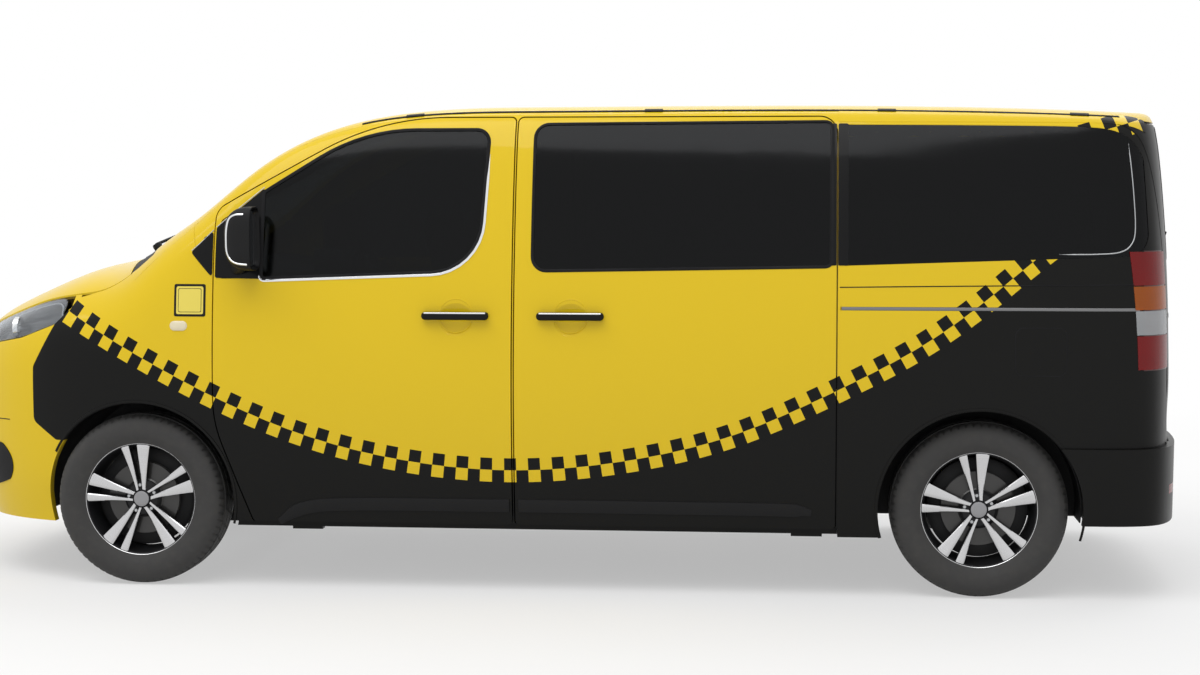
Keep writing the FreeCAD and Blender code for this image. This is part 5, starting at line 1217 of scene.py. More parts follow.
def patch(corners: Corners, side: Side, rows: int, columns: int, lift: float) -> Array:
    """Grid that fills a rounded outline on one flank, from its middle outwards.

    Args:
        corners: x, z and fillet radius of the outline.
        side: which flank.
        rows: steps from the middle to the edge.
        columns: points of the outline.
        lift: distance off the surface.

    Returns:
        Array of shape (rows, columns, 3); the first row is a point-sized ring.
    """
    edge = rounded_outline(corners, columns)
    middle = edge.mean(axis=0)
    flat = middle + (edge - middle)[None] * np.linspace(0.002, 1.0, rows)[:, None, None]
    points = FORM.on_flank(flat[..., 0], flat[..., 1], side)
    return points + FORM.normal(points) * lift


def plate(name: str, grid: Array, depth: Array, finish: Finish, body: str = Body.MAIN.value,
          slot: str = "black_plastic") -> Piece:
    """Thin closed plate from a filled outline.

    Args:
        name: name of the piece.
        grid: front face, as patch gives it.
        depth: vectors from the front to the back.
        finish: its finish.
        body: body it rides on.
        slot: record slot.

    Returns:
        The finished object.
    """
    back = grid + depth
    shell = Shell(name).grid(grid, wrap_v=True).grid(back, wrap_v=True)
    shell.grid(np.stack([grid[-1], back[-1]]), wrap_v=True).cap(grid[0]).cap(back[0])
    return shell.build(finish, body=body, slot=slot)


# Wheels

@dataclass
class Tyre:
    """Tyre with grooves round it, sipes across its ribs and a bulged wall."""

    radius: float = 0.3393
    bead: float = 0.2175
    width: float = 0.2235
    groove_depth: float = 0.0072
    grooves: tuple[float, ...] = (-0.066, -0.023, 0.023, 0.066)
    groove_width: float = 0.0105
    bevel: float = 0.0012
    pitches: int = 70
    steps: int = 420
    cut_share: float = 0.17
    shoulder_depth: float = 0.0055
    rib_depth: float = 0.003

    def profile(self) -> tuple[Array, Array]:
        """Closed profile of radius and place along the axle, and which points are tread.

        Returns:
            Array of shape (n, 2), and a mask of n.
        """
        half, edge = self.width / 2.0, self.groove_width / 2.0
        wall = [(self.bead, -0.08), (self.bead + 0.004, -0.0925), (0.232, -0.0985), (0.245, -0.1055),
                (0.262, -0.1105), (0.28, -half), (0.296, -0.1108), (0.309, -0.106), (0.319, -0.099)]
        tread_y = [-0.092]
        for middle in self.grooves:
            tread_y += [middle - edge - self.bevel, middle - edge, middle - edge * 0.7, middle + edge * 0.7,
                        middle + edge, middle + edge + self.bevel]
            after = [g for g in self.grooves if g > middle]
            if after:
                tread_y += list(np.linspace(middle + edge + self.bevel, after[0] - edge - self.bevel, 6)[1:-1])
        tread_y = np.array(tread_y + [0.092])
        crown = self.radius - 0.03 * (np.abs(tread_y) / half) ** 4.5
        left = np.array(wall)
        inner = np.array([(self.bead + 0.006, 0.07), (0.26, 0.088), (0.298, 0.07), (0.318, 0.0),
                          (0.298, -0.07), (0.26, -0.088), (self.bead + 0.006, -0.07)])
        line = np.vstack([left, np.column_stack([crown, tread_y]), left[::-1] * np.array([1.0, -1.0]), inner])
        is_tread = np.zeros(len(line), bool)
        is_tread[len(left):len(left) + len(tread_y)] = True
        return line, is_tread

    def grid(self, centre: Point) -> Array:
        """Turned profile with the tread's relief.

        The radius drops in the grooves round the tyre, and again where the share of a pitch,
        slanted with the place across, is below the width of a cut.

        Args:
            centre: middle of the tyre.

        Returns:
            Array of points round the tyre and along its profile.
        """
        line, is_tread = self.profile()
        turn = np.arange(self.steps)[:, None] / self.steps * self.pitches
        y = line[None, :, 1]
        slant = np.sign(y) * np.abs(y) * 14.0
        shoulder = np.abs(y) > self.grooves[-1]
        narrow = np.mod(turn + slant, 1.0) < self.cut_share
        cut = np.where(shoulder, narrow, narrow & (np.mod(np.floor(turn + slant), 2) < 1))
        depth = np.where(shoulder, self.shoulder_depth, self.rib_depth) * cut
        distance = np.min(np.abs(y[..., None] - np.array(self.grooves)), axis=-1)
        groove = distance <= self.groove_width / 2.0 * 0.71
        drop = np.where(groove, self.groove_depth, depth * (distance > self.groove_width / 2.0)) * is_tread
        angle = np.arange(self.steps)[:, None] / self.steps * 2.0 * np.pi
        radius = line[None, :, 0] - drop
        return xyz(centre[0] + radius * np.cos(angle), centre[1] + y, centre[2] + radius * np.sin(angle))


@dataclass
class AlloyWheel:
    """Alloy wheel with five pairs of unlike spokes, machined on their faces.

    Profiles are pairs of radius and reach outwards.
    """

    end: str
    side: Side
    centre: Point
    pair_angles: tuple[float, ...] = (98.0, 170.0, 242.0, 314.0, 26.0)
    rim_inner: float = 0.2135
    lug_radius: float = 0.054
    barrel: Profile = (
        (0.2325, 0.0925), (0.232, 0.0945), (0.2295, 0.0955), (0.2245, 0.094), (0.2195, 0.0905),
        (0.215, 0.087), (0.212, 0.078), (0.21, 0.05), (0.201, 0.01), (0.1985, -0.03),
        (0.206, -0.07), (0.223, -0.088), (0.229, -0.093), (0.231, -0.09), (0.228, -0.086),
        (0.216, -0.076), (0.211, -0.066), (0.204, -0.03), (0.206, 0.01), (0.2145, 0.048),
        (0.2165, 0.076), (0.222, 0.086), (0.2285, 0.09))
    hub: Profile = (
        (0.035, 0.0778), (0.0362, 0.0762), (0.0375, 0.07), (0.062, 0.067), (0.073, 0.056),
        (0.074, 0.0475), (0.033, 0.047), (0.033, 0.076))
    cap: Profile = (
        (0.0005, 0.0815), (0.016, 0.0812), (0.027, 0.0802), (0.03, 0.079), (0.0318, 0.076),
        (0.0318, 0.06), (0.0005, 0.06))
    bolt: Profile = ((0.0004, 0.0715), (0.0062, 0.0713), (0.0074, 0.07), (0.0078, 0.06), (0.0004, 0.06))

    def face(self, radius: Array) -> Array:
        """How far the spoke faces stand out from the tyre's middle at a radius."""
        return 0.0745 + 0.016 * np.clip((radius - 0.05) / 0.16, 0.0, 1.0) ** 1.4

    def place(self, radius: Array | float, lateral: Array | float, out: Array | float, angle: float) -> Array:
        """Points of the wheel from their place beside a line from its middle.

        Args:
            radius: distance from the axle.
            lateral: distance beside the line.
            out: reach outwards.
            angle: direction of the line in degrees.

        Returns:
            Array of points.
        """
        along = np.sqrt(np.maximum(radius ** 2 - lateral ** 2, 0.0))
        turn, sign, (x, y, z) = math.radians(angle), self.side.value, self.centre
        right = along * math.cos(turn) - lateral * math.sin(turn)
        up = along * math.sin(turn) + lateral * math.cos(turn)
        return xyz(x - sign * right, y + sign * out, z + up)

    def spoke(self, shell: Shell, angle: float, wide: bool) -> None:
        """One spoke: a face between two edges that spread towards the rim, and its flanks.

        Args:
            shell: shell it is added to.
            angle: middle of its pair in degrees.
            wide: whether it is the wide spoke of the pair.
        """
        radius = np.linspace(0.036, self.rim_inner + 0.003, 26)[:, None]
        share = (radius - 0.036) / (self.rim_inner - 0.033)
        turn = -1.0 if wide else 1.0
        inner = turn * (0.0068 + 0.0105 * share ** 1.1)
        outer = turn * ((0.0205 + 0.0465 * share ** 1.2) if wide else (0.0172 + 0.032 * share ** 1.15))
        across = np.linspace(0.0, 1.0, 9)
        lateral = inner + (outer - inner) * across
        chamfer = 0.003 * (np.abs(2.0 * across - 1.0) ** 6)
        out = self.face(radius) - chamfer - 0.004 * np.abs(across - 0.3) * share
        shell.between(self.place(radius, lateral, out, angle),
                      self.place(radius, lateral * 0.94, out - 0.03 + 0.006 * share, angle), 0, 1)

    def build(self) -> None:
        """Makes the wheel on its corner in place of the plain one."""
        out, centre, corner = self.side.value, self.centre, f"{self.end}_{self.side.word}"
        shell = Shell(f"alloy_wheel_{corner}")
        barrel = lathe(np.array(self.barrel) * np.array([1.0, out]), 180, centre)
        for part, slot in ((barrel[:, :5], 0), (barrel[:, 4:], 1), (barrel[:, [-1, 0]], 1)):
            shell.grid(part, wrap_u=True, slot=slot)
        for angle in self.pair_angles:
            self.spoke(shell, angle, True)
            self.spoke(shell, angle, False)
        shell.turned(self.hub, 90, centre, out, 1).turned(self.cap, 64, centre, out, 2)
        for angle in self.pair_angles:
            shell.turned(self.bolt, 6, self.place(self.lug_radius, 0.0, 0.0, angle), out, 3)
        wheel = shell.build(Brushed(f"machined_{self.end}", axle=(centre[0], centre[2])),
                            Plain("wheel_black", (0.01, 0.01, 0.011), 0.48, specular=0.22),
                            Plain("wheel_cap", (0.3, 0.3, 0.31), 0.35, metallic=0.9), Shades.SATIN,
                            body=Body.wheel(self.end, self.side), slot="wheel_alloy", smooth_angle=28.0)
        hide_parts(f"wheel_{corner}")


@dataclass
class Corner:
    """One wheel with its tyre, brake disc and a dark dust cover behind it, partly real and partly painted shade that
    hides the floor between the spokes; profiles as for the wheel.
    """

    end: str
    side: Side
    disc: Profile = (
        (0.078, 0.038), (0.142, 0.038), (0.142, 0.03), (0.136, 0.029), (0.136, 0.023),
        (0.142, 0.022), (0.142, 0.014), (0.078, 0.014))
    hat: Profile = ((0.04, 0.044), (0.07, 0.044), (0.078, 0.038), (0.078, 0.03), (0.04, 0.03))
    # Dust cover profile: it reaches almost to the wheel's barrel, wider than the real part, as painted shade that
    # hides the floor between the spokes
    shield: Profile = (
        (0.045, 0.006), (0.15, 0.006), (0.18, 0.004), (0.1925, -0.002), (0.1925, -0.024),
        (0.19, -0.024), (0.19, -0.003), (0.178, 0.001), (0.15, 0.002), (0.045, 0.002))

    @property
    def centre(self) -> tuple[float, float, float]:
        """Middle of the tyre."""
        x, track = (FRONT_AXLE_X, FRONT_HALF_TRACK) if self.end == "front" else (REAR_AXLE_X, REAR_HALF_TRACK)
        return (x, self.side.value * track, AXLE_Z)

    def build(self) -> None:
        """Makes tyre, wheel, dust cover and disc; the dark dust cover is partly painted shade."""
        centre, out, end = self.centre, self.side.value, self.end
        axle, corner = (centre[0], centre[2]), f"{end}_{self.side.word}"
        body = Body.wheel(end, self.side)
        tyre = Shell(f"tread_tyre_{corner}").grid(Tyre().grid(centre), wrap_u=True, wrap_v=True) \
            .build(Tread(f"tyre_rubber_{end}", axle=axle), body=body, slot="tyre_rubber", smooth_angle=30.0)
        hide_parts(f"tyre_{corner}")
        AlloyWheel(end, self.side, centre).build()
        # Dark disc behind the brake: partly the real dust cover, partly painted shade in place of the shade under the
        # body
        Shell(f"brake_shield_{corner}").turned(self.shield, 96, centre, out) \
            .build(Shades.IRON, body=Body.knuckle(self.side) if end == "front" else Body.MAIN.value,
                   slot="chassis_iron")
        Shell(f"brake_disc_{corner}").turned(self.disc, 96, centre, out).turned(self.hat, 96, centre, out) \
            .build(Brushed(f"disc_steel_{end}", (0.055, 0.054, 0.053), 0.42, axle, 1500.0), body=body,
                   slot="chassis_iron")


# Outside fittings

class Windows(Enum):
    """Side windows as shares of station, height and corner radius."""

    FRONT = ((0.1545, 0.6398, 0.004), (0.1545, 0.8123, 0.004), (0.2718, 0.9391, 0.37),
             (0.4223, 0.9391, 0.024), (0.413, 0.6562, 0.105))
    SLIDING = ((0.4788, 0.6567, 0.026), (0.4788, 0.95, 0.026), (0.8272, 0.954, 0.012),
               (0.8272, 0.6672, 0.012))

    def outline(self, grow: float) -> list[tuple[float, float, float]]:
        """Outline in metres, moved out.

        Args:
            grow: distance outwards.

        Returns:
            Place along the body, height and fillet radius of each corner.
        """
        flat = np.array([(float(FORM.station(s)), z * FORM.body_height) for s, z, _ in self.value])
        before, after = np.roll(flat, 1, axis=0), np.roll(flat, -1, axis=0)
        turn = np.sign(np.sum(flat[:, 0] * after[:, 1] - after[:, 0] * flat[:, 1]))
        one, two = (unit(v)[:, ::-1] * np.array([1.0, -1.0]) * turn for v in (flat - before, after - flat))
        shift = (one + two) / (1.0 + np.sum(one * two, axis=1, keepdims=True))
        return [(x, z, max(0.004, r * FORM.body_height + grow))
                for (x, z), (_, _, r) in zip(flat + shift * grow, self.value)]


@dataclass
class Handle:
    """Pull handle: a flat grip round the solid bar, its feet, and the lip of the hand cup."""

    name: str
    x: float
    body_of: Callable[[Side], str]
    height: float = 1.075
    half: float = 0.115
    reach: float = 0.022
    grip: tuple[float, float] = (0.0315, 0.024)
    cup: float = 0.0645

    def build(self, side: Side) -> None:
        """Makes the grip with a bright upper edge, two feet, and the lip of the cup.

        The grip's section is a superellipse that shrinks at both ends as the root of
        1 - (u / cap)^2, where u is how far a ring lies beyond the bar's end.

        Args:
            side: side of the vehicle.
        """
        body, out = self.body_of(side), side.value
        cap = self.grip[0] / 2.0
        x = self.x + (self.half + cap) * np.sin(np.linspace(-np.pi / 2.0, np.pi / 2.0, 60))
        beyond = np.maximum(0.0, np.abs(x - self.x) - self.half) / cap
        taper = np.sqrt(np.clip(1.0 - beyond ** 2, 0.004, 1.0))
        face = out * (float(FORM.flank(self.x, self.height)) + self.reach)
        path, normal = xyz(x, face, self.height), (0.0, out, 0.0)
        shell = Shell(f"{self.name}_grip_{side.word}").rod(path, normal, (*self.grip, 28, 2.8), 0, taper)
        shell.rod(path[8:-8] + [0.0, out * 0.0098, 0.0112], normal, (0.006, 0.0044, 10), 1, taper[8:-8])
        t = np.linspace(0.0, 1.0, 6)
        for end in (-self.half, self.half):
            foot = xyz(self.x + end, face - t * out * (self.reach + 0.001), self.height)
            shell.rod(foot, (1.0, 0.0, 0.0), (0.025, 0.0215, 24, 3.0), 0, 1.0 + 0.12 * t ** 3)
        shell.build(Shades.GLOSS_BLACK, Shades.CHROME, body=body)
        rim = FORM.on_flank(self.x + self.cup * np.cos(circle(96)), self.height + self.cup * np.sin(circle(96)), side)
        Shell(f"{self.name}_cup_lip_{side.word}").loop(rim, FORM.normal(rim), (0.005, 0.0022, 10)) \
            .build(Shades.YELLOW, body=body, slot="body_paint")


@dataclass
class Sides:
    """Everything fixed to the flanks: handles, seals, strips, covers, rails, lamps and flap."""

    side: Side

    def strip(self, name: str, corners: Corners, width: float, depth: float, finish: Finish,
              **more: object) -> None:
        """Moulding of this side, named for it."""
        moulding(f"{name}_{self.side.word}", corners, self.side, width, depth, finish, **more)

    def build(self) -> None:
        """Makes all fittings of one side."""
        Handle("front_handle", -0.3285, Body.door).build(self.side)
        Handle("sliding_handle", 0.1165, lambda _: Body.MAIN.value).build(self.side)
        self.panes()
        self.rails()
        self.roof()
        self.wing()
        self.arches()

    def panes(self) -> None:
        """Seals and bright lines round the panes, and the black covers of the rear pillar."""
        side, word, door = self.side, self.side.word, Body.door(self.side)
        self.strip("front_window_seal", Windows.FRONT.outline(0.004), 0.014, 0.006, Shades.SEAL, body=door,
                   count=260, closed=True)
        self.strip("sliding_window_seal", Windows.SLIDING.outline(0.004), 0.012, 0.005, Shades.SEAL,
                   count=260, closed=True)
        # Bright strip below and behind the front window, and a fine line along the pillar's edge
        ring = rounded_outline(Windows.FRONT.outline(0.0125), 460)
        under = (ring[:, 1] < 1.29) & (ring[:, 0] > -1.11)
        behind = (ring[:, 0] > -0.3) & (ring[:, 1] < 1.7)
        line = ring[under | behind]
        first = int(np.argmax(np.linalg.norm(np.diff(line, axis=0, append=line[:1]), axis=1))) + 1
        self.strip("waist_strip", np.roll(line, -first, axis=0), 0.0115, 0.006, Shades.CHROME, body=door,
                   count=220, taper=lambda t: np.clip(np.minimum(t, 1.0 - t) * 14.0, 0.15, 1.0))
        self.strip("pillar_line_wing", [(-1.3775, 1.3215), (-1.334, 1.36), (-1.2915, 1.4025)], 0.0035, 0.003,
                   Shades.SATIN, count=40)
        self.strip("pillar_line_door", [(-1.2795, 1.4135), (-1.19, 1.4905), (-1.095, 1.569)], 0.0035, 0.003,
                   Shades.SATIN, body=door, count=40)
        for name, x0, x1 in (("door", 1.103, 1.1291), ("quarter", 1.135, 1.173)):
            corners = [(x, z, 0.003) for x, z in ((x0, 1.272), (x1, 1.272), (x1, 1.8125), (x0, 1.8125))]
            grid = patch(corners, side, 10, 160, 0.0014)
            plate(f"pillar_cover_{name}_{word}", grid, -FORM.normal(grid) * 0.0024, Shades.GLOSS_BLACK)
        self.strip("rear_pane_line", [(1.96, 1.3155), (2.1, 1.317), (2.185, 1.3245), (2.228, 1.352),
                                      (2.245, 1.41), (2.24, 1.56), (2.226, 1.735)],
                   0.0042, 0.003, Shades.SATIN, count=140,
                   taper=lambda t: np.clip(np.minimum(t, 1.0 - t) * 12.0, 0.2, 1.0))

    def rails(self) -> None:
        """Closing strip below the roof, sill strips, and the rail of the sliding door."""
        turn = np.radians(np.linspace(38.3, 42.4, 7))
        along = np.linspace(1.1365, 2.3, 90)[:, None]
        edge = FORM.cast(xyz(along, 0.0, 1.2), xyz(0.0, np.cos(turn), np.sin(turn)), 2.0)
        edge = self.side.flip(edge)
        inward = FORM.normal(edge)
        Shell(f"roof_edge_{self.side.word}").slab(edge + inward * 0.0012, -inward * 0.003) \
            .build(Shades.LIVERY, slot="body_paint")
        self.strip("front_sill_strip", [(-1.035, 0.262), (-0.93, 0.318), (-0.72, 0.336), (-0.125, 0.338)],
                   0.052, 0.014, Shades.BLACK_PLASTIC, body=Body.door(self.side), power=5.0,
                   taper=lambda t: np.clip(0.45 + 6.0 * t, 0.0, 1.0))
        self.strip("sliding_sill_strip", [(-0.088, 0.338), (0.4, 0.338), (0.93, 0.336), (1.04, 0.326)],
                   0.052, 0.014, Shades.BLACK_PLASTIC, power=5.0,
                   taper=lambda t: np.clip(0.45 + 10.0 * (1.0 - t), 0.0, 1.0))
        self.strip("slide_rail", [(1.15, 1.11), (1.6, 1.11), (2.262, 1.11)], 0.0125, 0.005,
                   Shades.RAIL_METAL, power=5.0, lift=-0.0035)
        self.strip("rail_cover_edge", [(1.142, 1.19), (1.6, 1.196), (2.24, 1.203)], 0.004, 0.003,
                   Shades.SEAL, count=100)

    def roof(self) -> None:
        """Strip in the roof ditch, and the four caps on it."""
        word, q = self.side.word, self.side.value * 0.925
        ditch = smooth_path([(-0.73, 1.868), (-0.2, 1.882), (0.6, 1.886), (1.4, 1.88), (2.2, 1.862)], 160)
        points = FORM.top(ditch[:, 0], q)
        Shell(f"roof_strip_{word}").rod(points, FORM.normal(points), (0.016, 0.006, 10, 4.0)).build(Shades.SEAL)
        for i, at in enumerate((-0.52, 0.42, 1.32, 2.05)):
            ends = FORM.top(np.linspace(at - 0.035, at + 0.035, 12), q)
            Shell(f"roof_rail_cap_{word}_{i}") \
                .rod(ends + [0.0, 0.0, 0.002], FORM.normal(ends), (0.024, 0.009, 12, 4.0)) \
                .build(Shades.BLACK_PLASTIC)

    def wing(self) -> None:
        """Side lamp, blank framed sticker, and the gap of the filler flap."""
        side, word = self.side, self.side.word
        lamp = [(x, z, 0.0195) for x, z in ((-1.458, 1.049), (-1.388, 1.049), (-1.388, 1.01), (-1.458, 1.01))]
        grid = patch(lamp, side, 10, 60, 0.0)
        rise = 0.0075 * np.sqrt(1.0 - np.linspace(0.0, 1.0, 10) ** 2) + 0.0006
        normal = FORM.normal(grid)
        dome = normal * rise[:, None, None]
        plate(f"side_lamp_{word}", grid + dome, -dome * 0.9 - normal * 0.001, Shades.SIDE_LAMP, slot="lamp_lens")
        x0, x1, z0, z1 = -1.441, -1.315, 1.066, 1.192
        for name, inset, lift, finish in (("frame", 0.0, 0.0008, Shades.BLACK_PLASTIC),
                                          ("face", 0.009, 0.0013, Shades.PALE_YELLOW),
                                          ("line", 0.0165, 0.0016, Shades.BLACK_PLASTIC),
                                          ("middle", 0.0185, 0.0019, Shades.PALE_YELLOW)):
            left, right, low, high = x0 + inset, x1 - inset, z0 + inset, z1 - inset
            square = [(x, z, 0.006) for x, z in ((left, low), (right, low), (right, high), (left, high))]
            grid = patch(square, side, 14, 80, lift)
            plate(f"sticker_{name}_{word}", grid, -FORM.normal(grid) * 0.0008, finish, slot="body_paint")
        if side is Side.LEFT:
            flap = [(x, z, 0.03) for x, z in ((1.8, 0.86), (1.99, 0.86), (1.99, 1.04), (1.8, 1.04))]
            moulding("filler_flap_gap", flap, side, 0.0035, 0.0012, Shades.SEAL, count=140, closed=True)

    def arches(self) -> None:
        """Step between floor and sill, inner band of the rear arch, and the lips of the arches."""
        side, word, out = self.side, self.side.word, self.side.value
        section = smooth_path([(0.804, 0.4815), (0.828, 0.476), (0.8385, 0.45), (0.8455, 0.37),
                               (0.848, 0.302)], 16)
        step = xyz(np.linspace(-1.165, 1.115, 60)[:, None], out * section[:, 0], section[:, 1])
        Shell(f"sill_step_{word}").slab(step, (0.0, -out * 0.003, -0.001)).build(Shades.TRIM)
        turn = np.radians(np.linspace(-4.0, 184.0, 120))[:, None]
        outwards = xyz(np.cos(turn), 0.0, np.sin(turn))
        band = [REAR_AXLE_X, 0.0, AXLE_Z] + 0.3895 * outwards + xyz(0.0, out * np.linspace(0.844, 0.915, 6), 0.0)
        Shell(f"arch_band_{word}").slab(band, outwards * 0.002).build(Shades.BLACK_PLASTIC)
        for end, centre, finish, turns in (
                ("front", FRONT_AXLE_X, Shades.LIVERY, np.linspace(-13.0, 152.0, 130)),
                ("rear", REAR_AXLE_X, Shades.BLACK_PAINT, np.linspace(-16.0, 196.0, 150))):
            turn = np.radians(turns)
            at = FORM.on_flank(centre + 0.392 * np.cos(turn), AXLE_Z + 0.392 * np.sin(turn), side)
            normal = FORM.normal(at)
            Shell(f"arch_lip_{end}_{word}").rod(at + normal * 0.0008, normal, (0.01, 0.006, 10, 3.0)) \
                .build(finish, slot="body_paint")


@dataclass
class DoorMirror:
    """Door mirror: domed housing, arm, glass and a bright edge."""

    side: Side
    width: float = 0.158
    height: float = 0.246
    depth: float = 0.112
    centre: tuple[float, float, float] = (-1.12, 1.0195, 1.372)

    def build(self) -> None:
        """Makes the mirror, its bright edge and the covers at its foot."""
        self.housing()
        self.edge()
        self.covers()

    def housing(self) -> None:
        """Makes housing, glass and arm in place of the plain mirror.

        Rings of a superellipse shrink as (1 - t^2.6)^(1/2.6) towards the front of the housing.
        """
        out, columns = self.side.value, 72
        ring = ring_section(self.width, self.height, columns, 4.2)
        ring[:, 0] *= 1.0 - 0.1 * (ring[:, 1] / self.height)
        t = np.sin(np.linspace(0.0, np.pi / 2.0, 22))
        scale = np.clip(1.0 - t ** 2.6, 0.0, 1.0) ** (1.0 / 2.6)
        scale[-1] = 0.01
        scale = np.concatenate([[0.9, 0.93, 0.96, 0.985], scale])[:, None]
        depth = np.concatenate([[-0.01, 0.0, 0.0035, 0.003], -t * self.depth])[:, None]
        rows = xyz(self.centre[0] + 0.02 + depth, out * (self.centre[1] + ring[:, 0] * scale),
                   self.centre[2] + ring[:, 1] * scale)
        shell = Shell(f"mirror_housing_{self.side.word}").grid(rows[3:], wrap_v=True)
        shell.grid(rows[:4], wrap_v=True, slot=1).cap(rows[-1], 0)
        face = rows[0] + (rows[0].mean(axis=0) - rows[0]) * 0.02
        shell.grid(np.stack([rows[0], face]), wrap_v=True, slot=1)
        centre = face.mean(axis=0)
        shell.grid(centre + (face - centre) * np.linspace(1.0, 0.002, 8)[:, None, None], wrap_v=True, slot=2)
        arm = self.side.flip(smooth_path([(-1.205, 0.893, 1.262), (-1.188, 0.925, 1.262), (-1.165, 0.962, 1.277),
                                          (-1.15, 0.99, 1.3)], 24))
        shell.rod(arm, (0.0, 0.0, 1.0), (0.052, 0.066, 24, 3.0), 0, np.linspace(1.05, 0.85, 24))
        mirror = shell.build(Shades.BLACK_PLASTIC, Shades.GLOSS_BLACK, Shades.MIRROR, body=Body.door(self.side))
        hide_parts(f"mirror_{self.side.word}")

    def edge(self) -> None:
        """Bright line in the shape of a C on the outer side of the housing."""
        flat = smooth_path([(0.2, 0.094), (0.52, 0.091), (0.74, 0.074), (0.83, 0.035), (0.84, -0.01),
                            (0.81, -0.052), (0.66, -0.082), (0.42, -0.095), (0.08, -0.099)], 110)
        shrink = (1.0 - flat[:, 0] ** 2.6) ** (1.0 / 2.6)
        share = np.clip(np.abs(flat[:, 1]) / (shrink * self.height / 2.0), 0.0, 0.995)
        reach = self.width / 2.0 * shrink * (1.0 - share ** 4.2) ** (1.0 / 4.2) \
            * (1.0 - 0.1 * flat[:, 1] / self.height)
        x, y, z = self.centre
        line = self.side.flip(xyz(x + 0.02 - flat[:, 0] * self.depth, y + reach, z + flat[:, 1]))
        normal = unit(line - self.side.flip(np.array([x, y - 0.06, z])))
        Shell(f"mirror_edge_{self.side.word}").rod(line, normal, (0.0085, 0.0048, 10, 2.6)) \
            .build(Shades.CHROME, body=Body.door(self.side))

    def covers(self) -> None:
        """Black covers of the window's front corner, on the door and on the wing."""
        door_part = [(-1.2795, 1.2165, 0.006), (-1.2795, 1.4105, 0.006), (-1.092, 1.5665, 0.004),
                     (-1.092, 1.213, 0.004)]
        wing_part = [(-1.379, 1.315, 0.01), (-1.2915, 1.3995, 0.006), (-1.2915, 1.2175, 0.006)]
        for name, corners, body in (("door", door_part, Body.door(self.side)), ("wing", wing_part, Body.MAIN.value)):
            grid = patch(corners, self.side, 12, 110, 0.0018)
            plate(f"corner_cover_{name}_{self.side.word}", grid, -FORM.normal(grid) * 0.0032,
                  Shades.GLOSS_BLACK, body)


@dataclass
class Headlamp:
    """Swept headlamp: clear cover over a dark bowl with two reflectors and a light guide."""

    side: Side

    def cover(self, inset: float, rows: int, columns: int, low: float, high: float) -> Array:
        """Grid between the lamp's lower and upper edges, moved in along the normal.

        The lower edge is a curve in front view; the upper one follows the bonnet's edge. Each
        row is found on the nose surface by its place across and its height.

        Args:
            inset: distance inwards.
            rows: rows from the lower edge upwards.
            columns: points across.
            low: share of the height at the first row.
            high: share of the height at the last row.

        Returns:
            Array of shape (rows, columns, 3).
        """
        bottom = smooth_path([(0.442, 0.912), (0.52, 0.9165), (0.64, 0.931), (0.745, 0.953), (0.802, 0.975),
                              (0.8465, 1.026)], columns)
        top = smooth_path([(0.446, 0.9745), (0.5, 0.983), (0.56, 1.013), (0.62, 1.051), (0.68, 1.0915),
                           (0.72, 1.114), (0.762, 1.129), (0.802, 1.109), (0.8465, 1.054)], columns)
        flat = bottom + (top - bottom) * np.linspace(low, high, rows)[:, None, None]
        points = FORM.on_end(flat[..., 0], flat[..., 1], -1.0)
        return self.side.flip(points - FORM.normal(points) * inset)

    def build(self) -> Piece:
        """Makes the clear cover, and the bowl with all that lies in it.

        The bowl's depth follows a bump over both directions, with steps as in a stamped shell.

        Returns:
            The clear cover.
        """
        rows, columns, word = 26, 90, self.side.word
        lens = Shell(f"headlamp_cover_{word}") \
            .between(self.cover(0.001, 14, 60, 0.02, 0.98), self.cover(0.0045, 14, 60, 0.02, 0.98)) \
            .build(Shades.LENS, slot="lamp_lens")
        u, v = np.linspace(0.0, 1.0, rows)[:, None], np.linspace(0.0, 1.0, columns)
        rim = self.cover(0.0, rows, columns, 0.03, 0.97)
        normal = self.side.flip(FORM.normal(self.side.flip(rim)))
        dish = np.minimum(1.0, np.minimum(u, 1.0 - u) / 0.16) * np.minimum(1.0, np.minimum(v, 1.0 - v) / 0.06)
        steps = 0.0025 * np.floor(np.mod(u * 6.0, 2.0))
        bowl = rim - normal * (0.006 + (0.038 - steps) * dish)[..., None]
        shell = Shell(f"headlamp_bowl_{word}").slab(bowl, -normal * 0.003)
        for across, up, size in ((0.34, 0.5, 0.034), (0.62, 0.52, 0.04)):
            spot = int(up * (rows - 1)), int(across * (columns - 1))
            self.reflector(shell, bowl[spot] + normal[spot] * 0.002, size)
        guide = self.cover(0.012, 1, 70, 0.9, 0.9)[0]
        along = normal[-3, np.linspace(0, columns - 1, 70).astype(int)]
        shell.rod(guide[2:-2], along[2:-2], (0.007, 0.006, 10), 2)
        shell.build(Plain("lamp_shell", (0.17, 0.175, 0.18), 0.3, metallic=0.5), Shades.REFLECTOR,
                    Shades.WHITE_LENS, Shades.LENS, slot="lamp_lens")
        return lens

    def reflector(self, shell: Shell, centre: Array, size: float) -> None:
        """Reflector with a rim, and the ball of a bulb in it, facing forwards.

        Args:
            shell: shell they are added to.
            centre: deepest point.
            size: radius of the reflector.
        """
        t, forwards = np.linspace(0.0, 1.0, 10), (-1.0, 0.0, 0.0)
        radius = np.concatenate([np.maximum(size * np.sqrt(t), 0.0006), [size, size * 1.1, size * 1.1]])
        reach = np.concatenate([0.022 * t, [0.024, 0.024, 0.004]])
        shell.knob(np.column_stack([radius, reach]), 48, centre, forwards, 1)
        turn = np.linspace(0.0, np.pi / 2.0, 9)
        ball = np.column_stack([np.maximum(size * 0.52 * np.cos(turn), 0.0004), 0.01 + size * 0.4 * np.sin(turn)])
        shell.knob(ball, 48, centre, forwards, 3)


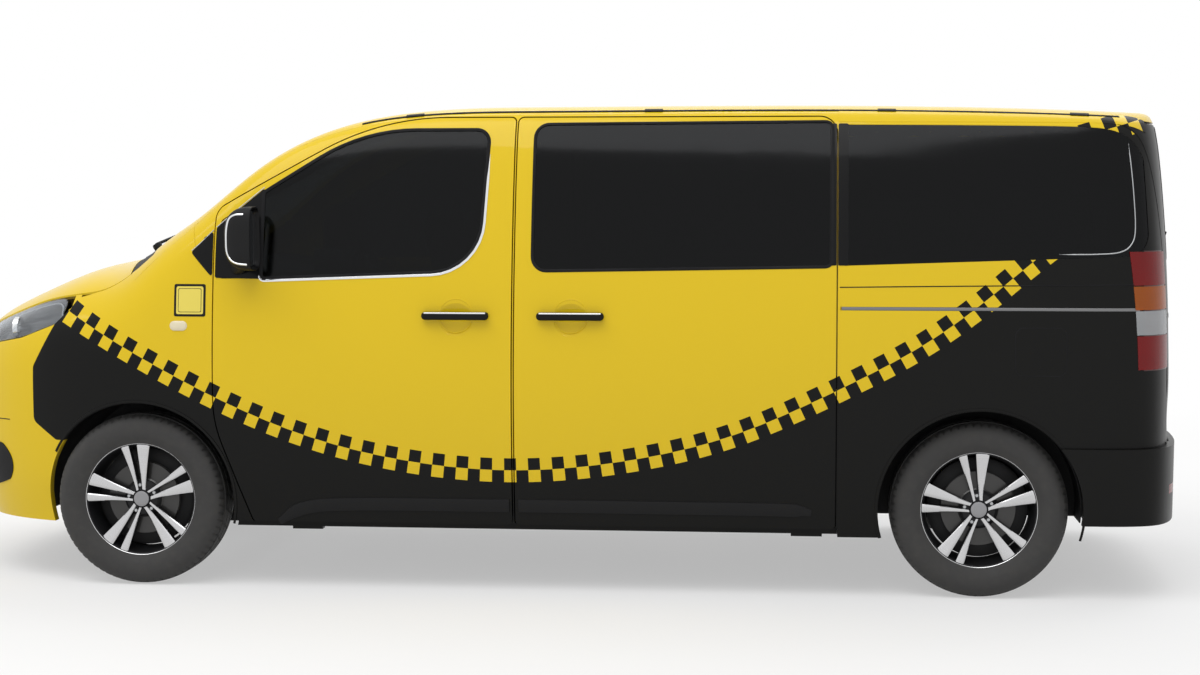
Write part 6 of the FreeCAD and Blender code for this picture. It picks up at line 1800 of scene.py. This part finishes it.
@dataclass
class Nose:
    """Front fittings: headlamps, grille bars, lower lamps, plate, wipers and cowl vents."""

    def bar(self, shell: Shell, half: float, z: float, width: float, depth: float, lift: float = 0.0) -> None:
        """Level bar across the nose, wrapped round the front face.

        Args:
            shell: shell it is added to.
            half: half its length.
            z: its height.
            width: width of its section.
            depth: depth of its section.
            lift: how far it stands off the face.
        """
        points = FORM.on_end(np.linspace(-half, half, 90), z, -1.0)
        normal = FORM.normal(points)
        shell.rod(points + normal * lift, normal, (width, depth, 12, 3.4))

    def build(self) -> None:
        """Makes all fittings of the nose."""
        covers = [Headlamp(side).build() for side in BOTH_SIDES]
        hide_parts("headlamps")
        bars = Shell("grille_bars")
        for i in range(4):
            self.bar(bars, 0.405, 0.818 + 0.032 * i, 0.007, 0.008, -0.006)
        bars.build(Shades.CHROME)
        lower = Shell("intake_mesh")
        for y in np.linspace(-0.515, 0.515, 47):
            points = FORM.on_end(y, np.linspace(0.366, 0.545, 12), -1.0)
            normal = FORM.normal(points)
            lower.rod(points - normal * 0.022, normal, (0.006, 0.008, 6))
        lower.build(Shades.BLACK_PLASTIC)
        seam = Shell("bumper_lines")
        self.bar(seam, 0.8, 0.64, 0.004, 0.002)
        self.bar(seam, 0.62, 0.322, 0.022, 0.012)
        seam.build(Shades.BLACK_PLASTIC)
        for side in BOTH_SIDES:
            self.low_lamp(side)
        self.plate_holder()
        self.wipers()
        self.vents()

    def low_lamp(self, side: Side) -> None:
        """Round lower lamp in a dark surround, sunk into the bumper's corner.

        Args:
            side: side of the vehicle.
        """
        across, up = np.linspace(-1.0, 1.0, 41), np.linspace(-1.0, 1.0, 25)[:, None]
        y = side.value * (0.675 + 0.115 * across * np.sqrt(1.0 - 0.38 * up ** 2))
        z = 0.455 + 0.092 * up * np.sqrt(1.0 - 0.38 * across ** 2) + 0.14 * (np.abs(y) - 0.675)
        points = FORM.on_end(y, z, -1.0)
        normal = FORM.normal(points)
        shell = Shell(f"low_lamp_{side.word}").slab(points + normal * 0.0035, -normal * 0.01)
        centre, axis = points[12, 20], normal[12, 20]
        one, angle = unit(np.cross(axis, [0.0, 0.0, 1.0])), circle(48)[:, None, None]
        radius = np.array((0.0004, 0.03, 0.044, 0.046, 0.05, 0.052))[:, None]
        lift = np.array((0.013, 0.011, 0.006, 0.01, 0.011, 0.003))[:, None]
        ring = centre + axis * lift + (one * np.cos(angle) + np.cross(one, axis) * np.sin(angle)) * radius
        shell.grid(ring[:, :3], wrap_u=True, slot=1).grid(ring[:, 2:], wrap_u=True, slot=2)
        shell.build(Shades.BLACK_PLASTIC, Shades.WHITE_LENS, Shades.SATIN)

    def plate_holder(self) -> None:
        """Blank number plate on a holder across the bumper."""
        y, z = np.linspace(-0.262, 0.262, 30), np.linspace(0.6, 0.712, 8)[:, None]
        points = xyz(FORM.on_end(0.0, 0.655, -1.0)[0] - 0.001 + 0.12 * y ** 2, y, z)
        Shell("front_plate_holder").slab(points - [0.004, 0.0, 0.0], (0.008, 0.0, 0.0)) \
            .build(Shades.BLACK_PLASTIC)
        inner = points * [1.0, 0.985, 1.0]
        inner[..., 2] = 0.656 + (inner[..., 2] - 0.656) * 0.93
        Shell("front_plate").slab(inner - [0.0058, 0.0, 0.0], (0.003, 0.0, 0.0)).build(Shades.WHITE)

    def wipers(self) -> None:
        """Two wiper arms with blades that lie on the windscreen."""
        for i, (foot, tip) in enumerate((((-1.634, -0.51), (-1.465, 0.06)), ((-1.672, 0.16), (-1.47, 0.6)))):
            x, y = np.linspace(foot, tip, 40).T
            points = FORM.top(x, y / FORM.half)
            normal = FORM.normal(points)
            lift = 1.3 * (0.022 - 0.01 * np.linspace(0.0, 1.0, 40))[:26, None]
            shell = Shell(f"wiper_{i}").rod(points[:26] + normal[:26] * lift, normal[:26],
                                            (0.02, 0.01, 12, 3.0), 0, np.linspace(1.2, 0.6, 26))
            shell.rod(points[8:] + normal[8:] * 0.011, normal[8:], (0.009, 0.016, 10, 3.0))
            shell.knob([(0.0005, 0.034), (0.016, 0.032), (0.019, 0.024), (0.019, 0.0)], 32, points[0], normal[0])
            shell.build(Shades.BLACK_PLASTIC)

    def vents(self) -> None:
        """Slotted strip along the foot of the windscreen."""
        shell = Shell("cowl_slots")
        for q in np.linspace(-0.62, 0.62, 42):
            points = FORM.top(-1.735 + 0.055 * (abs(q) / 0.62) ** 2 + np.linspace(0.012, 0.046, 6), q)
            shell.rod(points, FORM.normal(points), (0.006, 0.004, 8, 4.0))
        shell.build(Shades.SEAL)


@dataclass
class Tail:
    """Rear fittings: lamps, handle strip, plate, wiper, high lamp and reflectors."""

    def face(self, y: Array, z: Array, lift: float = 0.0) -> Array:
        """Points of the rear face, moved off it.

        Args:
            y: places across.
            z: heights.
            lift: distance off the face.

        Returns:
            Array of points.
        """
        points = FORM.on_end(y, z, 1.0)
        return points + FORM.normal(points) * lift

    def sheet(self, name: str, half: float, heights: tuple[float, float], counts: tuple[int, int], out: float,
              depth: float, finish: Finish, slot: str = "black_plastic") -> None:
        """Sheet that lies on the tailgate.

        Args:
            name: name of the piece.
            half: half its width.
            heights: its lower and upper edge.
            counts: points across and up.
            out: how far its outside stands off the face.
            depth: its thickness.
            finish: its finish.
            slot: record slot.
        """
        y, z = np.linspace(-half, half, counts[0]), np.linspace(*heights, counts[1])[:, None]
        Shell(name).slab(self.face(y, z) + [out, 0.0, 0.0], (-depth, 0.0, 0.0)) \
            .build(finish, body=Body.TAILGATE.value, slot=slot)

    def build(self) -> None:
        """Makes all fittings of the tail."""
        gate = Body.TAILGATE.value
        grid = self.face(np.linspace(-0.46, 0.46, 60), np.linspace(1.03, 1.098, 8)[:, None], 0.003)
        bulge = np.sin(np.linspace(0.0, np.pi, 8))[:, None, None] * np.array([0.01, 0.0, 0.0])
        Shell("gate_grip_strip").slab(grid + bulge, (-0.006, 0.0, 0.0)).build(Shades.GLOSS_BLACK, body=gate)
        self.sheet("gate_plate_panel", 0.285, (0.862, 1.012), (40, 12), 0.003, 0.006, Shades.BLACK_PLASTIC)
        self.sheet("gate_plate", 0.26, (0.88, 0.992), (30, 6), 0.006, 0.0025, Shades.WHITE)
        edge = rounded_outline([(-0.6, 1.288, 0.045), (0.6, 1.288, 0.045), (0.566, 1.797, 0.045),
                                (-0.566, 1.797, 0.045)], 240)
        points = self.face(edge[:, 0], edge[:, 1])
        Shell("gate_window_seal").loop(points, FORM.normal(points), (0.014, 0.005, 10, 3.0)) \
            .build(Shades.SEAL, body=gate)
        self.wiper()
        self.sheet("high_brake_lamp", 0.15, (1.802, 1.811), (30, 4), 0.002, 0.004, Shades.RED_LENS, "red_lens")
        for side in BOTH_SIDES:
            self.lamp(side)
        step = Shell("bumper_step")
        y = np.linspace(-0.62, 0.62, 80)
        x = FORM.on_end(y, 0.56, 1.0)[:, 0] + 0.01 * np.cos(y * 2.0)
        for off in (0.0, 0.016, 0.032):
            step.rod(xyz(x - off, y, 0.5865), (0.0, 0.0, 1.0), (0.007, 0.005, 8, 3.0))
        step.build(Shades.BLACK_PLASTIC)

    def wiper(self) -> None:
        """Makes the wiper of the rear window."""
        arm = self.face(*np.linspace((0.02, 1.255), (-0.3, 1.345), 40).T)
        blade = self.face(*np.linspace((-0.1, 1.299), (-0.5, 1.392), 40).T, 0.007)
        normal = FORM.normal(arm)
        shell = Shell("gate_wiper").rod(arm + normal * 0.012, normal, (0.016, 0.008, 12, 3.0), 0,
                                        np.linspace(1.2, 0.7, 40))
        shell.rod(blade, FORM.normal(blade), (0.008, 0.01, 8))
        shell.knob([(0.0005, 0.022), (0.02, 0.02), (0.024, 0.012), (0.024, -0.002)], 32, arm[0], normal[0])
        shell.build(Shades.BLACK_PLASTIC, body=Body.TAILGATE.value)

    def lamp(self, side: Side) -> None:
        """Tail lamp cover of four fields, and a reflector in the bumper.

        Args:
            side: side of the vehicle.
        """
        angle = np.radians(np.linspace(37.5, 47.0, 34))
        for i, (low, high, finish) in enumerate((
                (0.884, 1.01, Shades.RED_LENS), (1.014, 1.104, Shades.WHITE_LENS),
                (1.108, 1.196, Shades.AMBER_LENS), (1.2, 1.326, Shades.RED_LENS))):
            points = FORM.cast(xyz(float(FORM.station(0.91)), 0.0, np.linspace(low, high, 16)[:, None]),
                               xyz(np.cos(angle), np.sin(angle), 0.0), 3.0)
            normal = FORM.normal(points)
            Shell(f"tail_lens_{side.word}_{i}") \
                .slab(side.flip(points + normal * 0.0012), side.flip(-normal * 0.005)) \
                .build(finish, slot="red_lens")
        y, z = side.value * np.linspace(0.62, 0.8, 24), np.linspace(0.4, 0.435, 6)[:, None]
        Shell(f"rear_reflector_{side.word}").slab(self.face(y, z) + [0.02736, 0.0, 0.0], (-0.012, 0.0, 0.0)) \
            .build(Shades.RED_LENS, slot="red_lens")


# Cabin

@dataclass
class Seat:
    """Padded seat: cushion, backrest with side bolsters, headrest, shell and legs."""

    name: str
    x: float
    y: float
    width: float
    floor: float = 0.482

    def pad(self, length: float, width: float, thick: float, bolster: float, channels: int) -> Array:
        """Closed pad as rings over its length, before it is placed.

        The section is a superellipse; its top rises at both sides by the bolster, and dips by a
        few millimetres at each stitched channel across the length.

        Args:
            length: its length.
            width: its width.
            thick: its thickness.
            bolster: rise of its sides.
            channels: parts between stitched channels.

        Returns:
            Array of rings.
        """
        t = np.linspace(0.0, 1.0, 64)[:, None]
        wide, thin = ring_section(width, thick, 56, 4.5).T
        end = np.clip(1.0 - np.abs(2.0 * t - 1.0) ** 9, 0.0, 1.0) ** (1.0 / 3.0)
        end[[0, -1]] = 0.02
        edge = (np.abs(wide) / (width / 2.0)) ** 2.6
        phase = np.mod(t * channels, 1.0)
        seam = 0.007 * np.exp(-(np.minimum(phase, 1.0 - phase) / 0.07) ** 2)
        rise = (thin > 0.0) * (bolster * edge - seam * (np.abs(wide) < 0.31 * width) * (t > 0.06))
        return xyz(t * length, wide * (0.35 + 0.65 * end), (thin + rise) * end)

    def placed(self, pad: Array, origin: Point, lean: float) -> Array:
        """Pad turned about Y and moved to its place in the seat.

        Args:
            pad: points of the pad.
            origin: where its start goes, from the seat's own origin.
            lean: turn in degrees.

        Returns:
            Array of points.
        """
        turn = math.radians(lean)
        x, y, z = np.moveaxis(pad, -1, 0)
        moved = xyz(x * math.cos(turn) - z * math.sin(turn), y, x * math.sin(turn) + z * math.cos(turn))
        return moved + origin + self.origin

    @property
    def origin(self) -> Array:
        """Front of the seat on the floor."""
        return np.array([self.x, self.y, self.floor])

    def build(self) -> Piece:
        """Makes the seat.

        Returns:
            The finished object.
        """
        wide, shell = self.width, Shell(self.name)
        shell.tube(self.placed(self.pad(0.475, wide, 0.125, 0.026, 4), (0.012, 0.0, 0.352), 4.0)[::-1])
        shell.tube(self.placed(self.pad(0.6, wide * 0.96, 0.1, 0.03, 5), (0.495, 0.0, 0.405), 104.0)[::-1])
        shell.tube(self.placed(self.pad(0.165, 0.255, 0.085, 0.0, 1), (0.655, 0.0, 0.992), 100.0), slot=1)
        for off in (-0.055, 0.055):
            post = lathe_up(np.array([(0.006, 0.0), (0.006, 0.09)]), 12, self.origin + [0.645, off, 0.93],
                            (0.007, 0.0, 0.09))
            shell.tube(post.transpose(1, 0, 2), slot=2)
        ring = rounded_outline([(0.06, 0.09, 0.03), (0.44, 0.09, 0.03), (0.46, 0.29, 0.03), (0.03, 0.29, 0.03)], 60)
        shell.tube(self.origin + xyz(ring[:, 0], np.array([[-0.41], [0.41]]) * wide, ring[:, 1]), slot=3)
        for off in (-0.36 * wide, 0.36 * wide):
            rail = self.origin + xyz(np.array([0.01, 0.25, 0.49]), off, 0.012)
            shell.rod(rail, (0.0, 0.0, 1.0), (0.045, 0.022, 12, 6.0), 2)
            for at in (0.1, 0.4):
                leg = self.origin + xyz(at, off, np.array([0.012, 0.11]))
                shell.rod(leg, (1.0, 0.0, 0.0), (0.03, 0.05, 12, 5.0), 2)
        return shell.build(Shades.CLOTH, Shades.SIDE_CLOTH, Shades.DARK_METAL, Shades.TRIM,
                           slot="seat_fabric", smooth_angle=50.0)


@dataclass
class Cabin:
    """Seats, steering wheel, dashboard fittings and linings."""

    def build(self) -> None:
        """Makes everything inside the cabin."""
        three = ((-0.442, 0.425), (0.0, 0.425), (0.442, 0.425))
        for node, x, places in (("front_seats", -0.815, ((-0.4, 0.505), (0.39, 0.505))),
                                ("second_row_seats", 0.085, three), ("third_row_seats", 0.985, three)):
            made = [Seat(f"{node}_{i}", x, y, width).build() for i, (y, width) in enumerate(places)]
            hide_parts(node)
        self.steering_wheel()
        self.dashboard()
        self.linings()

    def steering_wheel(self) -> None:
        """Rim, three spokes, boss and stalks, on the tilt of the column."""
        low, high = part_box("steering_wheel")
        centre = np.array([(low[0] + high[0]) / 2.0, -0.4, (low[2] + high[2]) / 2.0])
        tilt = math.radians(30.0)
        axis, up = np.array([math.cos(tilt), 0.0, math.sin(tilt)]), np.array([-math.sin(tilt), 0.0, math.cos(tilt)])
        side, angle = np.array([0.0, 1.0, 0.0]), circle(120)[:, None]
        shell = Shell("steering_wheel_rim")
        shell.loop(centre + 0.176 * (np.cos(angle) * side + np.sin(angle) * up), axis, (0.031, 0.029, 18))
        reach = np.linspace(0.045, 0.17, 14)[:, None]
        for turn in (0.0, np.pi, 1.5 * np.pi):
            ray = math.cos(turn) * side + math.sin(turn) * up
            path = centre + ray * reach - axis * (0.028 * (1.0 - (reach - 0.045) / 0.125))
            shell.rod(path, axis, (0.04, 0.014, 16, 3.0), 1, np.linspace(1.3, 0.75, 14))
        shell.knob([(0.0006, 0.012), (0.04, 0.01), (0.062, 0.0), (0.068, -0.018), (0.06, -0.045),
                    (0.0006, -0.048)], 48, centre - axis * 0.022, axis, 1)
        wheel = shell.build(Plain("wheel_leather", (0.012, 0.012, 0.013), 0.5, grain=0.0008), Shades.TRIM)
        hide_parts("steering_wheel")
        column = Shell("steering_column").knob([(0.0006, -0.06), (0.045, -0.06), (0.05, -0.1), (0.056, -0.2),
                                                (0.0006, -0.205)], 32, centre, axis)
        for out in (-side, side):
            start = centre - axis * 0.115 + out * 0.045
            column.rod(np.linspace(start, start + out * 0.125 + up * 0.02, 10), axis, (0.014, 0.012, 12))
        column.build(Shades.TRIM)

    def dashboard(self) -> None:
        """Instrument hood, dials, centre display, vents and heater controls."""
        face_x, _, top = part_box("dashboard")[1]
        rearwards = (1.0, 0.0, 0.0)
        t = np.linspace(0.0, np.pi, 24)
        hood = xyz(np.linspace(face_x - 0.2, face_x - 0.045, 8)[:, None], -0.4 + 0.165 * np.cos(t),
                   top - 0.03 + 0.075 * np.sin(t))
        Shell("instrument_hood").slab(hood, (0.0, 0.0, -0.01)).build(Shades.TRIM)
        dials = Shell("instrument_dials")
        for y in (-0.475, -0.325):
            dials.knob([(0.0006, 0.003), (0.046, 0.003), (0.05, 0.008), (0.055, 0.008), (0.055, -0.02)], 48,
                       np.array([face_x - 0.19, y, top]), (1.0, 0.0, 0.12))
        dials.build(Shades.DISPLAY)
        screen = xyz(face_x + 0.004, np.linspace(-0.105, 0.105, 8),
                     np.linspace(top - 0.125, top - 0.005, 6)[:, None])
        Shell("centre_display").slab(screen, (-0.02, 0.0, 0.0)).build(Shades.DISPLAY)
        vents = Shell("dashboard_vents")
        for middle in (-0.66, -0.165, 0.165, 0.66):
            for i in range(6):
                line = xyz(face_x + 0.003, middle + np.array([-0.042, 0.042]), top - 0.105 + 0.016 * i)
                vents.rod(line, rearwards, (0.005, 0.006, 8, 4.0))
        vents.build(Shades.SATIN)
        controls = Shell("heater_controls")
        for y in (-0.07, 0.0, 0.07):
            controls.knob([(0.0006, 0.018), (0.018, 0.018), (0.021, 0.014), (0.022, 0.0)], 32,
                          np.array([face_x + 0.002, y, top - 0.2]), rearwards)
        controls.build(Shades.SATIN)

    def linings(self) -> None:
        """Door cards with a raised arm rest and ribs, and the roof lining."""
        for side in BOTH_SIDES:
            x, z = np.linspace(-1.02, -0.19, 60), np.linspace(0.34, 1.17, 40)[:, None]
            inward = np.array([0.0, -side.value, 0.0])
            relief = 0.01 * np.exp(-((z - 0.78) / 0.055) ** 2) + 0.004 * np.sin(x * 9.0) * (z < 0.6)
            card = FORM.on_flank(x, z, side) + inward * (0.0772 + relief[..., None])
            Shell(f"door_card_{side.word}").slab(card, -inward * 0.0015).build(Shades.TRIM, body=Body.door(side))
        lining = FORM.top(np.linspace(-0.42, 2.2, 60)[:, None], np.linspace(-0.8, 0.8, 40)) - [0.0, 0.0, 0.052]
        Shell("roof_lining").slab(lining, (0.0, 0.0, 0.004)).build(Shades.PALE_TRIM, slot="seat_fabric")


# Stage

@dataclass
class Stage:
    """Floor, lamps and camera."""

    width: float = 4.581
    distance: float = 8.2
    yaw: float = 5.5
    height: float = 1.55
    ambient: float = 0.66
    aim: tuple[float, float, float] = (0.139, 0.0, 0.93)
    half_depth: float = 0.96
    sensor: float = 36.0

    def lamp(self, name: str, place: Point, power: float) -> None:
        """Soft lamp that looks at the middle of the vehicle.

        Args:
            name: name of the lamp.
            place: where it hangs.
            power: its power in watts.
        """
        data = bpy.data.lights.new(name, "AREA")
        data.shape, data.size, data.size_y, data.energy = "RECTANGLE", 12.0, 6.5, power
        made = bpy.data.objects.new(name, data)
        bpy.context.scene.collection.objects.link(made)
        made.location = place
        made.rotation_euler = (Vector((0.0, 0.0, 0.8)) - Vector(place)).to_track_quat("-Z", "Y").to_euler()

    def build(self) -> None:
        """Makes the stage."""
        scene = bpy.context.scene
        mesh = bpy.data.meshes.new("floor")
        mesh.from_pydata([(-40, -40, 0), (40, -40, 0), (40, 40, 0), (-40, 40, 0)], [], [(0, 1, 2, 3)])
        floor = bpy.data.objects.new("floor", mesh)
        scene.collection.objects.link(floor)
        mesh.materials.append(StudioFloor("floor_paint").material())
        world = bpy.data.worlds.new("studio")
        scene.world = world
        world.use_nodes = True
        g = Graph(world.node_tree)
        back = world.node_tree.nodes["Background"]
        back.inputs[0].default_value = (1.0, 1.0, 1.0, 1.0)
        g.feed(back.inputs[1], g.remap(g.shown(), 0.0, 1.0, self.ambient, 1.0))
        self.lamp("key_lamp", (-2.5, -5.0, 9.5), 600.0)
        self.lamp("back_lamp", (2.0, 5.5, 9.0), 460.0)
        turn, centre = math.radians(self.yaw), Vector(self.aim)
        reach = self.distance + self.half_depth
        data = bpy.data.cameras.new("camera")
        camera = bpy.data.objects.new("camera", data)
        scene.collection.objects.link(camera)
        camera.location = centre + Vector((math.sin(turn) * reach, -math.cos(turn) * reach, self.height - centre.z))
        camera.rotation_euler = (centre - camera.location).to_track_quat("-Z", "Y").to_euler()
        data.sensor_width = self.sensor
        data.lens = self.sensor * self.distance / self.width
        scene.camera = camera
        scene.view_settings.view_transform = "Standard"


# Finishes of the carried solids

NODE_FINISHES: tuple[tuple[Finish, str], ...] = (
    (Shades.LIVERY, "front_wings sliding_doors body_side_left body_side_right front_door_left front_door_right"),
    (Shades.ROOF, "roof_panel"),
    (Shades.YELLOW, "front_bumper bonnet"),
    (Shades.BLACK_PAINT, "tailgate rear_bumper"),
    (Shades.BLACK_PLASTIC, "scuttle_panel front_grille wheel_arch_liners fuel_tank"),
    (Shades.SCREEN_GLASS, "windscreen"),
    (Shades.FRONT_GLASS, "front_glass_left front_glass_right"),
    (Shades.DARK_GLASS, "fixed_side_glass tailgate_glass"),
    (Plain("lamp_housing", (0.05, 0.01, 0.01), 0.3), "tail_lamps"),
    (Shades.IRON, "front_subframe rear_axle steering_knuckle_left steering_knuckle_right"),
    (Shades.UNDERSEAL, "floor_pan"),
    (Shades.CAST, "engine_block"),
    (Shades.STEEL, "exhaust"),
    (Shades.TRIM, "dashboard"),
)


def paint_nodes() -> None:
    """Gives each carried node its finish."""
    for finish, names in NODE_FINISHES:
        for name in names.split():
            materials = frame["nodes"][name].data.materials
            materials.clear()
            materials.append(finish.material())


def visual_box() -> tuple[Array, Array]:
    """Box of all pieces except the stage, from their vertices at rest.

    Returns:
        Least and greatest corner.
    """
    lows, highs = [], []
    for piece in bpy.data.objects:
        if piece.type != "MESH" or piece.name == "floor":
            continue
        flat = np.zeros(len(piece.data.vertices) * 3, np.float32)
        piece.data.vertices.foreach_get("co", flat)
        points = flat.reshape(-1, 3)
        lows.append(points.min(axis=0))
        highs.append(points.max(axis=0))
    return np.min(lows, axis=0), np.max(highs, axis=0)


def main() -> None:
    """Builds the whole vehicle and its stage, in order."""
    logging.basicConfig(level=logging.INFO, format="%(name)s: %(message)s")
    paint_nodes()
    for end in ("front", "rear"):
        for side in BOTH_SIDES:
            Corner(end, side).build()
    for side in BOTH_SIDES:
        Sides(side).build()
        DoorMirror(side).build()
    Nose().build()
    Tail().build()
    Cabin().build()
    Stage().build()
    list(visual_box())


if __name__ == "__main__":
    main()
